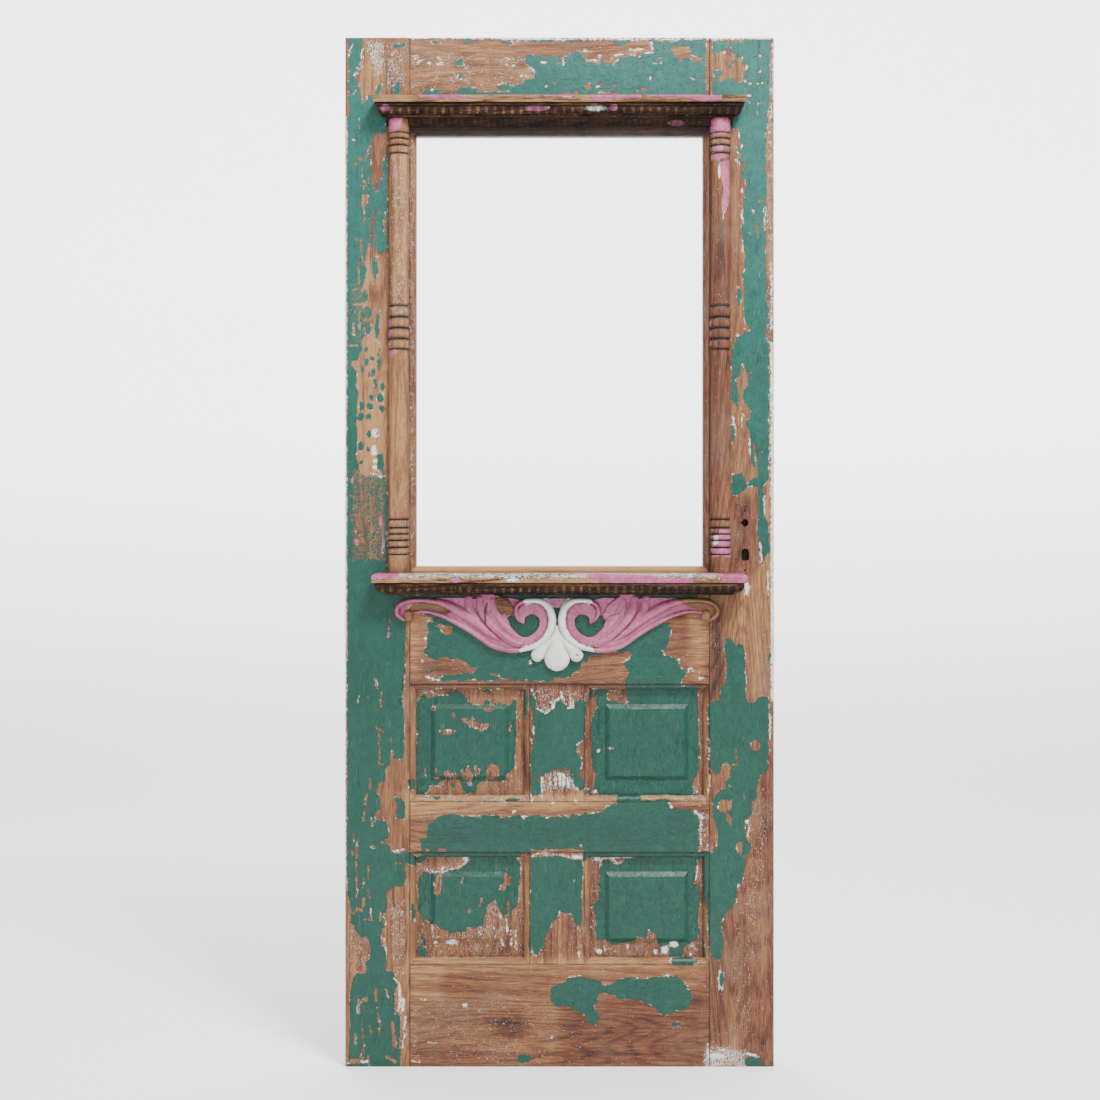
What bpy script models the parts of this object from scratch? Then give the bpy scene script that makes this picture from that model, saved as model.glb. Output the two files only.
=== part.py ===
"""A half-glazed cottage door, joined from stiles, rails, muntins and raised panels, with planted ornament.

Metres, +Z up. The outer face looks along -Y. The origin is at the middle of the hinge stile's edge:
X runs across the door to the lock edge, and Z is zero at mid-height.
"""

import math
from collections import namedtuple

import bmesh
import bpy
from mathutils import Vector

# The whole leaf
DOOR_WIDTH = 0.864
DOOR_HEIGHT = 2.074
THICKNESS = 0.044
GAP = 0.0003  # kept between pieces that touch
OVERLAP = 0.004  # how far joined shapes run into each other
EASING = 0.003  # worn arris along the leaf's outer edges

# Frame members, measured on their flat faces
STILE_WIDTH = 0.130
TOP_RAIL_HEIGHT = 0.184
LOCK_RAIL_HEIGHT = 0.225
MIDDLE_RAIL_HEIGHT = 0.102
BOTTOM_RAIL_HEIGHT = 0.206
UPPER_PANEL_OPENING = 0.237
LOWER_PANEL_OPENING = 0.226
MUNTIN_WIDTH = 0.110
MUNTIN_SHIFT = -0.005  # the muntins and the carving stand a little towards the hinge edge

# Moulded edge round every opening
STICKING_WIDTH = 0.012
GROOVE_WIDTH = 0.014  # between the front and the rear moulding, for the panel's edge
QUIRK = 0.0018
STICKING_SHOULDER = 0.001
STICKING_FOOT = 0.0025
STICKING_STEPS = 4

# Blind joints
TENON_LENGTH = 0.060
MUNTIN_TENON_LENGTH = 0.030
TENON_SHOULDER = 0.022

# Raised panels
PANEL_MARGIN = 0.030  # flat border from the moulding to the raised field
FIELD_SLOPE = 0.009
FIELD_RISE = 0.007
PANEL_PLAY = 0.001

# Glazing
GLASS_THICKNESS = 0.004
GLASS_PLAY = 0.002
BEAD_WIDTH = 0.012
BEAD_ROUND = 0.008
BEAD_STEPS = 3

# Half-round columns
COLUMN_RADIUS = 0.0217
COLUMN_SIDES = 8
SHAFT_TOP_RADIUS = 0.0194
SHAFT_BOTTOM_RADIUS = 0.0212
RING_GROOVE_RADIUS = 0.0188
RING_ROUND = 0.22  # share of a ring's height that rounds over at each edge
CAP_HEIGHT = 0.0303
CAP_ROUND = 0.25
CAP_NECK_RADIUS = 0.0195
BASE_HEIGHT = 0.0348
CAP_RINGS = (0.0120, 0.0134, 0.0162)
MIDDLE_RINGS = (0.0231, 0.0221, 0.0216, 0.0215)
BASE_RINGS = (0.0170, 0.0124, 0.0126, 0.0144, 0.0150)
LOWER_SHAFT = 0.341
SHAFT_STEP = 0.0004  # height of the sharp step from a groove to a shaft
COLUMN_HOUSING = 0.001  # how far the column's head enters the cornice
HOUSING_PLAY = 0.0006

# Cornice: each level is (projection from the door face, projection past the column, height)
CORNICE_RISE = 0.003  # above the edge of the glass opening
COVE = ((0.008, 0.002), (0.019, 0.0045), 0.0155)
CORNICE_FILLET = (0.024, 0.0055, 0.005)
CORNICE_OVOLO = ((0.0255, 0.0064), (0.037, 0.018), 0.0145)
CORNICE_BEAD = (0.039, 0.0198, 0.0048)
BEAD_BULGE = 0.0015
CORNICE_QUIRK = (0.0385, 0.0193, 0.001)
CORNICE_NOSE = ((0.045, 0.0236), (0.048, 0.0268), 0.0132)
CORNICE_NOSE_EDGE = 0.004  # upright edge at the very top

# Sill
SILL_FILLET = (0.027, 0.0033, 0.005)
SILL_OVOLO = ((0.0295, 0.0055), (0.0465, 0.0226), 0.017)
SILL_QUIRK = (0.0445, 0.0206, 0.0025)
SILL_NOSE = (0.052, 0.0285, 0.0099)
SILL_TOP_ROUND = (0.014, 0.0096)

# Egg pattern of both mouldings
EGG_PITCH = 0.0172
EGG_RELIEF = 0.003
EGG_SPREAD = 0.34  # half an egg's width as a share of the pitch
DART_RELIEF = 0.0012
DART_SPREAD = 0.1
EGG_STATIONS = 4  # points across one repeat
EGG_ROWS = 3
CURVE_STEPS = 4

# Scroll carving, drawn on a grid of units from its axis and its top edge. Each strand is a rounded or
# a flat ribbon through (across, down, half width, height), and most are mirrored about the axis.
CARVING_LENGTH = 0.650
CARVING_UNITS = 322
CARVING_DROP = 0.0035  # below the sill
CARVING_ROOT = 0.002  # how far the strands run past the back before it is cut flat
ROOT_STEP = 0.00005
ROUND_SECTION = ((1.0, 0.2), (0.62, 0.82), (0.0, 1.0), (-0.62, 0.82), (-1.0, 0.2))
FLAT_SECTION = ((1.0, 1.0), (-1.0, 1.0))
OUTER_RIM = ((151, 24.5, 1.2, 5.5), (157.4, 20.5, 2.2, 6), (159.8, 14.5, 2.4, 6.5),
             (156, 8.3, 2.4, 6.5), (148, 5, 2.4, 6.5), (134, 4.2, 2.4, 6.5),
             (119, 6, 3.4, 6.5), (106, 10.6, 4.6, 6.5), (94, 17.3, 5, 6),
             (81, 26, 4.5, 6), (69, 36, 3.5, 5.2), (56, 45, 1.4, 3.2))
LOWER_RIM = ((144, 16.5, 1.2, 5), (134, 15.3, 1.6, 5), (125, 16.5, 1.8, 5), (113, 20.5, 2, 5),
             (101, 26.5, 2.4, 5), (90, 32.5, 2.6, 5), (78, 40.5, 2.6, 5), (66, 49, 2.6, 5),
             (53, 53.3, 2.6, 5), (41, 54.4, 2.5, 5.2), (30, 52.8, 1.8, 5))
ARM_FLOOR = ((153, 18, 5.5, 2.8), (150, 11.5, 6.5, 2.8), (134, 9.5, 5.8, 2.6),
             (119, 11.5, 6, 2.4), (104, 18, 7, 2.4), (88, 28, 7, 2.4), (72, 40, 6, 2.4),
             (58, 47.5, 4, 2.4), (44, 50, 3.6, 2.4), (35, 50.4, 3, 2.4))
EYE = ((148, 15, 2.4, 6), (148, 17.2, 5.2, 7), (148, 23.2, 5.2, 7), (148, 25.2, 2.4, 6))
SCROLL_RIM = ((33.6, 27.2, 0.8, 5), (38.6, 23, 1.6, 6), (41.2, 16.5, 1.9, 6.5),
              (39.4, 9.4, 2.2, 6.5), (33, 5.2, 2.4, 7), (24, 4.4, 2.6, 7.5), (15, 5.8, 3.2, 7.5),
              (8, 12, 4, 7.5), (5, 23, 4.3, 7.5), (6.8, 33, 4.3, 7.5), (12, 42, 4, 7),
              (21, 49.3, 3.2, 6.5), (33, 53.5, 2, 5.5))
SCROLL_FLOOR = ((33.4, 26, 1, 4), (35.4, 20.6, 3.8, 3.8), (33.4, 15.4, 5.6, 3.5),
                (26.4, 12.2, 6, 3.2), (18.4, 14, 6, 2.8), (13.6, 20.5, 4.8, 2.6),
                (13.2, 28, 4.5, 2.6), (16, 35.5, 4.4, 2.8), (22.6, 42, 4.4, 3), (32, 46, 5, 3.2),
                (43.5, 43, 6.2, 3.4), (53, 35, 8, 3.4), (60, 24, 10.5, 3.4), (66, 13, 11, 3.2),
                (70, 4, 9, 3))
LEAF_FLOOR = ((118, 4, 2.2, 2.2), (104, 7.5, 6, 2.3), (90, 12, 10, 2.4), (78, 16, 13, 2.5),
              (66, 17, 14, 2.5), (51, 11, 9.5, 2.5), (41, 11, 8, 2.5))
OUTER_RIDGE = ((88.5, 3, 4.4, 4.2), (87, 12, 4.8, 5), (81.5, 22, 4.2, 5.2), (73.5, 32, 3.2, 5),
               (63, 41, 1.8, 4))
FIRST_RIDGE = ((77, 3, 4.4, 4.8), (75, 14, 4.8, 5.8), (68, 26, 4.4, 6), (58, 36.5, 3.8, 5.5),
               (47, 44, 3, 5), (36, 48, 1.6, 4))
SECOND_RIDGE = ((65, 4, 3.4, 4.2), (61.5, 15, 4.6, 5.2), (55, 26, 4.2, 5.2), (47, 35, 3.4, 4.8),
                (38, 41.6, 1.8, 4))
SIDE_LOBE = ((0.8, 31, 1, 3), (3.2, 39, 2.2, 4.5), (9, 47.5, 3.6, 6), (15.5, 54, 5.6, 7),
             (19.4, 59.6, 6.2, 7), (22.2, 64, 4.2, 5.5), (23, 66, 1.4, 3))
MIDDLE_LOBE = ((0, 30, 1, 3), (0, 43, 3.4, 5), (0, 54, 8, 6.8), (0, 63, 12.4, 7.6), (0, 68.5, 11.6, 6.5),
               (0, 72, 8, 5), (0, 74.4, 3, 3))
BRIDGE = ((-14, 7, 5, 2.4), (14, 7, 5, 2.4))
# The leaf's last lobe, whole on the lock side and split down to its root on the hinge side
WHOLE_LOBE = ((64, 5, 5, 3.4), (57, 13, 7, 4), (50, 19.5, 4.4, 3.8))
BROKEN_LOBE = ((60, 4, 4.5, 3), (54, 9.5, 6.5, 3), (48, 14.5, 4.6, 2.8))

# Lock holes in the lock stile
LOCK_BACKSET = 0.058
SPINDLE_HEIGHT = 1.032
SPINDLE_SIZE = (0.0150, 0.0240)
SPINDLE_CORNER = 0.002
KEYHOLE_RISE = 0.064  # above the spindle, as the lock's case sets it
KEYHOLE_HEIGHT = SPINDLE_HEIGHT + KEYHOLE_RISE
KEYHOLE_SIZE = (0.0126, 0.0154)
KEYHOLE_LOBE = 0.0055
UPPER_SCREW_RISE = 0.0245  # above the keyhole
UPPER_SCREW_HOLE = 0.0032
LOWER_SCREW_DROP = 0.0318  # below the spindle
LOWER_SCREW_HOLE = 0.0042
SCREW_DEPTH = 0.014
POCKET_THICKNESS = 0.016
POCKET_BEYOND = 0.022  # how far the pocket runs in past the holes' centre line
POCKET_MARGIN = 0.010  # above the keyhole and below the spindle hole
HOLE_STEPS = 10

FACE = -THICKNESS / 2
LIP_DEPTH = (THICKNESS - GROOVE_WIDTH) / 2

Rect = namedtuple("Rect", "left right bottom top")
Opening = namedtuple("Opening", "rect glazed left right bottom top")

SIDES = ("left", "right", "bottom", "top")
RAILS = ("bottom_rail", "middle_rail", "lock_rail", "top_rail")
MUNTIN_ENDS = {"lower_muntin": ("bottom_rail", "middle_rail"), "upper_muntin": ("middle_rail", "lock_rail")}


def up(height):
    """World z of a height above the foot."""
    return height - DOOR_HEIGHT / 2


def layout():
    """The members' and the openings' rectangles on the door's face."""
    rows = (BOTTOM_RAIL_HEIGHT, LOWER_PANEL_OPENING, MIDDLE_RAIL_HEIGHT, UPPER_PANEL_OPENING,
            LOCK_RAIL_HEIGHT)
    lines = [0.0]
    for row in rows:
        lines.append(lines[-1] + row)
    lines = [up(line) for line in lines + [DOOR_HEIGHT - TOP_RAIL_HEIGHT, DOOR_HEIGHT]]
    inner_left, inner_right = STILE_WIDTH, DOOR_WIDTH - STILE_WIDTH
    muntin_left = (DOOR_WIDTH - MUNTIN_WIDTH) / 2 + MUNTIN_SHIFT
    muntin_right = muntin_left + MUNTIN_WIDTH
    members = {
        "hinge_stile": Rect(0.0, inner_left, lines[0], lines[7]),
        "lock_stile": Rect(inner_right, DOOR_WIDTH, lines[0], lines[7]),
        "bottom_rail": Rect(inner_left, inner_right, lines[0], lines[1]),
        "middle_rail": Rect(inner_left, inner_right, lines[2], lines[3]),
        "lock_rail": Rect(inner_left, inner_right, lines[4], lines[5]),
        "top_rail": Rect(inner_left, inner_right, lines[6], lines[7]),
        "lower_muntin": Rect(muntin_left, muntin_right, lines[1], lines[2]),
        "upper_muntin": Rect(muntin_left, muntin_right, lines[3], lines[4]),
    }
    openings = {
        "glass": Opening(Rect(inner_left, inner_right, lines[5], lines[6]), True,
                         "hinge_stile", "lock_stile", "lock_rail", "top_rail"),
        "upper_left": Opening(Rect(inner_left, muntin_left, lines[3], lines[4]), False,
                              "hinge_stile", "upper_muntin", "middle_rail", "lock_rail"),
        "upper_right": Opening(Rect(muntin_right, inner_right, lines[3], lines[4]), False,
                               "upper_muntin", "lock_stile", "middle_rail", "lock_rail"),
        "lower_left": Opening(Rect(inner_left, muntin_left, lines[1], lines[2]), False,
                              "hinge_stile", "lower_muntin", "bottom_rail", "middle_rail"),
        "lower_right": Opening(Rect(muntin_right, inner_right, lines[1], lines[2]), False,
                               "lower_muntin", "lock_stile", "bottom_rail", "middle_rail"),
    }
    return members, openings


def clear_scene():
    for old in list(bpy.data.objects):
        bpy.data.objects.remove(old, do_unlink=True)


def finish(name, colour, roughness, metallic=0.0, transmission=0.0):
    """A plain material with the piece's main colour."""
    made = bpy.data.materials.new(name)
    made.use_nodes = True
    shader = made.node_tree.nodes["Principled BSDF"]
    shader.inputs["Base Color"].default_value = (*colour, 1.0)
    shader.inputs["Roughness"].default_value = roughness
    shader.inputs["Metallic"].default_value = metallic
    shader.inputs["Transmission Weight"].default_value = transmission
    return made


def as_object(name, shape, material=None):
    """Turns a bmesh into a linked object with its faces pointing out."""
    bmesh.ops.recalc_face_normals(shape, faces=shape.faces)
    mesh = bpy.data.meshes.new(name)
    shape.to_mesh(mesh)
    shape.free()
    made = bpy.data.objects.new(name, mesh)
    bpy.context.scene.collection.objects.link(made)
    if material:
        mesh.materials.append(material)
    return made


def as_helper(name, shape):
    """A cutter or an addend, which is no piece of its own."""
    made = as_object(name, shape)
    made.hide_render = True
    made.display_type = "WIRE"
    return made


def combine(target, helper, operation):
    step = target.modifiers.new(helper.name, "BOOLEAN")
    step.operation = operation
    step.solver = "EXACT"
    step.object = helper


def loft(shape, rings, close_start=True, close_end=True):
    """Quads from ring to ring, each ring a closed loop of points, with flat ends."""
    loops = [[shape.verts.new(point) for point in ring] for ring in rings]
    for lower, upper in zip(loops, loops[1:]):
        for i in range(len(lower)):
            j = (i + 1) % len(lower)
            shape.faces.new((lower[i], lower[j], upper[j], upper[i]))
    if close_start:
        shape.faces.new(reversed(loops[0]))
    if close_end:
        shape.faces.new(loops[-1])
    return loops


def add_box(shape, low, high):
    corners = [(low[0], low[1]), (high[0], low[1]), (high[0], high[1]), (low[0], high[1])]
    loft(shape, [[(x, y, z) for x, y in corners] for z in (low[2], high[2])])


def arc(start, end, steps, bulge_first=True):
    """Points of a quarter ellipse from start to end, without start itself.

    With bulge_first the curve leaves start along its first coordinate.
    """
    points = []
    for k in range(1, steps + 1):
        turn = math.pi / 2 * k / steps
        first, second = math.sin(turn), 1 - math.cos(turn)
        if not bulge_first:
            first, second = second, first
        points.append((start[0] + (end[0] - start[0]) * first, start[1] + (end[1] - start[1]) * second))
    return points


def sticking_section():
    """(distance into the opening, depth below the face) round the moulded edge."""
    shoulder = (STICKING_SHOULDER, QUIRK)
    foot = (STICKING_WIDTH, LIP_DEPTH - STICKING_FOOT)
    curve = arc(shoulder, foot, STICKING_STEPS)
    return [(0.0, QUIRK), shoulder, *curve, (STICKING_WIDTH, LIP_DEPTH), (0.0, LIP_DEPTH)]


def edge_point(rect, side, along, inward, y):
    """World point beside one side of an opening."""
    if side == "left":
        return (rect.left + inward, y, along)
    if side == "right":
        return (rect.right - inward, y, along)
    if side == "bottom":
        return (along, y, rect.bottom + inward)
    return (along, y, rect.top - inward)


def side_run(rect, side):
    return (rect.bottom, rect.top) if side in ("left", "right") else (rect.left, rect.right)


def mitred_strip(shape, rect, side, section, face_sign, root):
    """A strip along one side of an opening, mitred at both ends.

    The section starts and ends on the opening's edge. root is how far the strip runs back into
    the member that carries it, where its ends are square.
    """
    start, end = side_run(rect, side)

    def ring(at_end):
        points = []
        for inward, depth in section:
            along = end - inward - GAP if at_end else start + inward + GAP
            points.append(edge_point(rect, side, along, inward, face_sign * (THICKNESS / 2 - depth)))
        return [shape.verts.new(point) for point in points]

    first, last = ring(False), ring(True)
    for i in range(len(section) - 1):
        shape.faces.new((first[i], first[i + 1], last[i + 1], last[i]))
    shape.faces.new(first)
    shape.faces.new(last)
    if not root:
        shape.faces.new((first[-1], first[0], last[0], last[-1]))
        return
    back = []
    for rail, along in ((first, start + GAP), (last, end - GAP)):
        pair = [shape.verts.new(edge_point(rect, side, along, -root, rail[k].co.y)) for k in (0, -1)]
        shape.faces.new((rail[0], rail[-1], pair[1], pair[0]))
        back.append(pair)
    shape.faces.new((first[0], last[0], back[1][0], back[0][0]))
    shape.faces.new((first[-1], last[-1], back[1][1], back[0][1]))
    shape.faces.new((back[0][0], back[1][0], back[1][1], back[0][1]))


def stickings(name, openings):
    """The moulded edges that one member carries, as one helper."""
    shape = bmesh.new()
    section = sticking_section()
    for opening in openings.values():
        for side in SIDES:
            if getattr(opening, side) != name:
                continue
            for face_sign in (-1,) if opening.glazed else (-1, 1):
                mitred_strip(shape, opening.rect, side, section, face_sign, OVERLAP)
    return as_helper(name + "_stickings", shape)


def eased_box(rect, eased_sides):
    """A member's core, with the arrises of the named outer sides taken off."""
    shape = bmesh.new()
    add_box(shape, (rect.left, FACE, rect.bottom), (rect.right, -FACE, rect.top))
    outer = {"left": (0, rect.left), "right": (0, rect.right), "top": (2, rect.top)}
    worn_faces = [(1, FACE), (1, -FACE)] + [outer[side] for side in eased_sides]

    def lies_on(edge, axis, place):
        return all(abs(vert.co[axis] - place) < GAP for vert in edge.verts)

    worn = [edge for edge in shape.edges if sum(lies_on(edge, *face) for face in worn_faces) == 2]
    bmesh.ops.bevel(shape, geom=worn, offset=EASING, segments=1, affect="EDGES")
    return shape


def add_rail_tenons(shape, rect, grow=0.0):
    """The tongues at a rail's two ends. grow widens them all round, to cut their mortises."""
    for start, end in ((rect.left - TENON_LENGTH, rect.left + OVERLAP),
                       (rect.right - OVERLAP, rect.right + TENON_LENGTH)):
        add_box(shape, (start - grow, -GROOVE_WIDTH / 2 - grow, rect.bottom + TENON_SHOULDER - grow),
                (end + grow, GROOVE_WIDTH / 2 + grow, rect.top - TENON_SHOULDER + grow))


def add_muntin_tenons(shape, rect, grow=0.0):
    """The tongues at a muntin's two ends, like a rail's."""
    for start, end in ((rect.bottom - MUNTIN_TENON_LENGTH, rect.bottom + OVERLAP),
                       (rect.top - OVERLAP, rect.top + MUNTIN_TENON_LENGTH)):
        add_box(shape, (rect.left + TENON_SHOULDER - grow, -GROOVE_WIDTH / 2 - grow, start - grow),
                (rect.right - TENON_SHOULDER + grow, GROOVE_WIDTH / 2 + grow, end + grow))


def build_stiles(members, openings, paint):
    made = {}
    for name, outer in (("hinge_stile", "left"), ("lock_stile", "right")):
        stile = as_object(name, eased_box(members[name], (outer, "top")), paint)
        combine(stile, stickings(name, openings), "UNION")
        cutter = bmesh.new()
        for rail in RAILS:
            add_rail_tenons(cutter, members[rail], GAP)
        combine(stile, as_helper(name + "_mortises", cutter), "DIFFERENCE")
        made[name] = stile
    return made


def build_rails(members, openings, paint):
    for name in RAILS:
        rect = members[name]
        shortened = rect._replace(left=rect.left + GAP, right=rect.right - GAP)
        rail = as_object(name, eased_box(shortened, ("top",) if name == "top_rail" else ()), paint)
        combine(rail, stickings(name, openings), "UNION")
        tongues = bmesh.new()
        add_rail_tenons(tongues, rect)
        combine(rail, as_helper(name + "_tenons", tongues), "UNION")
        for muntin, ends in MUNTIN_ENDS.items():
            if name in ends:
                cutter = bmesh.new()
                add_muntin_tenons(cutter, members[muntin], GAP)
                combine(rail, as_helper(name + "_" + muntin + "_mortise", cutter), "DIFFERENCE")


def build_muntins(members, openings, paint):
    for name in MUNTIN_ENDS:
        rect = members[name]
        shape = bmesh.new()
        add_box(shape, (rect.left, FACE, rect.bottom + GAP), (rect.right, -FACE, rect.top - GAP))
        muntin = as_object(name, shape, paint)
        combine(muntin, stickings(name, openings), "UNION")
        tongues = bmesh.new()
        add_muntin_tenons(tongues, rect)
        combine(muntin, as_helper(name + "_tenons", tongues), "UNION")


def rect_ring(rect, inset, y):
    return [(rect.left + inset, y, rect.bottom + inset), (rect.right - inset, y, rect.bottom + inset),
            (rect.right - inset, y, rect.top - inset), (rect.left + inset, y, rect.top - inset)]


def build_panels(openings, paint):
    board = GROOVE_WIDTH / 2 - GAP
    for name, opening in openings.items():
        if opening.glazed:
            continue
        shape = bmesh.new()
        foot = STICKING_WIDTH + PANEL_MARGIN
        loft(shape, [
            rect_ring(opening.rect, PANEL_PLAY, board),
            rect_ring(opening.rect, PANEL_PLAY, -board),
            rect_ring(opening.rect, foot, -board),
            rect_ring(opening.rect, foot + FIELD_SLOPE, -board - FIELD_RISE),
        ])
        as_object("panel_" + name, shape, paint)


def build_glazing(openings, paint, glass):
    """The pane against the front moulding, and the mitred beads behind it."""
    opening = openings["glass"].rect
    pane_front = FACE + LIP_DEPTH + GAP
    pane_back = pane_front + GLASS_THICKNESS
    shape = bmesh.new()
    add_box(shape, (opening.left + GLASS_PLAY, pane_front, opening.bottom + GLASS_PLAY),
            (opening.right - GLASS_PLAY, pane_back, opening.top - GLASS_PLAY))
    as_object("glass_pane", shape, glass)
    deep = THICKNESS / 2 - pane_back - GAP
    turn = (BEAD_WIDTH, BEAD_ROUND)
    corner = arc(turn, (BEAD_WIDTH - BEAD_ROUND, 0.0), BEAD_STEPS, False)
    section = [(GAP, deep), (BEAD_WIDTH, deep), turn, *corner, (GAP, 0.0)]
    for side in SIDES:
        bead = bmesh.new()
        mitred_strip(bead, opening, side, section, 1, 0.0)
        as_object("glazing_bead_" + side, bead, paint)


def hole_outline(size, corner=None):
    """Outline of a hole: an ellipse, or a round-headed hole with the given lower corners."""
    half_width, half_height = size[0] / 2, size[1] / 2
    if corner is None:
        turns = [2 * math.pi * k / HOLE_STEPS for k in range(HOLE_STEPS)]
        return [(half_width * math.cos(turn), half_height * math.sin(turn)) for turn in turns]
    head = [math.pi * k / (HOLE_STEPS // 2) for k in range(HOLE_STEPS // 2 + 1)]
    spring = half_height - half_width
    outline = [(half_width * math.cos(turn), spring + half_width * math.sin(turn)) for turn in head]
    return outline + [(-half_width, corner - half_height), (corner - half_width, -half_height),
                      (half_width - corner, -half_height), (half_width, corner - half_height)]


def add_hole(shape, x, z, outline, depth):
    """A cutter from in front of the face to the given depth."""
    loft(shape, [[(x + across, y, z + rise) for across, rise in outline]
                 for y in (FACE - OVERLAP, FACE + depth)])


def cut_lock_holes(stile):
    """Keyhole, spindle hole and screw holes in the face, and the lock's pocket in the edge."""
    x = DOOR_WIDTH - LOCK_BACKSET
    through = THICKNESS / 2
    names = ("pocket", "keyhole", "keyhole_lobe", "spindle_hole", "screw_holes")
    cutters = {name: bmesh.new() for name in names}
    low = up(SPINDLE_HEIGHT) - SPINDLE_SIZE[1] / 2 - POCKET_MARGIN
    high = up(KEYHOLE_HEIGHT) + KEYHOLE_SIZE[1] / 2 + POCKET_MARGIN
    add_box(cutters["pocket"], (x - POCKET_BEYOND, -POCKET_THICKNESS / 2, low),
            (DOOR_WIDTH + OVERLAP, POCKET_THICKNESS / 2, high))
    add_hole(cutters["keyhole"], x, up(KEYHOLE_HEIGHT), hole_outline(KEYHOLE_SIZE), through)
    add_hole(cutters["keyhole_lobe"], x - KEYHOLE_SIZE[0] / 2, up(KEYHOLE_HEIGHT),
             hole_outline((KEYHOLE_LOBE, KEYHOLE_LOBE)), through)
    spindle = hole_outline(SPINDLE_SIZE, SPINDLE_CORNER)
    add_hole(cutters["spindle_hole"], x, up(SPINDLE_HEIGHT), spindle, through)
    screws = ((KEYHOLE_HEIGHT + UPPER_SCREW_RISE, UPPER_SCREW_HOLE),
              (SPINDLE_HEIGHT - LOWER_SCREW_DROP, LOWER_SCREW_HOLE))
    for height, across in screws:
        add_hole(cutters["screw_holes"], x, up(height), hole_outline((across, across)), SCREW_DEPTH)
    for name, shape in cutters.items():
        combine(stile, as_helper("lock_" + name, shape), "DIFFERENCE")


def ring_points(top, rings):
    """(radius, height) down a stack of convex rings."""
    points = []
    for height in rings:
        for share in (RING_ROUND, 1 - RING_ROUND):
            points.append((COLUMN_RADIUS, top - height * share))
        top -= height
        points.append((RING_GROOVE_RADIUS, top))
    return points, top


def column_profile(bottom, top):
    """(radius, height) from the column's head to its foot."""
    upper_shaft = top - bottom - CAP_HEIGHT - sum(CAP_RINGS) - sum(MIDDLE_RINGS) - LOWER_SHAFT \
        - sum(BASE_RINGS) - BASE_HEIGHT
    share = upper_shaft / (upper_shaft + LOWER_SHAFT)
    middle_radius = SHAFT_TOP_RADIUS + (SHAFT_BOTTOM_RADIUS - SHAFT_TOP_RADIUS) * share
    points = [(CAP_NECK_RADIUS, top), (COLUMN_RADIUS, top - CAP_HEIGHT * CAP_ROUND),
              (COLUMN_RADIUS, top - CAP_HEIGHT * (1 - CAP_ROUND)), (RING_GROOVE_RADIUS, top - CAP_HEIGHT)]
    rings, level = ring_points(top - CAP_HEIGHT, CAP_RINGS)
    points += rings + [(SHAFT_TOP_RADIUS, level - SHAFT_STEP)]
    level -= upper_shaft
    points += [(middle_radius, level + SHAFT_STEP), (RING_GROOVE_RADIUS, level)]
    rings, level = ring_points(level, MIDDLE_RINGS)
    points += rings + [(middle_radius, level - SHAFT_STEP)]
    level -= LOWER_SHAFT
    points += [(SHAFT_BOTTOM_RADIUS, level + SHAFT_STEP), (RING_GROOVE_RADIUS, level)]
    rings, level = ring_points(level, BASE_RINGS)
    points += rings + [(COLUMN_RADIUS, level - SHAFT_STEP), (COLUMN_RADIUS, bottom)]
    return points


def half_round(shape, x, profile):
    """A half-turned solid with its flat back on the door's face."""
    turns = [math.pi * k / COLUMN_SIDES for k in range(COLUMN_SIDES + 1)]
    loft(shape, [[(x + radius * math.cos(turn), FACE - GAP - radius * math.sin(turn), z) for turn in turns]
                 for radius, z in profile])


def column_places():
    return {"left_half_column": STILE_WIDTH - COLUMN_RADIUS,
            "right_half_column": DOOR_WIDTH - STILE_WIDTH + COLUMN_RADIUS}


def build_columns(bottom, top, bare_wood):
    for name, x in column_places().items():
        shape = bmesh.new()
        half_round(shape, x, column_profile(bottom, top))
        column = as_object(name, shape, bare_wood)
        column.data.shade_smooth()
        column.data.set_sharp_from_angle(angle=math.radians(30))


def ornament_half_length():
    """From the door's centre line to the outer side of a column."""
    return DOOR_WIDTH / 2 - STILE_WIDTH + 2 * COLUMN_RADIUS


def plain_ring(front, side, z):
    half = ornament_half_length() + side
    centre, back = DOOR_WIDTH / 2, FACE - GAP
    return [(centre - half, back, z), (centre - half, back - front, z),
            (centre + half, back - front, z), (centre + half, back, z)]


def egg_relief(phase, share):
    """Height of the egg and the dart: phase is -0.5 to 0.5 across one repeat, share 0 to 1 up the band."""
    rise = math.sin(math.pi * share)
    egg = max(0.0, 1 - (phase / EGG_SPREAD) ** 2)
    dart = max(0.0, 1 - ((0.5 - abs(phase)) / DART_SPREAD) ** 2)
    return rise * (EGG_RELIEF * math.sqrt(egg) + DART_RELIEF * dart)


def egg_ring(front, side, z, share, steep, return_eggs):
    """One row of points across the egg band, round both mitred returns."""
    half = ornament_half_length() + side
    centre, back = DOOR_WIDTH / 2, FACE - GAP
    eggs = int(2 * ornament_half_length() / EGG_PITCH)
    points = []

    def add(x, y, outward, phase):
        push = egg_relief(phase, share)
        level, fall = push * math.cos(steep), push * math.sin(steep)
        points.append((x + outward[0] * level, y + outward[1] * level, z - fall))

    def dart_first(count):
        return count / EGG_STATIONS % 1 - 0.5

    on_return = return_eggs * EGG_STATIONS
    for k in range(on_return):
        add(centre - half, back - front * k / on_return, (-1, 0), dart_first(k))
    points.append((centre - half, back - front, z))
    for k in range(eggs * EGG_STATIONS + 1):
        add(centre + (k / EGG_STATIONS - eggs / 2) * EGG_PITCH, back - front, (0, -1), dart_first(k))
    points.append((centre + half, back - front, z))
    for k in reversed(range(on_return)):
        add(centre + half, back - front * k / on_return, (1, 0), dart_first(k))
    return points


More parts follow.
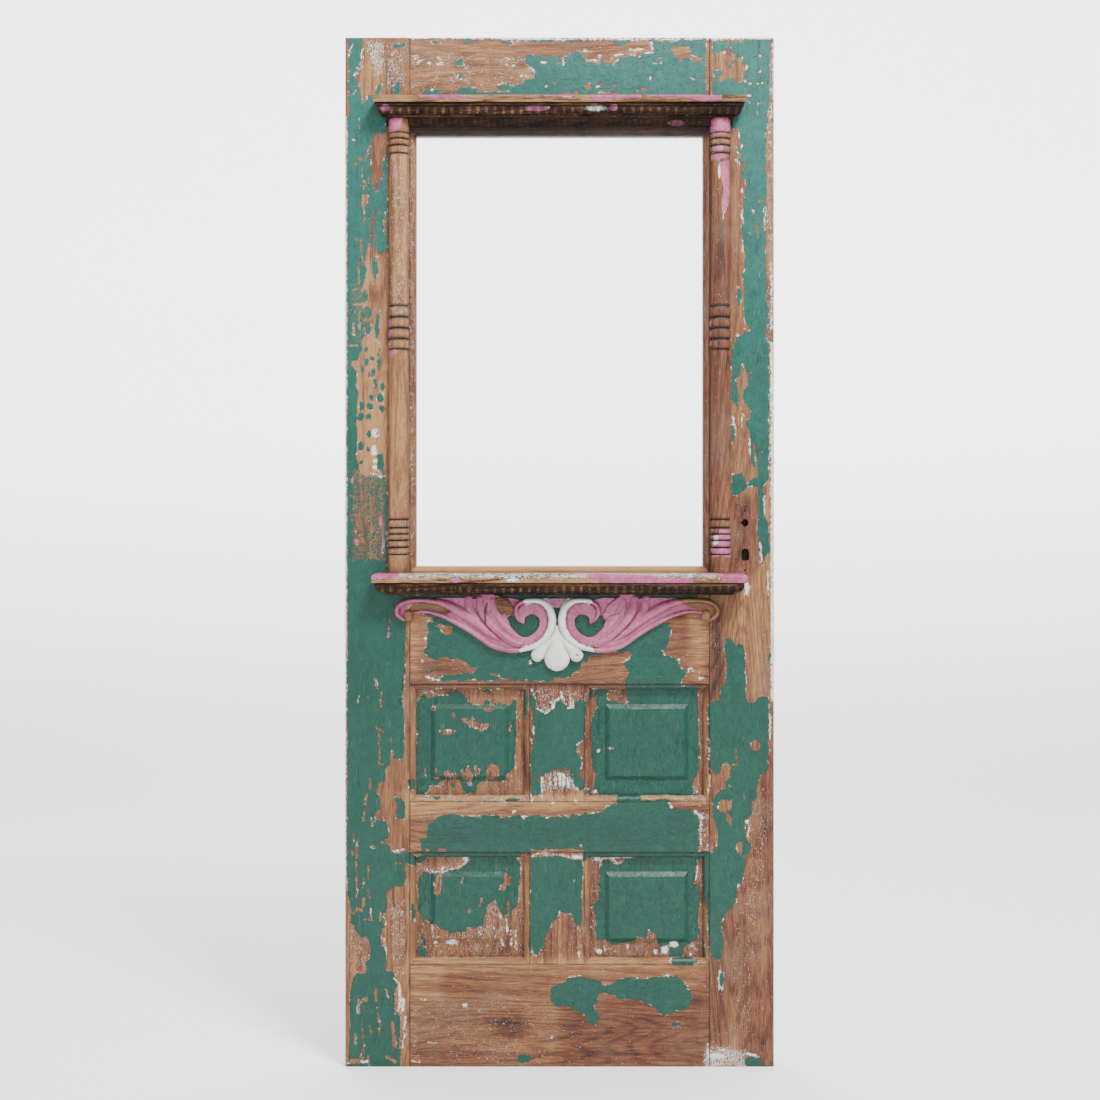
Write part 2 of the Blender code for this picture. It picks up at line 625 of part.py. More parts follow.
def egg_band(bottom_level, top_level, z, height):
    """Rows of the egg band, from its lower to its upper edge."""
    rows = []
    return_eggs = int(top_level[0] / EGG_PITCH)
    for k in range(EGG_ROWS + 1):
        turn = math.pi / 2 * k / EGG_ROWS
        out = math.sin(turn)
        front = bottom_level[0] + (top_level[0] - bottom_level[0]) * out
        side = bottom_level[1] + (top_level[1] - bottom_level[1]) * out
        rise = height * (1 - math.cos(turn))
        edge = k in (0, EGG_ROWS)
        share = 0.0 if edge else k / EGG_ROWS
        rows.append(egg_ring(front, side, z + rise, share, math.pi / 2 - turn, return_eggs))
    return rows


def moulding(name, rings, material):
    """A planted moulding with mitred returns, from its level rings, bottom to top."""
    shape = bmesh.new()
    loops = [[shape.verts.new(point) for point in ring] for ring in rings]
    for lower, upper in zip(loops, loops[1:]):
        if len(lower) == len(upper):
            for i in range(len(lower) - 1):
                shape.faces.new((lower[i], lower[i + 1], upper[i + 1], upper[i]))
        else:
            shape.faces.new(lower + upper[::-1])
    shape.faces.new(loops[0])
    shape.faces.new(loops[-1])
    shape.faces.new([loop[0] for loop in loops] + [loop[-1] for loop in reversed(loops)])
    return as_object(name, shape, material)


def stack(rings, level, z, height=0.0):
    """Adds a step's lower and upper edge to the rings and returns the new height."""
    rings.append(plain_ring(level[0], level[1], z))
    if height:
        rings.append(plain_ring(level[0], level[1], z + height))
    return z + height


def build_cornice(bottom, material):
    """Cove, fillet, egg band, bead and nose. Returns the height of the soffit over the columns."""
    rings = []
    low, high, rise = COVE
    stack(rings, low, bottom)
    for front, height in arc((low[0], bottom), (high[0], bottom + rise), CURVE_STEPS, False):
        share = (front - low[0]) / (high[0] - low[0])
        stack(rings, (front, low[1] + (high[1] - low[1]) * share), height)
    soffit = bottom + rise
    z = stack(rings, CORNICE_FILLET, soffit, CORNICE_FILLET[2])
    rings += egg_band(CORNICE_OVOLO[0], CORNICE_OVOLO[1], z, CORNICE_OVOLO[2])
    z += CORNICE_OVOLO[2]
    front, side, height = CORNICE_BEAD
    stack(rings, (front, side), z)
    stack(rings, (front + BEAD_BULGE, side + BEAD_BULGE), z + height / 2)
    stack(rings, (front, side), z + height)
    z = stack(rings, CORNICE_QUIRK, z + height, CORNICE_QUIRK[2])
    low, high, height = CORNICE_NOSE
    stack(rings, low, z)
    stack(rings, high, z + height - CORNICE_NOSE_EDGE)
    stack(rings, high, z + height)
    cornice = moulding("cornice", rings, material)
    cutter = bmesh.new()
    housing = COLUMN_RADIUS + HOUSING_PLAY
    for x in column_places().values():
        half_round(cutter, x, [(housing, soffit + COLUMN_HOUSING), (housing, bottom - OVERLAP)])
    helper = as_helper("column_housings", cutter)
    combine(cornice, helper, "DIFFERENCE")
    return soffit


def sill_height():
    return SILL_FILLET[2] + SILL_OVOLO[2] + SILL_QUIRK[2] + SILL_NOSE[2] + SILL_TOP_ROUND[1]


def build_sill(top, material):
    """Fillet, egg band, quirk, nose and rounded top edge, planted with its top at the given height."""
    rings = []
    z = stack(rings, SILL_FILLET, top - sill_height(), SILL_FILLET[2])
    rings += egg_band(SILL_OVOLO[0], SILL_OVOLO[1], z, SILL_OVOLO[2])
    z = stack(rings, SILL_QUIRK, z + SILL_OVOLO[2], SILL_QUIRK[2])
    front, side, height = SILL_NOSE
    z = stack(rings, SILL_NOSE, z, height)
    inward, rise = SILL_TOP_ROUND
    for back, level in arc((0.0, z), (inward, z + rise), CURVE_STEPS, False):
        stack(rings, (front - back, side - back), level)
    moulding("sill", rings, material)


def strand(shape, points, section, axis, top, side, root):
    """One ribbon of the carving, closed, with its root behind the door's face."""
    unit = CARVING_LENGTH / CARVING_UNITS
    centres = [Vector((axis + side * across * unit, 0.0, top - down * unit)) for across, down, _, _ in points]
    rings = []
    for k, (_, _, half_width, height) in enumerate(points):
        run = centres[min(k + 1, len(points) - 1)] - centres[max(k - 1, 0)]
        outward = Vector((run.z, 0.0, -run.x)).normalized() * half_width * unit
        ring = []
        for share, rise in section:
            place = centres[k] + outward * share
            ring.append((place.x, FACE - GAP - height * unit * rise, place.z))
        for share in (-1.0, 1.0):
            place = centres[k] + outward * share
            ring.append((place.x, FACE + root, place.z))
        rings.append(ring)
    loft(shape, rings)


def carving_strands():
    """(points, section, sides) of every strand, where side -1 is towards the hinge edge."""
    rounded = (OUTER_RIM, LOWER_RIM, EYE, SCROLL_RIM, SIDE_LOBE, OUTER_RIDGE, FIRST_RIDGE, SECOND_RIDGE)
    strands = [(points, ROUND_SECTION, (-1, 1)) for points in rounded]
    strands += [(points, FLAT_SECTION, (-1, 1)) for points in (ARM_FLOOR, SCROLL_FLOOR, LEAF_FLOOR)]
    strands.append((MIDDLE_LOBE, ROUND_SECTION, (1,)))
    strands.append((BROKEN_LOBE, FLAT_SECTION, (-1,)))
    return strands + [(points, FLAT_SECTION, (1,)) for points in (BRIDGE, WHOLE_LOBE)]


def build_carving(top, material):
    """The strands united into one solid with a flat back."""
    axis = DOOR_WIDTH / 2 + MUNTIN_SHIFT
    ready = [(points, section, side) for points, section, sides in carving_strands() for side in sides]
    carving = None
    for k, (points, section, side) in enumerate(ready):
        shape = bmesh.new()
        strand(shape, points, section, axis, top, side, CARVING_ROOT + ROOT_STEP * k)
        if carving is None:
            carving = as_object("scroll_carving", shape, material)
        else:
            combine(carving, as_helper(f"strand_{k}", shape), "UNION")
    cutter = bmesh.new()
    reach = CARVING_LENGTH
    add_box(cutter, (axis - reach, FACE - GAP, top - reach), (axis + reach, -FACE, top + OVERLAP))
    combine(carving, as_helper("carving_back", cutter), "DIFFERENCE")


def main():
    clear_scene()
    members, openings = layout()
    paint = finish("worn_green_paint", (0.10, 0.22, 0.18), 0.6)
    stiles = build_stiles(members, openings, paint)
    cut_lock_holes(stiles["lock_stile"])
    build_rails(members, openings, paint)
    build_muntins(members, openings, paint)
    build_panels(openings, paint)
    build_glazing(openings, paint, finish("clear_glass", (1.0, 1.0, 1.0), 0.03, transmission=1.0))
    dark_wood = finish("stained_moulding", (0.13, 0.07, 0.04), 0.6)
    soffit = build_cornice(openings["glass"].rect.top + CORNICE_RISE, dark_wood)
    sill_top = openings["glass"].rect.bottom
    build_sill(sill_top, dark_wood)
    build_carving(sill_top - sill_height() - CARVING_DROP, finish("carving_paint", (0.50, 0.28, 0.36), 0.6))
    build_columns(sill_top + GAP, soffit + COLUMN_HOUSING - GAP, finish("bare_pine", (0.42, 0.27, 0.17), 0.7))


main()
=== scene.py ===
"""The dressed cottage door: flaking coats of paint, bare pine, pressed mouldings and a carved scroll.

Metres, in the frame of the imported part. X runs from the hinge edge to the lock edge, the outer face
looks along -Y, and Z is zero at mid-height.
"""

import logging
import math
from dataclasses import dataclass
from enum import Enum
from typing import Callable, Iterable, Sequence

import bpy
import numpy as np
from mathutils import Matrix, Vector
from mathutils.geometry import delaunay_2d_cdt

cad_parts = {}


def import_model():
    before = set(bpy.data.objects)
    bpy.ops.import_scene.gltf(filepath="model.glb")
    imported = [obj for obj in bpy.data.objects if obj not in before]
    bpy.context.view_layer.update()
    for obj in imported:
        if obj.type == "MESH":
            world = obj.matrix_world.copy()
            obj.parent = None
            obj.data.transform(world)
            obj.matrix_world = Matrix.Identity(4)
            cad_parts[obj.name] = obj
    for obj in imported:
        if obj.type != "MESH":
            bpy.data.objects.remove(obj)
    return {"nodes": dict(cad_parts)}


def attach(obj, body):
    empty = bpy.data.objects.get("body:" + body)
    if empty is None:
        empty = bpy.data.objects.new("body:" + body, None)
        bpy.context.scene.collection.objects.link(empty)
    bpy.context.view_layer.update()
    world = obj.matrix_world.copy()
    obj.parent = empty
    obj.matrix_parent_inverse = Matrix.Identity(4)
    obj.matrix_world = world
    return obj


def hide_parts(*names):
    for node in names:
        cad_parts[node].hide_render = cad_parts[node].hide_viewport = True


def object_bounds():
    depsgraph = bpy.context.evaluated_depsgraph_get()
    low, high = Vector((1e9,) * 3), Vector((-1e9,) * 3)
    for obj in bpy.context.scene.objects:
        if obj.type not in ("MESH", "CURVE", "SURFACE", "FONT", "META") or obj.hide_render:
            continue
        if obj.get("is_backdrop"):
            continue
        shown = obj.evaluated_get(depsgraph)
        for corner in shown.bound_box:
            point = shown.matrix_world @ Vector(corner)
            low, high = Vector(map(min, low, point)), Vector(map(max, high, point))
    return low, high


LOG = logging.getLogger("cottage_door")

DOOR_WIDTH = 0.864
DOOR_HEIGHT = 2.074
THICKNESS = 0.044
FACE = -THICKNESS / 2
GAP = 0.0003
GROOVE_WIDTH = 0.014
LIP_DEPTH = (THICKNESS - GROOVE_WIDTH) / 2
OUTER_EASING = 0.003
JOINT_EASING = 0.0008
MILLIMETRE = 0.001

Points = np.ndarray
Outline = Sequence[tuple[float, float]]


@dataclass(frozen=True)
class Colour:
    """A paint chip in the 0 to 255 values that a colour card gives."""

    red: float
    green: float
    blue: float

    def linear(self) -> tuple[float, float, float, float]:
        """The chip as the scene-linear colour that a shader takes."""
        shares = [value / 255 for value in (self.red, self.green, self.blue)]
        curve = [share / 12.92 if share <= 0.04045 else ((share + 0.055) / 1.055) ** 2.4
                 for share in shares]
        return (*curve, 1.0)


@dataclass(frozen=True)
class Rect:
    """An upright rectangle on the door's face."""

    left: float
    right: float
    bottom: float
    top: float


class Side(Enum):
    """The four sides of a member or an opening."""

    LEFT = "left"
    RIGHT = "right"
    BOTTOM = "bottom"
    TOP = "top"


class Grain(Enum):
    """Which way the wood's fibres run, as the stretch of its figure along X, Y and Z."""

    UPRIGHT = (1.0, 1.0, 0.06)
    LEVEL = (0.06, 1.0, 1.0)

    def drawn(self, share: float) -> tuple[float, ...]:
        """The stretch with another share along the fibres."""
        return tuple(share if factor < 1 else 1.0 for factor in self.value)


class Slot(Enum):
    """Names of the material slots."""

    PAINT = "worn_green_paint"
    GLASS = "clear_glass"
    PINE = "bare_pine"
    MOULDING = "stained_moulding"
    CARVING = "carving_paint"


class Field(Enum):
    """What is known of a surface at each point: coats in millimetres to their edge, the rest 0 to 1."""

    GREEN = "green_coat"
    PINK = "pink_coat"
    PALE = "pale_coat"
    CRACKLE = "crackle"
    ISLANDS = "islands"
    FLECKS = "white_flecks"
    TONE = "wood_tone"
    # darkening field: real dirt in joints and cracks, and painted shade in hollows, under overhangs and
    # inside the lock's holes
    SOIL_AND_SHADE = "soil_and_shade"


COATS = (Field.GREEN, Field.PINK, Field.PALE)
SURE = 12.0  # millimetres from a coat's edge at which nothing of the edge is left


# Where the paint is and where it has gone


@dataclass(frozen=True)
class Sketch:
    """The measuring grid in which the patches of paint are drawn over the door's face."""

    step: float = 0.002018
    hinge_edge: float = 345.0
    foot: float = 1067.0
    eye: tuple[float, float, float] = (0.432, -3.522, 0.063)

    def marks(self, points: Points) -> tuple[Points, Points]:
        """Grid marks across and down of places, carried to the face along the line from the eye."""
        share = (FACE - self.eye[1]) / (points[:, 1] - self.eye[1])
        x = self.eye[0] + (points[:, 0] - self.eye[0]) * share
        z = self.eye[2] + (points[:, 2] - self.eye[2]) * share
        return x / self.step + self.hinge_edge, self.foot - (z + DOOR_HEIGHT / 2) / self.step


@dataclass(frozen=True)
class Patch:
    """One place where a field of the surface is set.

    Two points are the corners of an oval blot. With a width the outline is a line of that half width.
    """

    name: str
    field: Field
    value: float
    outline: Outline
    feather: float = 3.0
    width: float = 0.0

    def edge_distance(self, across: Points, down: Points) -> Points:
        """Signed distance to the outline.

        Args:
            across: Grid marks across.
            down: Grid marks down.

        Returns:
            Marks, negative inside.
        """
        corners = np.array(self.outline, float)
        if self.width:
            return line_distance(corners, across, down) - self.width
        if len(corners) == 2:
            centre, radii = corners.mean(0), np.abs(corners[1] - corners[0]) / 2
            reach = np.hypot((across - centre[0]) / radii[0], (down - centre[1]) / radii[1])
            return (reach - 1) * radii.min()
        return polygon_distance(corners, across, down)


def line_distance(corners: Points, across: Points, down: Points) -> Points:
    """Distance to an open line.

    Args:
        corners: The line's points, one row each.
        across: First coordinates to measure.
        down: Second coordinates to measure.

    Returns:
        The distances.
    """
    nearest = np.full(across.shape, np.inf)
    for start, end in zip(corners, corners[1:]):
        run = end - start
        length = max(float(run @ run), 1e-12)
        share = np.clip(((across - start[0]) * run[0] + (down - start[1]) * run[1]) / length, 0, 1)
        gone = np.hypot(across - start[0] - share * run[0], down - start[1] - share * run[1])
        nearest = np.minimum(nearest, gone)
    return nearest


def polygon_distance(corners: Points, across: Points, down: Points) -> Points:
    """Signed distance to a closed outline.

    Args:
        corners: The outline's points, one row each.
        across: First coordinates to measure.
        down: Second coordinates to measure.

    Returns:
        The distances, negative inside.
    """
    nearest = line_distance(np.concatenate((corners, corners[:1])), across, down)
    inside = np.zeros(across.shape, bool)
    for start, end in zip(corners, np.roll(corners, -1, axis=0)):
        crosses = (start[1] > down) != (end[1] > down)
        rise = end[1] - start[1] if abs(end[1] - start[1]) > 1e-12 else 1e-12
        inside ^= crosses & (across < start[0] + (down - start[1]) * (end[0] - start[0]) / rise)
    return np.where(inside, -nearest, nearest)


def bare(name: str, *outline: tuple[float, float]) -> Patch:
    """A place where the green coat has gone."""
    return Patch(name, Field.GREEN, -1.0, outline)


def green(name: str, *outline: tuple[float, float]) -> Patch:
    """A place where green paint is left."""
    return Patch(name, Field.GREEN, 1.0, outline)


def pink(name: str, *outline: tuple[float, float]) -> Patch:
    """A place where pink paint shows."""
    return Patch(name, Field.PINK, 1.0, outline)


def pale(name: str, *outline: tuple[float, float]) -> Patch:
    """A place where the pale coat shows."""
    return Patch(name, Field.PALE, 1.0, outline)


def bared(name: str, *outline: tuple[float, float]) -> Patch:
    """A place where the pink coat has gone too."""
    return Patch(name, Field.PINK, -1.0, outline)


def strip(name: str, field: Field, value: float, width: float, *line: tuple[float, float]) -> Patch:
    """A field along a line, of a half width."""
    return Patch(name, field, value, line, feather=max(width * 0.6, 0.5), width=width)


def crackled(name: str, value: float, *outline: tuple[float, float]) -> Patch:
    """A place where the green coat has broken into flakes along the grain."""
    return Patch(name, Field.CRACKLE, value, outline)


def islands(name: str, value: float, *outline: tuple[float, float]) -> Patch:
    """A place where the green coat has shrunk to small islands."""
    return Patch(name, Field.ISLANDS, value, outline)


def flecked(name: str, value: float, *outline: tuple[float, float]) -> Patch:
    """A place where white has stayed in the pores of the bare wood."""
    return Patch(name, Field.FLECKS, value, outline)


def marks(name: str, field: Field, value: float, *shapes: tuple) -> tuple[Patch, ...]:
    """Many small places of one kind.

    Args:
        name: What they are.
        field: Which field they set.
        value: What it becomes.
        *shapes: Oval blots as left, top, right, bottom, or lines as half width and points.

    Returns:
        One patch for each.
    """
    found = []
    for shape in shapes:
        if isinstance(shape[1], tuple):
            found.append(Patch(name, field, value, shape[1:], feather=max(shape[0] * 0.6, 0.5),
                               width=shape[0]))
        else:
            found.append(Patch(name, field, value, (shape[:2], shape[2:])))
    return tuple(found)


def revealed(name: str, coat: Field, *shapes: tuple) -> tuple[Patch, ...]:
    """Places where the green coat has gone and one under it shows."""
    return marks(name, Field.GREEN, -1.0, *shapes) + marks(name, coat, 1.0, *shapes)


def toned(name: str, value: float, *outline: tuple[float, float]) -> Patch:
    """A place where the bare wood is lighter or darker: 0 is pale tan, 1 is dark red-brown."""
    return Patch(name, Field.TONE, value, outline, 8.0)


@dataclass(frozen=True)
class WearMap:
    """The patches of one group of pieces, later ones over earlier ones."""

    patches: tuple[Patch, ...]
    base: tuple[tuple[Field, float], ...]
    sketch: Sketch = Sketch()

    def sample(self, points: Points) -> dict[Field, Points]:
        """The surface's fields at mesh points.

        Args:
            points: World places, one row each.

        Returns:
            One array of values for each field.
        """
        across, down = self.sketch.marks(points)
        fields = {name: np.full(len(points), value) for name, value in self.base}
        scale = self.sketch.step / MILLIMETRE
        for patch in self.patches:
            corners = np.array(patch.outline, float)
            low, high = corners.min(0) - SURE, corners.max(0) + SURE
            near = (across > low[0]) & (across < high[0]) & (down > low[1]) & (down < high[1])
            if not near.any():
                continue
            distance = patch.edge_distance(across[near], down[near])
            known = fields[patch.field]
            if patch.field in COATS:
                reach = distance * scale
                joined = np.maximum(known[near], -reach) if patch.value > 0 else np.minimum(known[near],
                                                                                            reach)
                known[near] = joined
            else:
                share = np.clip(0.5 - distance / (2 * patch.feather), 0, 1)
                share = share * share * (3 - 2 * share)
                known[near] += (patch.value - known[near]) * share
        for name in COATS:
            fields[name] = np.clip(fields[name], -SURE, SURE)
        return fields


def untouched(painted: bool, flecks: float, tone: float) -> tuple[tuple[Field, float], ...]:
    """The surface where no patch lies: green or bare, with a share of white pores and a tone of wood."""
    return ((Field.GREEN, SURE if painted else -SURE), (Field.PINK, -SURE), (Field.PALE, -SURE),
            (Field.CRACKLE, 0.0), (Field.ISLANDS, 0.0), (Field.FLECKS, flecks), (Field.TONE, tone),
            (Field.SOIL_AND_SHADE, 0.0))


FRAME_BASE = untouched(True, 0.15, 0.4)
BARE_BASE = untouched(False, 0.2, 0.4)
STAINED_BASE = untouched(False, 0.2, 0.75)

HINGE_STILE_WEAR = (
    bare("arris", (343, 36), (348.4, 36), (348.6, 115), (347, 120), (347.2, 640), (346.5, 800),
         (347, 895), (350, 905), (351, 930), (350, 1020), (348, 1072), (343, 1072)),
    bare("head", (362, 36), (412, 36), (412, 100), (371, 98), (367.5, 97), (367, 102), (364.5, 107),
         (361, 100), (359, 92), (358, 84), (355.5, 79), (354, 77), (358, 72), (361, 69), (361.5, 66),
         (362, 58), (361.5, 46)),
    green("head, at the joint", (393.5, 46.5), (401, 46.5), (402.5, 44.5), (407.5, 45), (407.5, 54),
          (404.5, 54), (403, 49), (394, 49.5)),
    green("over the cornice", (376, 90), (378, 87), (382, 86.5), (380, 91), (380.5, 98), (375, 98)),
    green("over the cornice too", (389, 90), (394, 87), (397, 84), (399.5, 84), (399.5, 98), (392, 98),
          (394, 91), (389, 91.5)),
    bare("beside the cap", (377, 132), (379, 138), (383, 135), (388, 134), (388, 150), (384, 160),
         (382, 168), (383, 176), (380, 184), (378, 190), (377, 197), (374, 192), (371, 180), (370, 165),
         (371, 150), (371, 141), (375, 137)),
    bare("flake", (362, 196), (368, 196), (369, 203), (364, 211), (361, 205)),
    bare("beside the column", (378, 256), (388, 252), (388, 480), (384, 478), (383, 455), (377, 456),
         (377, 470), (380, 478), (371, 475), (366, 478), (360, 474), (358, 466), (356, 455), (357, 440),
         (356, 425), (357, 410), (358, 395), (356, 385), (357, 372), (351, 367), (351, 362), (358, 362),
         (361, 350), (362, 340), (366, 337), (371, 336), (371, 325), (364, 323), (362, 312), (362, 300),
         (361, 290), (366, 278), (366, 262), (368, 245), (372, 248)),
    *marks("islands", Field.GREEN, 1.0, (362, 291, 367, 307), (363, 308, 372, 321),
           (372, 258, 377.5, 280), (375, 315, 379, 342), (364, 348, 368, 354), (370, 357, 374.5, 363),
           (364, 359, 368, 366), (377, 355, 380.5, 371), (360, 368, 364, 374), (371, 370, 375, 377),
           (368, 373, 371.5, 380), (373, 378, 377, 391), (380, 384, 384.5, 391),
           (376, 394, 384, 404), (369, 396, 373.5, 402), (359, 403, 364.5, 412), (366, 404, 373.5, 412),
           (379, 407, 384.5, 413), (357, 414, 363.5, 422), (366, 414, 371, 421), (367, 433, 371.5, 439),
           (358, 443, 363.5, 451), (366, 448, 370, 453), (360, 461, 364, 466)),
    *marks("flakes", Field.GREEN, -1.0, (0.8, (353, 142), (357, 142.5)),
           (0.8, (356, 167), (354, 163), (359, 160), (365, 162)), (0.8, (363, 168), (362.5, 178)),
           (0.8, (367, 158), (370, 147)), (0.8, (368, 178), (369, 191)),
           (1.3, (364, 183), (368, 185), (364, 188)), (0.8, (365, 220), (370, 220)),
           (0.8, (379, 210), (379, 218)), (0.9, (373, 212), (375, 240), (376, 262)),
           (0.9, (371, 224), (370, 250)), (1.0, (356, 241), (361, 243), (363, 265)),
           (1.2, (385, 214), (384.5, 236)), (0.8, (359, 262), (358, 290), (352, 292)),
           (0.8, (352, 300), (357, 300)), (1.3, (353, 306), (362, 306)),
           (0.8, (360, 312), (359, 325), (361, 338)), (1.2, (354, 325), (353, 335)),
           (1.3, (364, 330), (367, 334), (367, 345)), (0.8, (350, 347), (357, 347)),
           (0.7, (364, 190), (364, 225)), (0.7, (350, 497), (357, 498)), (0.7, (350, 516), (366, 516)),
           (0.7, (351, 521), (367, 522)), (0.8, (356, 530), (378, 530)), (0.7, (356, 541), (366, 541)),
           (0.7, (352, 552), (362, 551)), (0.9, (357, 513), (357, 541)),
           (0.9, (365, 488), (366, 515), (363, 545)), (0.9, (361, 480), (362, 512)),
           (0.8, (371, 500), (371, 540)), (0.8, (375.5, 680), (377, 688)),
           (0.8, (381, 692), (380.5, 707)), (0.8, (365, 698.5), (367, 698)),
           (1.2, (376, 729), (380, 731), (383, 733)), (0.8, (379, 735), (379, 765), (382, 765)),
           (0.9, (390, 737), (391, 742)), (0.7, (369.5, 775), (370, 790)),
           (0.7, (366.5, 795), (365, 811), (362.5, 822)), (0.7, (377, 800), (375, 805)),
           (0.7, (371, 818), (372, 826)), (0.9, (353, 834), (354, 842)),
           (0.9, (358, 834), (356, 862), (357, 898)), (0.8, (351.5, 850), (352.5, 855)),
           (1.0, (371, 848), (374, 848)), (1.0, (396, 864), (401, 864)), (0.8, (368.5, 868), (368, 880)),
           (0.9, (363, 879), (363, 889)), (1.0, (368, 890), (370, 900)), (1.6, (363, 899), (363, 907)),
           (1.3, (354, 914), (357, 909), (361, 911)), (1.1, (370, 910), (371, 918)),
           (0.8, (364, 920), (371, 920)), (0.8, (380, 913), (380, 922)),
           (1.0, (376, 990), (376, 1000), (378, 1018), (380, 1024), (379, 1036)),
           (1.0, (386, 990), (388, 998)), (1.0, (369, 1026), (371, 1032)),
           (1.2, (362, 1030), (364, 1045), (361, 1062)), (1.0, (355, 1034), (355, 1043)),
           (1.8, (392, 1024), (393, 1034), (395, 1047)), (1.6, (386, 1057), (395, 1062)),
           (1.8, (366, 1000), (358, 1003), (359, 1013)), (2.0, (346, 1062), (362, 1061)),
           (1.0, (368, 1056), (369, 1066))),
    bare("by the upper panel", (391.9, 749.8), (393.3, 753.3), (392.6, 758.2), (396.1, 761),
         (403.1, 758.9), (404.5, 740), (403.5, 715), (402.5, 700), (404, 685), (406, 668), (408, 604),
         (420, 604), (420, 860), (408, 852), (403.1, 852.2), (398.2, 854.3), (390.5, 852.2),
         (388.4, 845.2), (380, 843), (387, 839.6), (389, 834), (386.3, 821.4), (379.3, 820),
         (375, 821.4), (374.4, 814.3), (380.7, 810), (380, 799), (376.5, 791.9), (380, 783.5),
         (385.6, 782), (384.9, 769.4), (389.8, 765.2), (389.8, 755.4)),
    green("by the middle rail", (393.3, 798.2), (397, 797), (402, 800), (406, 804), (407, 808),
          (405, 820), (396.1, 818.5), (395.4, 812.9), (397.5, 805.9)),
    green("on the moulding", (408, 780), (414, 780), (414, 791), (408, 790)),
    bare("by the lower panel", (387, 892), (390, 891), (393, 887), (404, 886), (406, 880), (409, 866),
         (420, 866), (420, 1072), (402, 1072), (403, 1050), (406, 1035), (404, 1020), (400, 1014),
         (394, 1015), (395, 1000), (394, 990), (399, 985), (397, 978), (391, 972), (386, 971), (386, 958),
         (384, 948), (381, 944), (381, 930), (385, 928), (385, 918), (387, 905), (386, 895)),
    green("on the lower moulding", (411, 904), (415, 904), (414, 923), (411, 922)),
    bare("left edge, low", (346, 922), (353, 924), (356, 932), (361, 938), (366, 937), (369, 944),
         (371, 950), (369, 958), (366, 962), (366, 975), (361, 974), (356, 972), (354, 978), (352, 983),
         (346, 1000)),
    islands("network", 0.26, (352, 470), (385, 470), (385, 562), (352, 562)),
    islands("shoulder", 0.14, (350, 285), (370, 285), (370, 345), (350, 345)),
    crackled("upper", 0.3, (352, 150), (388, 150), (388, 262), (352, 262)),
    crackled("foot", 0.3, (352, 985), (400, 985), (400, 1068), (352, 1068)),
    flecked("head, dense", 0.85, (362, 42), (385, 42), (384, 75), (376, 80), (368, 56)),
    flecked("head", 0.65, (385, 44), (408, 44), (408, 92), (385, 92)),
    flecked("by the lower panel", 0.6, (388, 900), (405, 900), (405, 975), (392, 975)),
    flecked("left edge, low", 0.5, (350, 925), (372, 940), (366, 976), (350, 976)),
    *revealed("pale blobs", Field.PALE, (371, 430.5, 379, 439), (371, 447, 377, 458),
              (373, 459.5, 377.5, 465), (372, 466.5, 377, 471), (0.8, (371, 475), (376, 476), (381, 479)),
              (0.8, (377.5, 470), (381, 478)), (1.0, (354, 44), (350, 51), (349, 58)),
              (0.9, (352.5, 77.5), (357, 75.5)), (0.8, (356, 69), (359, 71)),
              (0.9, (362, 50), (361, 58), (362, 64), (359.5, 67), (363, 69)),
              (0.8, (358, 88), (358.5, 86)), (0.9, (353, 96.5), (356, 92)), (0.8, (359, 120), (359, 130)),
              (0.8, (385, 125), (384, 130)), (0.8, (358.5, 697), (358, 703)),
              (1.2, (399, 985), (400, 1000), (398, 1012)), (1.6, (403, 1000), (402, 1010)),
              (1.0, (405, 1017), (404, 1030)), (0.9, (404, 1034), (402, 1048)),
              (1.3, (394, 979), (398, 983)), (1.6, (361, 1062), (367, 1062)),
              (1.0, (392, 853), (404, 850)), (0.8, (404.5, 674), (404, 684)),
              (0.7, (346.6, 118), (346.6, 200)), (1.1, (346, 200), (346, 640)),
              (0.7, (346, 640), (346, 890)), (0.8, (384, 914), (385, 926)),
              (0.8, (384, 940), (386, 955))),
    *revealed("pink specks", Field.PINK, (378.8, 514, 382, 529), (381, 536, 384, 553),
              (353.5, 540, 359, 546), (350.5, 478, 353.5, 485), (375.5, 433, 378.5, 437),
              (387, 624, 389.5, 642), (349.5, 53, 351.5, 56)),
    toned("head, tan", -0.1, (357, 64), (376, 62), (376, 106), (361, 106)),
    toned("by the column, tan", -0.25, (350, 270), (388, 256), (388, 480), (350, 480)),
    toned("burn", 1.1, (369, 288), (378, 304)),
    toned("burn, lower", 0.9, (362, 321), (370, 325)),
    *marks("lifted edges", Field.SOIL_AND_SHADE, 0.8, (0.9, (404.5, 671), (402.5, 685), (402, 690)),
           (0.7, (399, 700), (401, 706)), (0.8, (393, 898), (394, 907)), (0.8, (384, 914), (385, 919)),
           (0.5, (386, 60), (386, 96))),
)

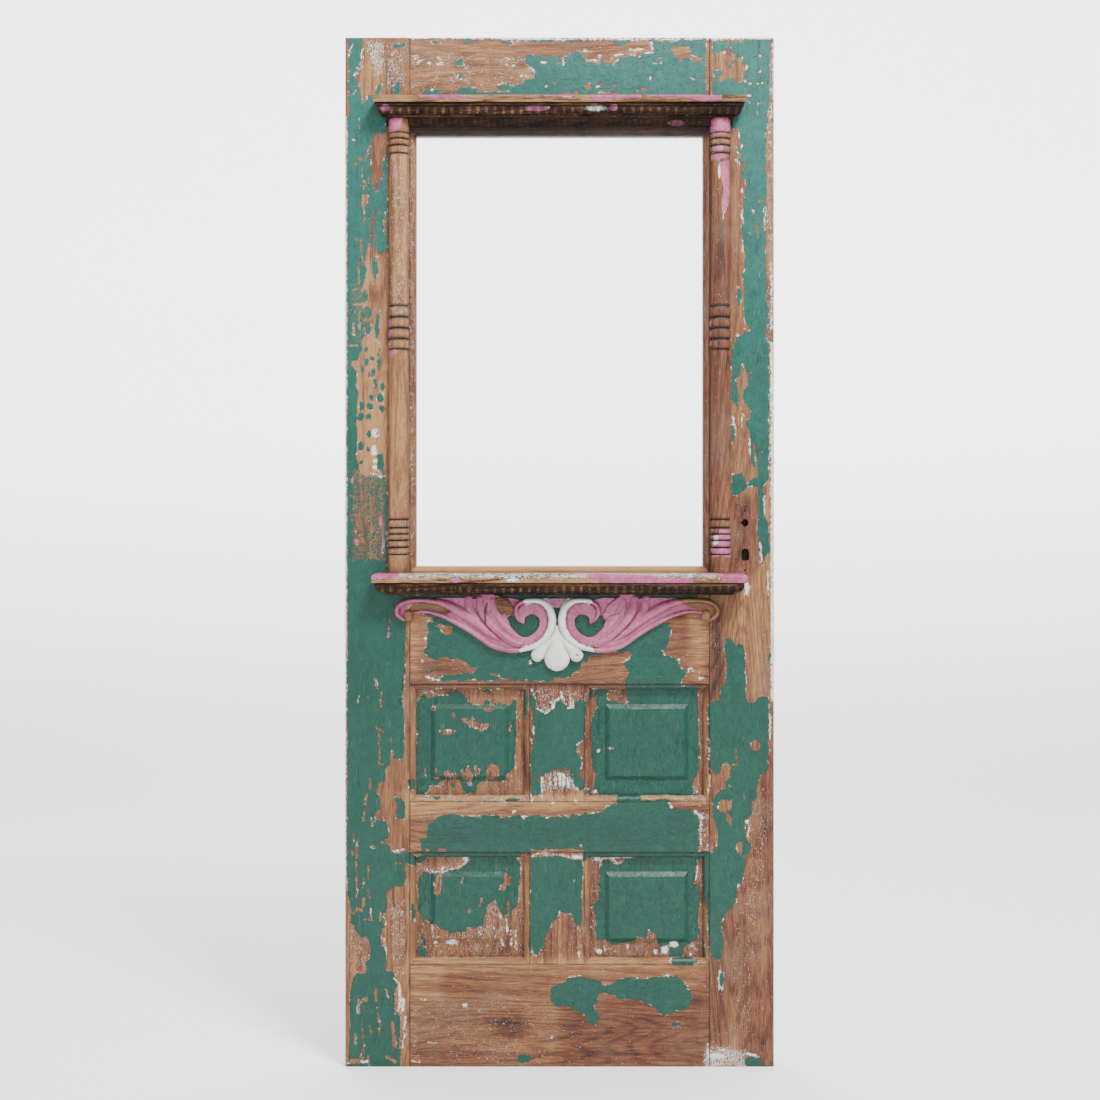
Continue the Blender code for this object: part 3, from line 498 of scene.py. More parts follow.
LOCK_STILE_WEAR = (
    bare("arris", (776, 36), (771, 36), (771, 100), (768, 104), (766.5, 118), (768, 122), (766, 128),
         (765, 136), (765, 170), (766, 180), (765, 250), (765, 300), (767, 308), (768.5, 325), (765, 328),
         (765, 340), (768, 345), (768, 480), (763, 486), (763, 505), (765, 518), (768.5, 530),
         (768.5, 800), (776, 800)),
    bare("head", (709, 36), (744, 36), (744, 43), (730, 44.5), (730, 52), (735, 58), (742, 59.5),
         (741, 66), (744, 68), (745, 76), (741.5, 79), (741.5, 84), (735, 84), (734, 79), (727, 80.5),
         (722, 83), (717, 84), (716.5, 80), (713, 78), (711, 80), (711, 92), (709, 98), (705, 98),
         (705, 36)),
    green("in the head", (711, 44), (727, 42), (728, 49), (725, 52), (716, 55), (711, 58)),
    *marks("head spots", Field.GREEN, 1.0, (713, 71.5, 722, 78), (731.5, 61.5, 735.5, 66),
           (728, 66, 731, 70), (710.5, 65, 713, 69)),
    bare("outside the column", (726, 130), (738, 131), (739, 136), (738.5, 146), (736, 152), (741, 155),
         (741, 158), (736, 161), (738, 166), (744, 163), (743.5, 170), (740, 178), (745, 182), (744, 200),
         (742, 208), (743, 222), (741, 230), (743, 250), (744, 258), (743.5, 272), (741, 276), (744, 292),
         (743, 303), (744, 322), (748, 328), (750, 332), (746, 334), (743, 331), (743, 336), (736, 338),
         (733, 345), (731, 360), (731, 400), (733, 404), (738, 410), (737, 390), (735, 382), (739, 376),
         (741, 362), (745, 372), (748, 380), (747, 388), (743, 391), (742, 400),
         (746, 408), (750, 412), (749, 420), (745, 422), (748, 432), (750, 440), (750, 460), (752, 468),
         (757, 470), (757, 478), (750, 482), (746, 486), (743, 478), (741, 474), (733, 476), (731, 484),
         (726, 484)),
    *marks("islands", Field.GREEN, 1.0, (736, 290, 741, 305), (730, 428, 734.5, 446),
           (732, 477, 743, 497), (761, 651, 770, 662), (740, 584, 746, 593), (705, 1061, 709, 1068)),
    bare("lock", (726, 492), (735, 497), (742, 493), (747, 487), (756, 488), (758, 500), (757, 530),
         (758, 552), (761, 566), (766, 556), (770, 552), (770, 652), (766, 660), (770, 668), (770, 696),
         (757, 699), (754, 703), (748, 704), (745, 698), (745, 680), (744, 655), (742, 646), (737, 644),
         (735, 647), (730, 640), (724, 639), (724, 650), (726, 665), (725, 680), (720, 690), (719, 700),
         (713, 703), (698, 703), (698, 585), (726, 575)),
    bare("beside the upper panel", (698, 684), (707, 702), (708, 770), (713, 772), (714, 778), (720, 773),
         (721, 766), (725, 763), (730, 766), (729, 778), (724, 782), (726, 788), (718, 792), (712, 800),
         (709, 804), (698, 804)),
    bare("flake one", (718, 802), (722, 800), (731, 801), (731, 808), (726, 812), (731, 820), (730, 826),
         (727, 822), (725, 815), (719, 812), (716, 808)),
    bare("flake at the rail", (698, 800), (709, 806), (711, 818), (716, 825), (717, 840), (716, 848),
         (708, 852), (698, 852)),
    bare("lower right", (776, 700), (768, 700), (767, 770), (760, 776), (756, 790), (756, 798),
         (751, 804), (751, 815), (746, 821), (744, 826), (745, 840), (750, 845), (750, 852), (745, 858),
         (745, 866), (743, 876), (741, 884), (736, 888), (735, 902), (731, 908), (727, 913), (722, 919),
         (721, 928), (722, 940), (721, 955), (718, 961), (711, 959), (709, 950), (708.5, 938), (707, 930),
         (706, 905), (703, 898), (698, 898), (698, 1072), (776, 1072)),
    green("on the lower moulding", (700, 941), (704, 941), (705, 958), (701, 958)),
    *marks("flakes", Field.GREEN, -1.0, (735, 842, 742, 855), (750, 741, 759, 752),
           (0.8, (736, 751), (736, 765), (731, 766)), (0.8, (721, 729), (721, 731)),
           (0.7, (729, 786), (732, 792)), (0.7, (743, 790), (744, 800)),
           (0.8, (756, 225), (757, 240)), (0.8, (746, 234), (750, 236)), (0.8, (757, 105), (756, 117)),
           (0.8, (755, 106), (760, 105)), (0.8, (748, 103), (750, 106)), (1.2, (758, 203), (764, 202)),
           (0.8, (747, 376), (750, 374)), (1.2, (753, 445), (756, 470)), (0.8, (757, 454), (761, 453))),
    crackled("beside the column", 0.36, (743, 150), (764, 150), (764, 345), (743, 345)),
    crackled("middle", 0.25, (735, 345), (766, 345), (766, 480), (735, 480)),
    crackled("low", 0.16, (712, 690), (764, 700), (760, 860), (712, 860)),
    *revealed("pale specks", Field.PALE, (744, 67, 747, 73), (757, 72, 761, 75), (746, 84, 752, 87),
              (755, 84.5, 759, 87), (760, 84, 763.5, 86), (722, 53, 724.5, 56), (757.5, 56, 760.5, 59),
              (743, 81, 746, 85), (743.5, 96, 752, 99), (739, 146, 743, 150), (737, 133, 739.5, 140),
              (0.8, (735, 149), (737, 154)), (1.0, (736, 162), (739, 166)),
              (740, 190, 742, 194), (0.9, (742, 210), (741, 220)), (751, 211, 754, 215),
              (0.9, (742, 242), (742, 253)), (0.9, (763, 210), (764, 232)), (1.3, (759, 544), (761, 562)),
              (0.8, (763, 498), (764, 517)), (0.7, (767, 572), (767, 596)), (743, 583, 749, 596),
              (0.8, (771, 104), (770, 120)), (0.9, (772, 45), (772, 100)),
              (1.0, (770.5, 265), (771, 330)), (1.6, (771, 345), (771.5, 700)),
              (0.9, (769, 715), (769.5, 740)), (0.8, (708, 722), (708, 728)),
              (0.8, (709, 740), (708, 764)), (0.8, (709, 776), (708, 798)),
              (744, 820, 748, 824), (0.7, (748, 826), (747, 838)), (736, 884, 739, 888),
              (0.8, (732, 418), (734, 430)), (0.8, (742, 415), (741, 428)), (1.0, (749, 440), (749, 452)),
              (717, 970, 723, 991), (735, 335, 740, 338), (2.6, (708, 1056), (722, 1056)),
              (1.0, (707, 1044), (707, 1062)), (1.4, (746, 1054), (755, 1056))),
    *marks("island in the pale spot", Field.GREEN, 1.0, (719, 973, 723, 986), (744, 1057, 762, 1067)),
    *revealed("pink arris", Field.PINK, (0.9, (770.2, 45), (770.2, 66)), (0.7, (769.6, 66), (769.6, 103)),
              (0.8, (754, 36), (768, 38.5))),
    flecked("arris", 0.55, (766, 110), (774, 110), (774, 480), (766, 480)),
    flecked("foot", 0.95, (703, 1046), (746, 1046), (746, 1068), (703, 1068)),
    flecked("below", 0.35, (738, 800), (772, 800), (745, 1050), (730, 1050)),
    toned("lock, brown", 1.05, (731, 494), (757, 497), (757, 566), (746, 577), (731, 566)),
    toned("red-brown", 1.05, (705, 606), (724, 606), (725, 680), (713, 704), (705, 704)),
    toned("red-brown, low", 0.95, (706, 900), (740, 884), (738, 1000), (722, 1045), (706, 1040)),
    toned("brown", 0.75, (741, 700), (775, 700), (775, 1070), (741, 1070)),
    *marks("crack", Field.SOIL_AND_SHADE, 0.8, (0.5, (758.5, 42), (758, 56)), (0.5, (742.7, 520), (742.7, 534))),
    *marks("plate's shadow", Field.SOIL_AND_SHADE, 0.35, (0.5, (731, 494), (731, 566), (746, 578), (757, 567),
                                                (757, 497))),
)

TOP_RAIL_WEAR = (
    bare("hinge end", (405, 36), (425, 41.5), (440, 40), (470, 42), (520, 42.5), (560, 43), (612, 43),
         (617, 47), (621, 49), (627, 46), (629, 42), (652, 42.5), (651, 50), (652, 55), (645, 54),
         (641, 57), (638, 60), (634, 58), (628, 57), (624, 60), (618, 58), (618, 62), (614, 65),
         (607, 66.5), (604, 64), (601, 61), (594, 62.5), (586, 63), (582, 60),
         (581, 55), (577, 53), (570, 55), (568, 58), (562, 59), (556, 58), (545, 59), (535, 57),
         (526, 58), (525, 66), (529, 71), (534, 77), (535, 80), (524, 82), (521, 86), (515, 87),
         (512, 92), (506, 94), (477, 94), (476, 90), (462, 89), (459, 91), (455, 96), (443, 97),
         (441, 92), (436, 91), (431, 94), (428, 90), (424, 90), (423, 97),
         (405, 98)),
    green("peninsula", (497, 88), (502, 85.5), (508, 85.5), (513, 89), (520, 92), (516, 94), (505, 92),
          (499, 91)),
    bare("lock end", (668.7, 50), (672.2, 48.2), (688.4, 48.2), (691.2, 58), (701.7, 60.2), (701, 63),
         (692, 63.7), (689, 58.8), (683.5, 60.9), (680.7, 64.4), (677.2, 60), (672, 54)),
    bare("joint, lock end", (705, 36), (712, 36), (712, 98), (706.5, 98), (704.5, 84), (706.5, 80),
         (706, 58)),
    *marks("spots", Field.GREEN, 1.0, (455, 61.5, 463.5, 68), (456.5, 76.5, 462, 80.5),
           (430, 43, 438.5, 45.8), (465, 42, 469.5, 46), (501, 42.5, 511.5, 46.8), (536, 42.5, 550, 44.8),
           (512, 59, 521, 61.8), (525, 58.5, 534, 61.5), (0.7, (478, 95), (508, 95.5))),
    *marks("chips", Field.GREEN, -1.0, (584, 85, 590, 91), (598, 83.5, 602, 87.5), (596, 63, 600, 68),
           (640, 89, 647, 93), (635, 91, 639, 94.5), (574, 92, 578, 96), (612, 85, 616, 89),
           (557, 63, 561, 66), (658, 59, 662, 61.5), (552, 83, 556, 87), (0.8, (655, 42), (676, 43)),
           (0.7, (560, 94.5), (578, 95)), (0.7, (598, 95), (616, 94.5))),
    *revealed("pale specks", Field.PALE, (427, 63.5, 430.5, 67), (437, 64, 443, 67.6),
              (506, 59.5, 511.5, 62), (511, 66, 515, 69), (1.0, (521, 78), (528, 79)),
              (1.0, (528, 70), (531, 70), (534, 76)), (0.9, (523, 82), (523, 85)),
              (0.9, (525, 65), (528, 68)), (455, 77.5, 459, 80.5), (1.0, (614, 57.5), (621, 57)),
              (1.0, (628, 57), (634, 57)), (633, 50, 642, 53), (628, 50.5, 631, 53),
              (1.1, (645, 55), (652, 54.5)), (1.3, (651, 44), (652, 51)), (0.9, (563, 63), (563, 67)),
              (0.9, (588, 63), (600, 62)), (598, 57, 600.5, 59.5), (0.8, (584, 52.5), (590, 53.5)),
              (0.8, (585, 62), (586, 67)), (540, 63, 547, 66), (544, 86, 547, 90), (610, 60, 613, 62),
              (651, 64, 656, 67), (659, 63, 662, 67), (648, 78, 651, 81.5), (595, 87, 599.5, 90),
              (691, 79, 695, 82), (0.5, (412, 58), (417, 57)), (0.4, (411, 62), (418, 60)),
              (0.5, (417, 65), (424, 61)), (0.8, (438, 59.5), (441, 61)), (0.7, (498, 87), (502, 85)),
              (0.7, (506, 86), (510, 87)), (430, 90, 434, 93), (0.8, (613, 66), (618, 61))),
    *revealed("top edge", Field.PALE, (2.0, (411, 39), (425, 39)), (0.6, (425, 40), (452, 39.5)),
              (1.0, (452, 40), (500, 40.5)), (1.4, (500, 40.5), (560, 41)), (1.2, (560, 41), (706, 41)),
              (1.2, (708, 40), (770, 40.4))),
    crackled("by the edge", 0.2, (525, 62), (705, 46), (705, 97), (516, 97)),
    flecked("hinge end", 0.42, (408, 50), (470, 54), (520, 62), (520, 92), (408, 92)),
    toned("rail", 0.3, (408, 38), (708, 38), (708, 98), (408, 98)),
    toned("brown band", 0.62, (455, 58), (530, 62), (530, 72), (455, 72)),
    *marks("cracks", Field.SOIL_AND_SHADE, 0.55, (0.5, (556, 80.5), (577, 82.5)), (0.5, (585, 81), (591, 81.5)),
           (0.5, (632, 78), (640, 78.5)), (0.5, (622, 90), (640, 91)), (0.4, (676, 76), (684, 78))),
)

LOCK_RAIL_WEAR = (
    bare("hinge end", (405, 604), (424, 608), (424, 616), (428, 618), (432, 618), (434, 623), (428, 623),
         (427, 626), (427, 640), (428, 646), (424, 649), (423, 654), (427, 657), (430, 660), (436, 662),
         (440, 659), (446, 658), (452, 660), (459, 660), (466, 664), (470, 668), (475.5, 668), (476, 672),
         (470, 674), (462, 675), (449, 676.5), (441, 677.5), (439, 683), (439, 687), (405, 687)),
    bare("spot", (435, 627), (444, 625.5), (448, 628), (452, 628), (451, 634), (448, 636), (443, 634),
         (440, 630)),
    bare("over the panel", (460, 684), (468, 680), (474, 680), (484, 684)),
    bare("middle", (547, 684), (552, 681), (556, 678), (570, 678), (572, 673), (580, 672), (581, 665),
         (583, 661), (587, 664), (589, 656), (600, 656), (606, 654), (609, 651), (616, 652), (621, 655),
         (627, 652), (632, 655), (630, 659), (624, 662), (622, 665), (626, 670), (629, 674), (625, 680),
         (624, 687), (547, 687)),
    bare("lock end", (655, 620), (665, 624), (670, 629), (670, 634), (668, 645), (666, 648), (662, 652),
         (664, 656), (670, 657), (676, 660), (679, 664), (677, 666), (682, 670), (686, 671), (685, 676),
         (681, 682), (680, 687), (712, 687), (712, 600), (676, 604), (668, 612), (658, 617)),
    *marks("chips", Field.GREEN, -1.0, (1.2, (491, 675), (498, 677), (504, 680.5), (509, 681)),
           (523, 681, 528, 686)),
    *revealed("pale specks", Field.PALE, (1.0, (426, 677.5), (432, 679.5), (438, 681)),
              (421, 611, 424.5, 614), (424, 637, 427, 641), (0.7, (426, 622), (429, 621)),
              (528, 661, 532, 666), (0.8, (687, 673), (690, 667), (692, 672)),
              (676, 659, 679, 662), (698, 678, 702, 681), (0.6, (661, 651), (664, 656)),
              (0.6, (622, 663), (630, 659)), (421, 659, 423, 663)),
    toned("hinge end, tan", 0.1, (405, 604), (420, 604), (420, 687), (405, 687)),
    # darker bare wood, partly painted shadow beneath the carving
    toned("under the carving", 0.75, (421, 657), (477, 657), (477, 678), (421, 678)),
    toned("middle", 0.6, (547, 650), (632, 650), (632, 687), (547, 687)),
    toned("lock end, brown", 0.95, (654, 606), (692, 608), (690, 684), (655, 660)),
    toned("lock end, tan", 0.15, (686, 605), (708, 605), (708, 650), (690, 650)),
)

UPPER_MUNTIN_WEAR = (
    bare("head", (526, 684), (588, 684), (588, 702), (582, 702), (580, 700), (576, 701), (573, 709),
         (568, 709), (564, 704), (559, 700), (555, 703), (553, 709), (548, 712), (545, 715), (541, 711),
         (536, 710), (535, 703), (533, 695), (531, 690), (529, 700), (526, 700)),
    bare("foot", (535, 778), (542, 777), (548, 773), (555, 770), (560, 771), (564, 769), (569, 771),
         (571, 778), (573, 784), (577, 789), (580, 792), (584, 790), (588, 806), (540, 806), (541, 790),
         (539, 782)),
    bare("left edge", (520, 700), (530, 711), (534, 713), (533, 722), (532, 735), (535, 740), (531, 745),
         (532, 752), (530, 756), (531, 790), (532, 800), (530, 806), (520, 806)),
    bare("right edge", (594, 700), (586, 700), (585, 715), (584, 735), (580, 743), (576, 750), (580, 753),
         (581, 760), (580, 770), (579, 776), (584, 782), (584, 790), (594, 790)),
    *revealed("pale drips", Field.PALE, (0.9, (531, 689), (534, 699)),
              (1.1, (536, 709), (545, 714), (553, 709), (555, 702), (559, 699)),
              (1.0, (567, 709), (573, 709)), (0.9, (552, 700), (552, 709)), (0.9, (570, 697), (570, 709)),
              (0.8, (573, 700), (573, 708)), (0.9, (560, 693), (563, 702)), (0.9, (541, 779), (541, 786)),
              (1.2, (555, 778), (556, 785)), (1.3, (559, 774), (560, 786)), (1.5, (563, 776), (563, 786)),
              (1.1, (567, 779), (568, 787)), (1.0, (571, 776), (573, 786), (577, 790)),
              (0.7, (550, 776), (550, 792)), (0.7, (541, 788), (542, 798)), (0.8, (531, 793), (532, 802)),
              (0.8, (580, 743), (576, 746)), (0.8, (576, 752), (581, 759)), (0.8, (533, 728), (533, 736)),
              (0.8, (530, 740), (532, 744)), (551, 802, 554, 806), (573, 800, 576, 803)),
    flecked("ends", 0.55, (526, 690), (588, 690), (588, 712), (526, 712)),
    flecked("foot", 0.75, (540, 772), (578, 772), (578, 792), (540, 792)),
    toned("ends", 0.95, (524, 684), (588, 684), (588, 806), (524, 806)),
)

MIDDLE_RAIL_WEAR = (
    bare("upper band", (405, 796), (616, 796), (614, 804), (606, 807), (604, 811), (597, 813),
         (580, 813.5), (565, 816), (547, 818), (540, 816), (524, 818), (518, 815.5), (505, 817.5),
         (490, 815), (470, 817), (455, 814.5), (440, 816), (437, 818), (435, 822), (430, 823), (427, 829),
         (426, 834), (427, 838), (420, 840), (417, 845), (418, 849), (422, 850), (422, 853), (405, 853)),
    bare("lock end", (668, 803), (671, 809), (690, 811), (696, 816), (699, 824), (700, 840), (699, 851),
         (712, 853), (712, 796), (640, 796), (640, 800)),
    *marks("chips", Field.GREEN, -1.0, (425, 849, 428.5, 853), (438, 849, 447, 853)),
    *revealed("pale specks", Field.PALE, (1.3, (668, 804), (671, 808)), (1.3, (694, 812), (702, 819)),
              (0.7, (700, 820), (700, 848)), (470, 816, 480, 817.5), (0.6, (500, 818), (507, 818)),
              (521, 816, 526, 819), (544, 817, 549, 819.5), (0.5, (556, 817.5), (600, 813)),
              (512, 810.5, 515, 813.5), (579, 845, 582, 848)),
    flecked("lock end", 0.6, (697, 812), (710, 812), (710, 852), (697, 852)),
    toned("band, tan", 0.05, (405, 796), (612, 796), (612, 819), (405, 819)),
    toned("hinge end", 0.6, (405, 822), (432, 822), (430, 853), (405, 853)),
    toned("lock end", 0.85, (668, 802), (708, 802), (708, 853), (690, 853)),
)

LOWER_MUNTIN_WEAR = (
    bare("under the rail", (530, 850), (583, 850), (583, 860), (570, 859), (555, 856), (540, 857),
         (531, 858)),
    bare("lower right", (594, 856), (583, 862), (582, 875), (582, 890), (581, 900), (582, 910),
         (581, 925), (577, 929), (574, 922), (571, 915), (566, 914), (560, 912), (557, 918), (551, 924),
         (548, 932), (544, 938), (544, 945), (541, 950), (537, 955), (530, 956), (529, 950), (530, 880),
         (530, 856), (520, 852), (520, 970), (594, 970)),
    *revealed("pale drips", Field.PALE, (0.8, (531, 857), (538, 854), (550, 853)),
              (0.8, (550, 855), (562, 855.5), (572, 859)), (571, 856, 582, 860),
              (0.8, (530, 946), (533, 955), (537, 956)), (0.7, (557, 917), (560, 911)),
              (573, 880, 575, 883), (577, 927, 579, 930), (577, 951, 580, 957),
              (0.6, (582, 862), (583, 872))),
    flecked("lower right", 0.3, (540, 900), (588, 900), (588, 966), (530, 966)),
    toned("lower right", 0.7, (540, 900), (588, 900), (588, 966), (530, 966)),
)

BOTTOM_RAIL_WEAR = (
    bare("whole rail", (400, 958), (712, 958), (712, 1072), (400, 1072)),
    green("island", (551, 988), (560, 984), (566, 981), (569, 978), (580, 977.5), (592, 979), (600, 982),
          (602, 986), (610, 985), (616, 981), (624, 978), (634, 978), (642, 980), (652, 978),
          (662, 976.5), (674, 977), (680, 979), (684, 984), (689, 989), (692, 995), (692, 1000),
          (688, 1006), (683, 1011), (676, 1011), (670, 1014), (664, 1016), (658, 1014),
          (656, 1009), (651, 1006), (646, 1004), (640, 1001), (634, 1000), (626, 999), (618, 1000),
          (614, 996), (608, 994), (604, 993), (598, 995), (597, 1002), (592, 1006), (596, 1010),
          (598, 1018), (595, 1025), (590, 1025), (587, 1018), (582, 1014), (576, 1011), (566, 1006),
          (558, 1008), (553, 1004), (550, 999)),
    *marks("spots", Field.GREEN, 1.0, (671, 1022, 679, 1027.5), (516, 1055, 531, 1062.5),
           (670, 958, 688, 966), (0.6, (425, 959.5), (450, 960)), (0.6, (476, 959.5), (482, 959.5))),
    *revealed("pale specks", Field.PALE, (0.8, (569, 977.5), (580, 976)), (0.8, (662, 976), (671, 976)),
              (0.6, (684, 984), (690, 991)), (462, 1003, 468, 1008), (1.0, (412, 1061.5), (419, 1062)),
              (0.7, (422, 1000), (425, 1000)), (0.7, (429, 1042.5), (436, 1043.5)),
              (550, 1036, 553, 1039)),
    toned("left", 0.42, (405, 965), (560, 965), (560, 1068), (405, 1068)),
    toned("left end, tan", -0.05, (408, 965), (444, 965), (440, 1000), (408, 1000)),
    toned("right", 0.85, (560, 1000), (706, 990), (706, 1068), (560, 1068)),
    toned("knot", 1.5, (494, 1019), (526, 1037)),
    toned("shake one", 1.25, (566, 1012), (590, 1026)),
    toned("shake two", 1.15, (566, 1038), (620, 1050)),
    toned("shake three", 1.1, (632, 1014), (654, 1028)),
    flecked("hinge end", 0.5, (411, 998), (419, 998), (419, 1062), (411, 1062)),
    flecked("field", 0.3, (424, 998), (560, 998), (560, 1064), (424, 1064)),
)

UPPER_PANEL_WEAR = (
    bare("hinge side, border", (408, 684), (530, 684), (530, 806), (408, 806)),
    green("hinge side, field", (417, 700), (420, 697), (424, 695), (428, 698), (433, 698), (437, 696),
          (443, 697), (448, 695), (450, 692), (460, 692), (463, 695), (466, 698), (468, 703), (472, 706),
          (482, 707), (484, 701), (490, 702), (490, 707), (500, 704), (508, 706), (511, 705), (513, 699),
          (516, 702), (515.5, 720), (516, 735), (515, 750), (514.5, 768), (511, 772), (506, 775),
          (504, 782), (498, 782), (480, 782), (476, 786), (477, 791), (472, 794),
          (466, 794), (462, 790), (461, 784), (458, 780), (444, 780), (438, 782), (439, 786), (430, 786),
          (428, 790), (427, 797), (424, 797), (418, 793), (416, 796), (415, 760), (416, 740), (418, 735),
          (415, 728), (416, 712)),
    bare("long scratch", (459, 718), (465, 719), (469, 722), (472, 716), (474, 722), (480, 724),
         (492, 725), (490, 728), (482, 731), (476, 729), (470, 726), (465, 724)),
    bare("foot one", (442, 778), (443, 774), (447, 770), (452, 773), (456, 772), (456, 779)),
    bare("foot two", (461, 780), (462, 770), (465, 774), (468, 764), (470, 772), (473, 774), (472, 781)),
    bare("foot four", (486, 780), (488, 764), (498, 766), (499, 774), (496, 780)),
    *marks("chips", Field.GREEN, -1.0, (441, 729.5, 454, 735.5), (452, 711, 455, 718.5),
           (508.5, 723, 511, 734), (431, 706, 435.5, 711.5), (484, 708, 493, 713), (474, 766, 479, 777),
           (433, 777.5, 439, 781), (0.7, (423, 762), (425, 776)), (467, 781, 472, 786.5),
           (434.5, 769, 437, 775), (622, 781, 625.5, 790), (638, 691, 642.5, 695)),
    *marks("left behind", Field.GREEN, 1.0, (451, 783, 454.5, 788.5), (484, 690, 494, 693.5)),
    bare("lock side, border", (582, 684), (712, 684), (712, 806), (582, 806)),
    green("lock side, field", (595, 690), (597, 688), (609, 689), (606, 697), (607, 701), (615, 702),
          (624, 706), (629, 703), (626, 699), (625, 688), (640, 686), (695, 686), (697, 695), (698, 710),
          (698, 735), (698.5, 760), (698, 772), (694, 778), (692, 786), (694, 795), (700, 799),
          (640, 800), (600, 796), (592, 793), (594, 785), (595, 778), (593, 770), (591, 755), (590, 730),
          (593, 712), (597, 709), (595, 700), (594, 694)),
    *revealed("pale specks", Field.PALE, (596, 749, 600, 753.5), (607, 748, 614, 750.5),
              (446, 730, 451, 733), (0.6, (470, 727), (480, 731), (488, 729)),
              (0.7, (422, 694), (430, 692), (437, 696), (448, 696)), (592, 790, 597, 794),
              (695, 790, 697, 794), (0.7, (423, 788), (426, 795)), (417, 733, 419, 737),
              (0.6, (417, 700), (420, 699))),
    flecked("borders", 0.4, (408, 684), (712, 684), (712, 806), (408, 806)),
    toned("borders", 0.5, (408, 684), (530, 684), (530, 806), (408, 806)),
    toned("lock side", 0.7, (582, 684), (712, 684), (712, 806), (582, 806)),
)

LOWER_PANEL_WEAR = (
    bare("hinge side, border", (408, 850), (530, 850), (530, 970), (408, 970)),
    green("hinge side, field", (423, 872), (434, 874), (447, 872), (462, 868), (469, 862), (469, 856),
          (516, 856), (520, 865), (519, 890), (518, 904), (511, 912), (510, 918), (505, 915), (503, 920),
          (500, 910), (497, 907), (494, 899), (491, 904), (487, 905), (486, 912), (484, 919), (482, 926),
          (475, 928), (468, 928), (466, 932), (458, 933), (449, 934), (447, 930), (439, 930), (436, 925),
          (430, 924), (427, 920), (422, 922), (421, 912), (417, 912), (418, 893), (418, 880)),
    bare("streak", (433, 893), (436, 874), (442, 874), (441, 890), (440, 896), (436, 896)),
    bare("right flake", (503, 876), (506, 873), (510, 876), (511, 885), (505, 888), (504, 892),
         (499, 890), (500, 886), (503, 884)),
    *marks("chips", Field.GREEN, -1.0, (0.8, (463, 878), (461.5, 884)), (467, 876.5, 469.5, 880),
           (0.9, (481, 899), (479.5, 906)), (467, 909, 470.5, 914), (0.6, (505, 866), (506, 872)),
           (1.3, (508, 902), (508, 915)), (677, 873, 681, 877), (676, 897, 681, 903)),
    *marks("left behind", Field.GREEN, 1.0, (416, 855, 424.5, 863), (421, 934, 424.5, 946),
           (417, 946, 427, 957)),
    bare("lock side, border", (582, 850), (712, 850), (712, 970), (582, 970)),
    green("lock side, field", (602, 862), (608, 861), (612, 864), (619, 864), (624, 860), (636, 858),
          (640, 852), (700, 852), (698, 862), (696, 868), (695, 876), (693, 884), (697, 885), (699, 895),
          (699, 905), (697, 915), (697, 925), (699, 935), (695, 940), (690, 944), (683, 946), (682, 958),
          (669, 958), (668, 948), (660, 947), (656, 940), (655, 935), (651, 933), (648, 929), (645, 934),
          (646, 938), (640, 939), (636, 936), (635, 942), (628, 943), (620, 944), (612, 946), (608, 942),
          (604, 941), (596, 941), (595, 930), (596, 915), (593, 911), (593, 903),
          (598, 901), (599, 892), (599, 889), (596, 886), (599, 881), (599, 870)),
    *revealed("pale drips", Field.PALE, (0.7, (423, 869), (434, 873), (447, 871), (456, 869), (466, 863)),
              (441, 867, 446, 871), (463, 856, 468, 863), (446, 940, 458, 945),
              (433.5, 941, 437.5, 944.5), (0.7, (432, 925), (433, 938)), (0.8, (515, 932), (516, 950)),
              (0.7, (510, 930), (511, 945)), (1.0, (506, 921), (507, 932)),
              (1.1, (501, 940), (503, 946)), (0.8, (498, 913), (502, 920)), (0.9, (478, 930), (480, 935)),
              (660, 946, 668, 954), (668, 941, 679, 948), (595, 949, 602, 954), (603, 947, 605.5, 952),
              (626, 944, 628.5, 951), (653, 950, 657, 954), (592, 857, 600, 862),
              (1.0, (600, 861), (601, 865)), (1.0, (612, 859), (617, 865)),
              (0.7, (602, 859), (636, 857)), (0.8, (697, 860), (695, 880)), (0.8, (692, 946), (696, 952)),
              (688, 953, 691, 956)),
    flecked("borders", 0.5, (408, 850), (712, 850), (712, 970), (408, 970)),
    toned("hinge side", 0.6, (408, 900), (530, 900), (530, 970), (408, 970)),
    toned("stain", 1.2, (490, 946), (512, 958)),
    toned("lock side", 0.7, (582, 850), (712, 850), (712, 970), (582, 970)),
)

ORNAMENT_GROUND_WEAR = (
    bare("glass moulding", (405, 118), (420, 118), (420, 596), (405, 596)),
    bare("glass moulding, right", (698, 118), (712, 118), (712, 596), (698, 596)),
    bare("glass moulding, head", (405, 122), (712, 122), (712, 144), (405, 144)),
    bare("under the left column", (387, 126), (412, 126), (412, 575), (387, 575)),
    bare("under the right column", (706, 126), (730, 126), (730, 575), (706, 575)),
    bare("under the sill", (392, 562), (728, 562), (728, 586), (392, 586)),
    flecked("glass moulding", 0.5, (405, 128), (415, 128), (415, 570), (405, 570)),
    toned("glass moulding, hinge side", 0.7, (404, 144), (416, 144), (416, 570), (404, 570)),
    # darker wood and painted shade under the cornice: the head moulding is darkened in tone and with a
    # dark band
    toned("glass moulding, head", 1.7, (405, 122), (709, 122), (709, 140), (405, 140)),
    Patch("glass moulding, head", Field.SOIL_AND_SHADE, 0.5, ((405, 124), (709, 124), (709, 139), (405, 139)), 2.0),
    # painted light: the foot moulding faces up and is made paler
    toned("glass moulding, foot", -0.6, (414, 562), (704, 562), (704, 574), (414, 574)),
    Patch("middle rail, darker green", Field.SOIL_AND_SHADE, 0.12, ((430, 820), (700, 820), (700, 846), (430, 846)),
          6.0),
    toned("glass moulding, lock side", 0.95, (700, 144), (709, 144), (709, 570), (700, 570)),
    toned("under the columns", 0.4, (384, 118), (404, 118), (404, 575), (384, 575)),
)

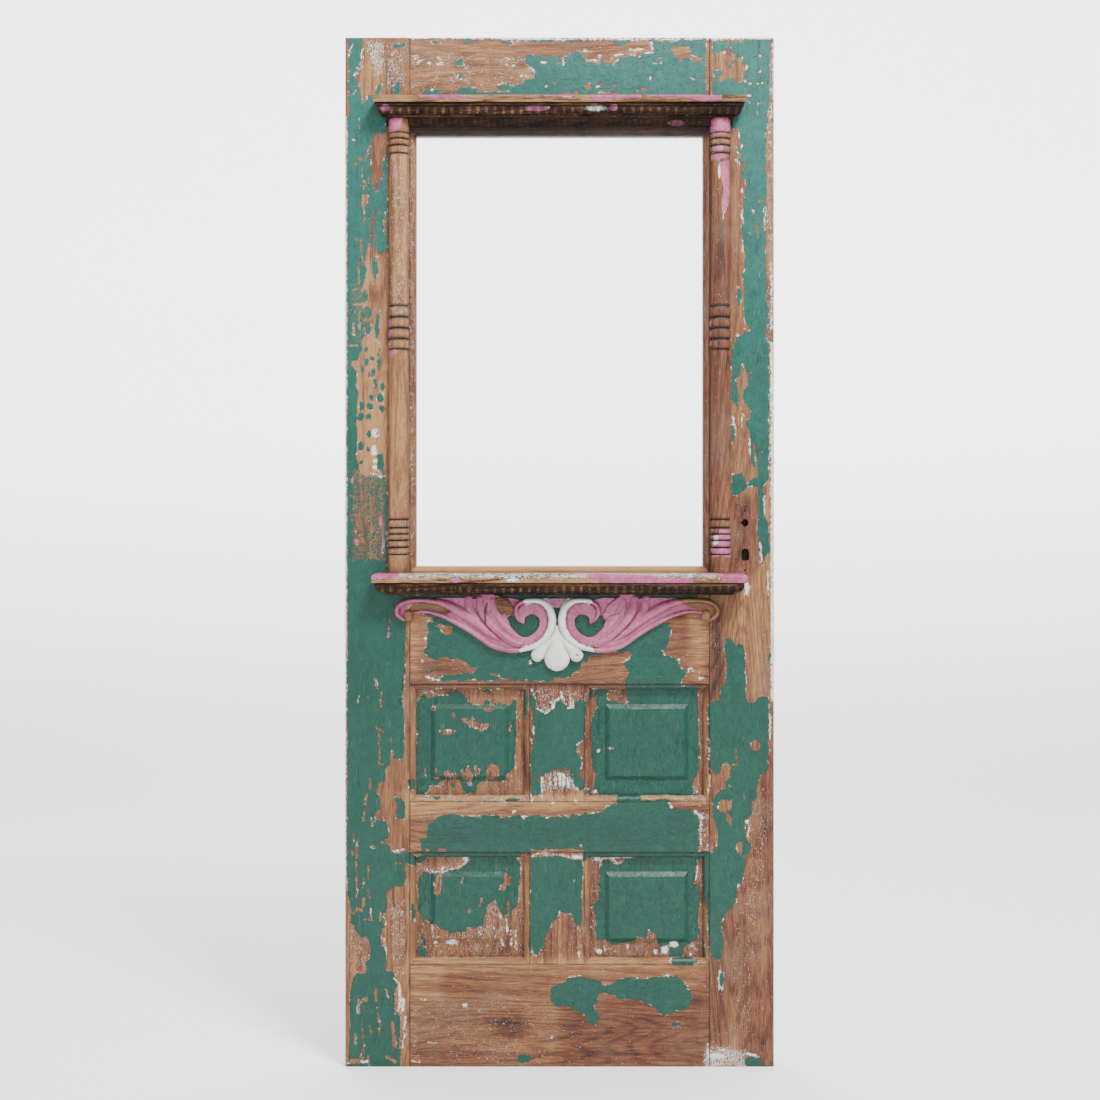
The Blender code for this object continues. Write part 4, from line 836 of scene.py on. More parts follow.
OPENING_EDGE_WEAR = (
    bare("upper mouldings", (520, 684), (529.6, 684), (529.6, 806), (520, 806)),
    bare("upper mouldings, foot", (405, 795.5), (616, 795.5), (616, 804), (405, 804)),
    bare("upper mouldings, head", (408, 682), (625, 682), (625, 690), (408, 690)),
    bare("lower mouldings", (405, 863), (415.5, 866), (415.5, 965), (405, 965)),
    bare("lower mouldings, foot", (408, 957), (530, 957), (530, 966), (408, 966)),
    bare("lower mouldings, lock foot", (584, 957), (708, 957), (708, 966), (584, 966)),
    *marks("left on the mouldings", Field.GREEN, 1.0, (616, 796, 640, 803), (655, 799, 668, 804),
           (670, 957, 696, 966), (411, 904, 415, 923), (430, 797, 444, 800), (503, 799, 520, 802),
           (523, 691, 527, 716)),
    # painted light: the feet of the mouldings round the openings face up and are made paler
    toned("light feet", -0.25, (408, 795), (706, 795), (706, 804), (408, 804)),
    toned("light feet, lower", -0.2, (408, 958), (706, 958), (706, 968), (408, 968)),
    # painted shade: the heads of the mouldings face down and are darkened in tone and with a dark line
    toned("dark heads", 1.1, (408, 682), (706, 682), (706, 689), (408, 689)),
    *marks("shaded heads", Field.SOIL_AND_SHADE, 0.7, (1.2, (410, 685.5), (706, 685.5)),
           (1.2, (410, 853.5), (529, 853.5)), (1.2, (585, 853.5), (706, 853.5))),
    flecked("light feet", 0.5, (408, 795), (706, 795), (706, 804), (408, 804)),
)

FRAME_WEAR = WearMap(
    HINGE_STILE_WEAR + LOCK_STILE_WEAR + TOP_RAIL_WEAR + LOCK_RAIL_WEAR + UPPER_MUNTIN_WEAR
    + MIDDLE_RAIL_WEAR + LOWER_MUNTIN_WEAR + BOTTOM_RAIL_WEAR + ORNAMENT_GROUND_WEAR
    + OPENING_EDGE_WEAR, FRAME_BASE)
PANEL_MAP = WearMap(UPPER_PANEL_WEAR + LOWER_PANEL_WEAR, FRAME_BASE)

COLUMN_WEAR = WearMap((
    pink("left cap", (385, 119), (403, 119), (400, 130), (396, 134), (387, 136)),
    pink("left shaft", (416, 352), (420, 360)),
    pink("left middle rings", (386, 322), (391, 322), (391, 346), (386, 346)),
    pink("left shoulder", (386, 351), (398, 351), (396, 356), (387, 360)),
    pink("right cap", (705, 119), (732, 119), (732, 135), (705, 136)),
    pink("right second ring", (712, 146), (723, 153)),
    pink("right shoulder", (705, 155), (728, 154), (726, 159), (712, 162), (706, 165)),
    pink("right streak", (719, 164), (729, 163), (729, 195), (728, 205), (724, 215), (721, 205),
         (723, 190), (720, 178)),
    pale("right streak edge", (717, 165), (721, 180)),
    pale("right streak foot", (721, 200), (725, 217)),
    pink("right middle rings", (706, 322), (710, 322), (710, 348), (706, 348)),
    pink("right bottom rings", (718, 531), (730, 531), (730, 560), (722, 556), (712, 559), (710, 548),
         (718, 544)),
    pale("right bottom rings", (712, 536), (719, 552)),
    flecked("left shaft", 0.5, (387, 150), (409, 150), (409, 320), (387, 320)),
    flecked("right shaft", 0.15, (706, 215), (729, 215), (729, 520), (706, 520)),
    flecked("rings", 0.4, (385, 515), (410, 515), (410, 562), (385, 562)),
    toned("left shaft", 0.0, (385, 150), (411, 150), (411, 570), (385, 570)),
    toned("right shaft", 0.75, (704, 150), (731, 150), (731, 570), (704, 570)),
    toned("right shaft, dark streak", 0.95, (717, 225), (724, 225), (724, 300), (717, 300)),
    toned("right shaft, lower streak", 0.9, (718, 355), (727, 355), (727, 520), (718, 520)),
), BARE_BASE)

MOULDING_WEAR = WearMap((
    pink("nose of the cornice, left", (416, 96), (440, 96), (470, 97.5), (466, 100), (440, 101),
         (420, 99)),
    pink("nose, middle", (540, 96), (576, 96), (570, 98.5), (545, 98)),
    pink("nose, right", (588, 96), (640, 96), (640, 99), (612, 101), (602, 104), (592, 102)),
    pink("nose, far right", (640, 96), (722, 97), (720, 102), (700, 103), (688, 100), (660, 99)),
    pink("egg, left end", (380, 106), (390, 113)),
    pink("egg, middle", (524, 107), (548, 113)),
    pink("egg, right", (609, 106), (617, 113)),
    pink("cove, right", (668, 122), (684, 128)),
    pale("eggs, right", (585, 107), (606, 113)),
    pink("sill, left end", (370, 572), (400, 572), (398, 578), (380, 581), (371, 581)),
    pink("sill, spot", (450, 579), (460, 584)),
    pink("sill, middle right", (586, 574), (650, 577), (694, 580), (690, 586), (640, 585), (600, 584),
         (590, 580)),
    pink("sill, right end", (716, 574), (748, 572), (748, 582), (736, 586), (722, 582)),
    pale("sill, light", (503, 579), (521, 583)),
    Patch("noses", Field.TONE, -0.35, ((366, 92), (752, 92), (752, 103.5), (366, 103.5)), 1.5),
    Patch("sill top", Field.TONE, -1.3, ((366, 562), (752, 562), (752, 580), (366, 580)), 2.0),
    Patch("sill nose", Field.TONE, -0.3, ((366, 580), (752, 580), (752, 586.5), (366, 586.5)), 1.5),
    Patch("sill top, dusty", Field.FLECKS, 0.9, ((366, 562), (752, 562), (752, 580), (366, 580)), 2.0),
), STAINED_BASE)

PALE_SCROLLS = (
    ((527, 602), (533, 600), (541, 601), (549, 608), (552.5, 620), (551, 630), (546, 640), (537, 647),
     (523, 652)),
    ((588, 602), (581, 600), (572, 601), (564, 608), (560.5, 620), (562, 630), (567, 640), (576, 647),
     (590, 652)),
)

CARVING_WEAR = WearMap((
    pink("whole carving", (385, 590), (730, 590), (730, 680), (385, 680)),
    bared("lock end", (680, 588), (735, 588), (735, 640), (704, 626), (700, 612), (688, 608), (676, 600)),
    bared("trough of the hinge arm", (404, 626), (405, 612), (412, 605), (424, 603), (440, 606),
          (452, 612), (446, 616), (434, 612), (422, 610), (414, 614), (412, 624)),
    bared("broken lobe", (494, 598), (507, 598), (514, 607), (514, 616), (507, 617), (501, 616),
          (497, 611)),
    strip("crack in the leaf, bare", Field.PINK, -1.0, 1.0, (487.5, 604), (485.5, 612), (485, 622)),
    bared("speck on the rim", (430, 599), (436, 602)),
    *(strip("scroll", coat, value, 4.3, *line) for line in PALE_SCROLLS
      for coat, value in ((Field.PALE, 1.0), (Field.PINK, -1.0))),
    pale("shell", (552, 622), (561, 622), (564, 640), (580, 652), (588, 658), (584, 668), (570, 669),
         (566, 677), (556, 681), (546, 677), (542, 669), (529, 668), (525, 658), (533, 652), (550, 640)),
    pale("inside the scroll", (535, 621), (542, 634)),
    bared("under the pale coat", (519, 646), (547, 646), (552, 622), (561, 622), (566, 646), (594, 646),
          (594, 684), (519, 684)),
    Patch("spots on the shell", Field.PINK, 1.0, ((540, 660), (542.5, 662.5))),
    Patch("spot on the middle lobe", Field.PINK, 1.0, ((549, 669), (551, 671))),
    Patch("spot on the lock lobe", Field.PINK, 1.0, ((575, 655), (578, 657))),
    strip("crack in the leaf", Field.SOIL_AND_SHADE, 0.9, 0.7, (487, 604), (484, 612), (485, 624)),
    # painted shade in the crease under the lobe's curl
    strip("curl of the lobe", Field.SOIL_AND_SHADE, 0.7, 0.6, (605.7, 621), (609.7, 617), (617.7, 614.7),
          (620.6, 610.7)),
    strip("crack, lock side", Field.SOIL_AND_SHADE, 0.7, 0.5, (625, 600), (626, 608), (624, 616)),
    toned("nail hole", 1.0, (603, 606), (607, 610)),
    toned("lock end", 0.35, (676, 590), (735, 590), (735, 640), (676, 640)),
    toned("broken lobe", 0.85, (492, 596), (514, 596), (514, 622), (492, 622)),
    flecked("lock end", 0.1, (676, 590), (735, 590), (735, 640), (676, 640)),
), BARE_BASE)


# Meshes


def ripple(first: Points, second: Points, wave: float, seed: int) -> Points:
    """Gentle irregularity of a worn surface.

    Args:
        first: One coordinate in metres.
        second: The other coordinate in metres.
        wave: Rough distance between bumps in metres.
        seed: Which pattern.

    Returns:
        Values from about -1 to 1.
    """
    draw = np.random.default_rng(seed)
    total = np.zeros(np.broadcast(first, second).shape)
    turns, stretches, phases = (draw.uniform(low, high, 7)
                                for low, high in ((0, 2 * math.pi), (0.6, 1.9), (0, 6.3)))
    for turn, stretch, phase in zip(turns, stretches, phases):
        along = first * math.cos(turn) + second * math.sin(turn)
        total = total + np.sin(along * 2 * math.pi * stretch / wave + phase)
    return total / 3.5


def even_lines(start: float, end: float, step: float, *stops: float) -> Points:
    """Grid lines from start to end that fall on every stop between them.

    Args:
        start: First line.
        end: Last line.
        step: Largest distance between lines.
        *stops: Places that a line has to meet.

    Returns:
        The sorted lines.
    """
    marks = sorted({start, end, *(stop for stop in stops if start < stop < end)})
    runs = [np.linspace(low, high, max(1, math.ceil((high - low) / step)), endpoint=False)
            for low, high in zip(marks, marks[1:])]
    return np.append(np.concatenate(runs), end)


class MeshDraft:
    """Points and faces of one piece, gathered before they become a mesh."""

    def __init__(self) -> None:
        """Starts with nothing in it."""
        self.blocks: list[Points] = []
        self.faces: list[tuple[int, ...]] = []
        self.count = 0

    def add_points(self, points: Points) -> np.ndarray:
        """Adds places and returns their numbers."""
        flat = np.asarray(points, float).reshape(-1, 3)
        self.blocks.append(flat)
        first = self.count
        self.count += len(flat)
        return np.arange(first, self.count)

    def add_lattice(self, lattice: Points, reverse: bool = False, dropped: np.ndarray | None = None,
                    second_diagonal: np.ndarray | None = None) -> np.ndarray:
        """Adds a sheet of quads.

        Args:
            lattice: Places in rows and columns.
            reverse: Whether the faces look the other way.
            dropped: True for each cell that is left out.
            second_diagonal: 0 for a quad, 1 or 2 for a cell that is creased along a diagonal.

        Returns:
            The numbers of the places, in rows and columns.
        """
        rows, columns = lattice.shape[:2]
        numbers = self.add_points(lattice).reshape(rows, columns)
        a, b = numbers[:-1, :-1], numbers[:-1, 1:]
        c, d = numbers[1:, 1:], numbers[1:, :-1]
        cells = np.stack((a, b, c, d), -1)
        kept = np.ones(a.shape, bool) if dropped is None else ~dropped
        creased = np.zeros(a.shape, int) if second_diagonal is None else second_diagonal
        faces = [tuple(cell) for cell in cells[kept & (creased == 0)].tolist()]
        for crease, orders in ((1, ((0, 1, 2), (0, 2, 3))), (2, ((0, 1, 3), (1, 2, 3)))):
            chosen = cells[kept & (creased == crease)]
            for order in orders:
                faces += [tuple(cell) for cell in chosen[:, order].tolist()]
        self.faces += [face[::-1] for face in faces] if reverse else faces
        return numbers

    def add_cap(self, numbers: Iterable[int], reverse: bool = False) -> None:
        """Closes a loop of places with one face."""
        face = tuple(int(number) for number in numbers)
        self.faces.append(face[::-1] if reverse else face)

    def points(self) -> Points:
        """Every place so far."""
        return np.concatenate(self.blocks)

    def build(self, name: str, material: bpy.types.Material, fields: dict[Field, Points],
              crease: float = 35.0) -> bpy.types.Object:
        """Makes the piece.

        Args:
            name: The object's name.
            material: Its finish.
            fields: Values of the surface at each place.
            crease: Angle in degrees from which an edge stays sharp.

        Returns:
            The linked object.
        """
        mesh = bpy.data.meshes.new(name)
        mesh.from_pydata(self.points().tolist(), [], self.faces)
        mesh.update()
        mesh.shade_smooth()
        mesh.set_sharp_from_angle(angle=math.radians(crease))
        for field, values in fields.items():
            layer = mesh.attributes.new(field.value, "FLOAT", "POINT")
            layer.data.foreach_set("value", values.astype(np.float32))
        mesh.materials.append(material)
        made = bpy.data.objects.new(name, mesh)
        bpy.context.scene.collection.objects.link(made)
        return made


def show(piece: bpy.types.Object, node: str) -> None:
    """Puts a piece in its node's place.

    Args:
        piece: The finished piece.
        node: The CAD node that it stands for.
    """
    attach(piece, "root")
    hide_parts(node)
    LOG.info("%s: %d faces", piece.name, len(piece.data.polygons))


# Finishes


class Wire:
    """One value on its way through a material, with the arithmetic that joins values."""

    def __init__(self, shop: "NodeShop", socket: bpy.types.NodeSocket) -> None:
        """Wraps a socket of a shop's tree."""
        self.shop = shop
        self.socket = socket

    def _join(self, operation: str, first: "Wire | float", second: "Wire | float") -> "Wire":
        """A Math node on two values."""
        made = self.shop.node("ShaderNodeMath", {"operation": operation}, {0: first, 1: second})
        return Wire(self.shop, made.outputs[0])

    def __add__(self, other: "Wire | float") -> "Wire":
        """Sum."""
        return self._join("ADD", self, other)

    __radd__ = __add__

    def __sub__(self, other: "Wire | float") -> "Wire":
        """Difference."""
        return self._join("SUBTRACT", self, other)

    def __rsub__(self, other: float) -> "Wire":
        """Difference from a number."""
        return self._join("SUBTRACT", other, self)

    def __mul__(self, other: "Wire | float") -> "Wire":
        """Product."""
        return self._join("MULTIPLY", self, other)

    __rmul__ = __mul__

    def most(self, other: "Wire | float") -> "Wire":
        """The larger of two values."""
        return self._join("MAXIMUM", self, other)

    def least(self, other: "Wire | float") -> "Wire":
        """The smaller of two values."""
        return self._join("MINIMUM", self, other)

    def size(self) -> "Wire":
        """The value without its sign."""
        return self._join("ABSOLUTE", self, 0.0)

    def sine(self) -> "Wire":
        """Sine of the value in radians."""
        return self._join("SINE", self, 0.0)

    def mask(self, low: float, high: float) -> "Wire":
        """0 below low, 1 above high, and a soft step between them."""
        made = self.shop.node("ShaderNodeMapRange", {"interpolation_type": "SMOOTHSTEP"},
                              {"Value": self, "From Min": low, "From Max": high})
        return Wire(self.shop, made.outputs[0])


class NodeShop:
    """Makes the nodes of one material."""

    def __init__(self, name: str) -> None:
        """Starts a material with its own shader and output."""
        self.material = bpy.data.materials.new(name)
        self.material.use_nodes = True
        self.tree = self.material.node_tree
        self.shader = self.tree.nodes["Principled BSDF"]

    def node(self, kind: str, settings: dict[str, object] | None = None,
             sockets: dict[str | int, object] | None = None) -> bpy.types.Node:
        """Adds one node.

        Args:
            kind: Blender's name of its type.
            settings: Properties, which are set first.
            sockets: Values or wires of its inputs.

        Returns:
            The node.
        """
        made = self.tree.nodes.new(kind)
        for name, value in (settings or {}).items():
            setattr(made, name, value)
        for name, value in (sockets or {}).items():
            if isinstance(value, Wire):
                self.tree.links.new(value.socket, made.inputs[name])
            else:
                made.inputs[name].default_value = value
        return made

    def place(self) -> Wire:
        """Where the surface is, in metres."""
        return Wire(self, self.node("ShaderNodeTexCoord").outputs["Object"])

    def height(self) -> Wire:
        """How high the surface is above mid-height."""
        return Wire(self, self.node("ShaderNodeSeparateXYZ", {}, {0: self.place()}).outputs["Z"])

    def reading(self, field: Field) -> Wire:
        """One field of the mesh."""
        made = self.node("ShaderNodeAttribute", {"attribute_type": "GEOMETRY",
                                                 "attribute_name": field.value})
        return Wire(self, made.outputs["Fac"])

    def stretched(self, place: Wire, factors: tuple[float, float, float]) -> Wire:
        """The place with each direction drawn out or pressed together."""
        made = self.node("ShaderNodeVectorMath", {"operation": "MULTIPLY"}, {0: place, 1: factors})
        return Wire(self, made.outputs[0])

    def shifted(self, place: Wire, amount: tuple[float, float, float]) -> Wire:
        """The place moved, so that a pattern doesn't repeat another."""
        made = self.node("ShaderNodeVectorMath", {"operation": "ADD"}, {0: place, 1: amount})
        return Wire(self, made.outputs[0])

    def noise(self, place: Wire, scale: float, detail: float = 3.0, roughness: float = 0.55,
              distortion: float = 0.0) -> Wire:
        """Cloudy noise around 0.5.

        Args:
            place: Where it is read.
            scale: Waves in a metre.
            detail: Octaves.
            roughness: Strength of the finer octaves.
            distortion: How far it is bent.

        Returns:
            Its value.
        """
        made = self.node("ShaderNodeTexNoise", {"noise_dimensions": "3D"},
                         {"Vector": place, "Scale": scale, "Detail": detail, "Roughness": roughness,
                          "Distortion": distortion})
        return Wire(self, made.outputs[0])

    def chips(self, place: Wire, scale: float) -> Wire:
        """One random value for each small cell."""
        made = self.node("ShaderNodeTexVoronoi", {"feature": "F1"}, {"Vector": place, "Scale": scale})
        parts = self.node("ShaderNodeSeparateColor", {}, {0: Wire(self, made.outputs["Color"])})
        return Wire(self, parts.outputs[0])

    def edges(self, place: Wire, scale: float, bend: Wire) -> Wire:
        """Distance to the edge of an irregular cell, 0 on the edge."""
        bent = Wire(self, self.node("ShaderNodeVectorMath", {"operation": "ADD"},
                                    {0: place, 1: bend * 0.006}).outputs[0])
        made = self.node("ShaderNodeTexVoronoi", {"feature": "DISTANCE_TO_EDGE"},
                         {"Vector": bent, "Scale": scale})
        return Wire(self, made.outputs["Distance"])

    def blend(self, share: Wire | float, first: "Wire | Colour", second: "Wire | Colour",
              mode: str = "MIX") -> Wire:
        """Mixes two colours.

        Args:
            share: 0 for the first, 1 for the second.
            first: A colour.
            second: A colour.
            mode: Blender's blend mode.

        Returns:
            The mixed colour.
        """
        ends = [end.linear() if isinstance(end, Colour) else end for end in (first, second)]
        made = self.node("ShaderNodeMix", {"data_type": "RGBA", "blend_type": mode},
                         {0: share, 6: ends[0], 7: ends[1]})
        return Wire(self, made.outputs[2])

    def finish(self, colour: "Wire | Colour", roughness: Wire | float, relief: Wire, depth: float,
               fixed: dict[str, float]) -> bpy.types.Material:
        """Joins the results to the shader.

        Args:
            colour: Base colour.
            roughness: Roughness.
            relief: Height of the surface, 0 to about 1.
            depth: Metres that a height of 1 stands for.
            fixed: Values that are the same all over.

        Returns:
            The material.
        """
        bump = self.node("ShaderNodeBump", {}, {"Height": relief, "Strength": 1.0, "Distance": depth})
        if isinstance(colour, Wire):
            self.tree.links.new(colour.socket, self.shader.inputs["Base Color"])
        else:
            self.shader.inputs["Base Color"].default_value = colour.linear()
        self.tree.links.new(bump.outputs[0], self.shader.inputs["Normal"])
        if isinstance(roughness, Wire):
            self.tree.links.new(roughness.socket, self.shader.inputs["Roughness"])
        else:
            self.shader.inputs["Roughness"].default_value = roughness
        for name, value in fixed.items():
            self.shader.inputs[name].default_value = value
        return self.material


@dataclass(frozen=True)
class WoodFigure:
    """The colours of a bare wood."""

    light: Colour
    middle: Colour
    dark: Colour
    deep: Colour
    faded: Colour = Colour(104, 84, 66)

    def colour(self, shop: NodeShop, grain: Grain, tone: Wire | float) -> tuple[Wire, Wire]:
        """Lays out the grain.

        Args:
            shop: The material in hand.
            grain: Which way the fibres run.
            tone: 0 for pale wood, 1 for dark.

        Returns:
            The colour and the relief of the grain.
        """
        place = shop.stretched(shop.place(), grain.value)
        wavy = shop.stretched(shop.place(), grain.drawn(0.16))
        stains = shop.noise(shop.shifted(wavy, (2.2, 1.1, 0.3)), 15.0, 3.0, 0.6)
        broad = shop.noise(shop.shifted(place, (3.1, 0.4, 1.7)), 70.0, 4.0, 0.6, 0.3)
        fibre = shop.noise(shop.shifted(place, (0.6, 2.0, 5.2)), 620.0, 4.0, 0.65)
        waves = shop.noise(wavy, 7.0, 1.0, 0.4)
        rings = ((waves * 26.0 + broad * 1.1) * 6.3).sine().mask(0.1, 1.0)
        figure = (broad - 0.5) * 1.3 + (fibre - 0.5) * 1.9 + rings * 0.26 + (stains - 0.5) * 0.9 + 0.12
        share = figure + tone * 0.75
        colour = shop.blend(share.mask(-0.05, 0.45), self.light, self.middle)
        colour = shop.blend(share.mask(0.4, 0.95), colour, self.dark)
        colour = shop.blend(share.mask(0.9, 1.4), colour, self.deep)
        pores = shop.noise(shop.shifted(place, (7.0, 1.0, 2.0)), 900.0, 3.0, 0.7).mask(0.6, 0.7)
        grey = shop.noise(shop.shifted(shop.place(), (1.0, 6.0, 2.0)), 9.0, 3.0).mask(0.48, 0.72)
        colour = shop.blend(grey * 0.35, colour, self.faded)
        relief = fibre * 0.8 + broad * 0.5 + rings * 0.3 - pores * 0.4
        return shop.blend(pores * 0.7, colour, self.deep), relief


PINE = WoodFigure(Colour(148, 108, 68), Colour(114, 74, 44), Colour(84, 42, 24), Colour(40, 17, 10))
STAINED_PINE = WoodFigure(Colour(150, 116, 82), Colour(76, 49, 29), Colour(33, 17, 9), Colour(12, 5, 3),
                          Colour(64, 44, 32))


@dataclass(frozen=True)
class WornPaint:
    """Old coats of paint over wood: green over pink over white, flaked down to the grain."""

    name: str
    grain: Grain
    wood: WoodFigure = PINE
    mapped: bool = True
    # painted light and shade: the green at the head and at the foot, blended by height
    green_head_painted_light: Colour = Colour(30, 88, 80)
    green_foot_painted_shade: Colour = Colour(7, 65, 52)
    rose: Colour = Colour(148, 62, 98)
    white: Colour = Colour(206, 208, 204)
    # dark colour for real dirt and for painted shade
    soil_and_shade: Colour = Colour(15, 8, 6)
    flake: float = 1.0
    paint_roughness: float = 0.42
    sheen: float = 0.4

    def build(self) -> bpy.types.Material:
        """Lays the coats one over another.

        Returns:
            The material.
        """
        shop = NodeShop(self.name)
        place = shop.place()
        drawn = shop.stretched(place, self.grain.drawn(0.35))
        fine = shop.stretched(place, self.grain.value)
        drift = shop.noise(place, 24.0, 2.0)
        ragged = shop.noise(drawn, 150.0, 6.0, 0.76)
        chips = shop.chips(shop.stretched(place, self.grain.drawn(0.5)), 300.0)
        edge = (drift * 3.0 + ragged * 12.0 + chips * 2.4 - 8.7) * self.flake
        streak = shop.noise(shop.shifted(shop.stretched(place, self.grain.drawn(0.16)), (1.3, 0.0, 2.9)),
                            170.0, 4.0, 0.65)
        specks = shop.stretched(place, self.grain.drawn(0.2))
        bunches = shop.noise(shop.shifted(place, (5.0, 2.0, 1.0)), 70.0, 2.0)
        flecks = shop.noise(shop.shifted(specks, (2.0, 5.0, 1.0)), 900.0, 3.0,
                            0.75) + (bunches - 0.5) * 0.2
        state = self._readings(shop)
        green_coat = state[Field.GREEN] + edge
        broken = (streak - state[Field.CRACKLE] * 0.36 - 0.2) * 30.0
        cells = shop.edges(shop.stretched(place, self.grain.drawn(0.55)), 230.0, ragged)
        apart = (cells - state[Field.ISLANDS] * 0.62 + ragged * 0.3 - 0.09) * 9.0
        green_coat = green_coat.least(broken).least(apart)
        pink_coat = state[Field.PINK] + edge * 0.6
        fringe = (shop.noise(shop.shifted(place, (4.0, 1.0, 8.0)), 75.0, 3.0, 0.6) - 0.5) * 14.0 - 1.0
        patchy = shop.noise(shop.shifted(drawn, (3.0, 7.0, 2.0)), 420.0, 4.0, 0.7)
        bits = (patchy - 0.5) * 18.0
        pale_coat = state[Field.PALE] + edge * 0.5 + bits - 0.7
        rims = green_coat + fringe + bits * 0.5 - state[Field.ISLANDS] * 5.0
        rims = rims.most(pink_coat + fringe * 0.6)
        pale_coat = pale_coat.most(rims).most((flecks + state[Field.FLECKS] * 0.2 - 0.72) * 30.0)
        masks = [coat.mask(-0.25, 0.25) for coat in (pale_coat, pink_coat, green_coat)]
        wood, grain_relief = self.wood.colour(shop, self.grain, state[Field.TONE])
        colour = shop.blend(masks[0] * 0.92, wood, self._weathered(shop, self.white, drift))
        colour = shop.blend(masks[1], colour, self._weathered(shop, self.rose, drift))
        colour = shop.blend(masks[2], colour, self._green(shop, fine, drift, ragged))
        # darkens towards the dark colour: real dirt, and painted shade where the darkening field stands
        # for shade
        colour = shop.blend(state[Field.SOIL_AND_SHADE], colour, self.soil_and_shade)
        top = masks[0].most(masks[1]).most(masks[2])
        hair = self._hairlines(shop, fine)
        relief = (masks[0] * 0.35 + masks[1] * 0.25 + masks[2] * 0.6
                  + grain_relief * (1 - top * 0.75) * 0.5 - hair * 0.3 + drift * 0.3)
        roughness = (1 - top) * 0.26 + self.paint_roughness + ragged * 0.14 - 0.07
        return shop.finish(colour, roughness, relief, 0.0014, {"Specular IOR Level": self.sheen})

    def _readings(self, shop: NodeShop) -> dict[Field, Wire | float]:
        """The mesh's fields, or plain values for a piece without them."""
        if self.mapped:
            return {field: shop.reading(field) for field in Field}
        plain = dict(BARE_BASE)
        return {**plain, Field.GREEN: 5.0, Field.CRACKLE: 0.3}

    def _weathered(self, shop: NodeShop, colour: Colour, drift: Wire) -> Wire:
        """A coat's colour, faded and soiled a little from place to place."""
        faded = Colour(*(value + (190 - value) * 0.25 for value in (colour.red, colour.green,
                                                                    colour.blue)))
        soiled = Colour(colour.red * 0.82, colour.green * 0.76, colour.blue * 0.74)
        mottle = shop.noise(shop.shifted(shop.place(), (9.0, 3.0, 1.0)), 150.0, 4.0, 0.6)
        worn = shop.blend(mottle.mask(0.35, 0.7), faded, colour)
        return shop.blend(drift.mask(0.5, 0.75) * 0.6, worn, soiled)

    def _hairlines(self, shop: NodeShop, fine: Wire) -> Wire:
        """Cracks along the grain, 1 in a crack."""
        level = shop.noise(shop.shifted(fine, (5.0, 5.0, 5.0)), 120.0, 3.0, 0.5)
        open_here = shop.noise(shop.shifted(shop.place(), (6.0, 2.0, 3.0)), 16.0, 2.0).mask(0.5, 0.62)
        return (1 - (level - 0.5).size().mask(0.002, 0.011)) * open_here

    def _green(self, shop: NodeShop, fine: Wire, drift: Wire, ragged: Wire) -> Wire:
        """The green coat: paler towards the head and darker towards the foot, as painted light from
        above, streaked and cracked.
        """
        # painted light and shade: the green is lighter towards the head and darker towards the foot
        colour = shop.blend(shop.height().mask(-0.35, 1.0), self.green_foot_painted_shade, self.green_head_painted_light)
        dark = Colour(self.green_foot_painted_shade.red * 0.7, self.green_foot_painted_shade.green * 0.74,
                      self.green_foot_painted_shade.blue * 0.74)
        light = Colour(56, 108, 92)
        colour = shop.blend(drift.mask(0.4, 0.8) * 0.35, colour, dark)
        colour = shop.blend(ragged.mask(0.58, 0.8) * 0.25, colour, light)
        scratch = shop.noise(shop.shifted(fine, (8.0, 1.0, 4.0)), 640.0, 2.0, 0.4).mask(0.66, 0.74)
        colour = shop.blend(scratch * 0.3, colour, Colour(112, 116, 104))
        return shop.blend(self._hairlines(shop, fine) * 0.65, colour, Colour(14, 30, 27))


@dataclass(frozen=True)
class ClearGlass:
    """The plain sheet of the upper light."""

    name: str = "old_clear_sheet"
    tint: Colour = Colour(250, 251, 251)

    def build(self) -> bpy.types.Material:
        """Makes a see-through sheet with a slight unevenness."""
        shop = NodeShop(self.name)
        wave = shop.noise(shop.stretched(shop.place(), (1.0, 1.0, 0.4)), 3.0, 1.0)
        smear = shop.noise(shop.place(), 14.0, 3.0).mask(0.5, 0.9)
        fixed = {"Transmission Weight": 1.0, "IOR": 1.48}
        return shop.finish(self.tint, smear * 0.02 + 0.01, wave, 0.0003, fixed)


# The joined frame


def easing(distance: Points, radius: float) -> Points:
    """How far a rounded arris drops below the face at a distance from the edge."""
    inside = np.clip(radius - distance, 0, radius)
    return radius - np.sqrt(np.clip(radius * radius - inside * inside, 0, None))


def edge_lines(start: float, end: float, first: float, last: float, step: float, *stops: float) -> Points:
    """Grid lines across a face with rounded arrises.

    Args:
        start: One edge.
        end: The other edge.
        first: Rounding at the start.
        last: Rounding at the end.
        step: Largest distance between lines.
        *stops: Places that a line has to meet.

    Returns:
        The sorted lines.
    """
    rounds = [start + first * share for share in (0.12, 0.4, 1.0)]
    rounds += [end - last * share for share in (0.12, 0.4, 1.0)]
    return even_lines(start, end, step, *rounds, *stops)


def mitred_place(rect: Rect, side: Side, share: Points, inward: Points, y: Points) -> Points:
    """World places beside one side of an opening, with mitred ends.

    Args:
        rect: The opening.
        side: Which side of it.
        share: 0 to 1 along the side.
        inward: Distance into the opening.
        y: World depth.

    Returns:
        The places, one row each.
    """
    upright = side in (Side.LEFT, Side.RIGHT)
    start, end = (rect.bottom, rect.top) if upright else (rect.left, rect.right)
    low, high = start + inward + GAP, end - inward - GAP
    along = low + (high - low) * share
    if side is Side.LEFT:
        return np.stack((rect.left + inward, y, along), -1)
    if side is Side.RIGHT:
        return np.stack((rect.right - inward, y, along), -1)
    if side is Side.BOTTOM:
        return np.stack((along, y, rect.bottom + inward), -1)
    return np.stack((along, y, rect.top - inward), -1)


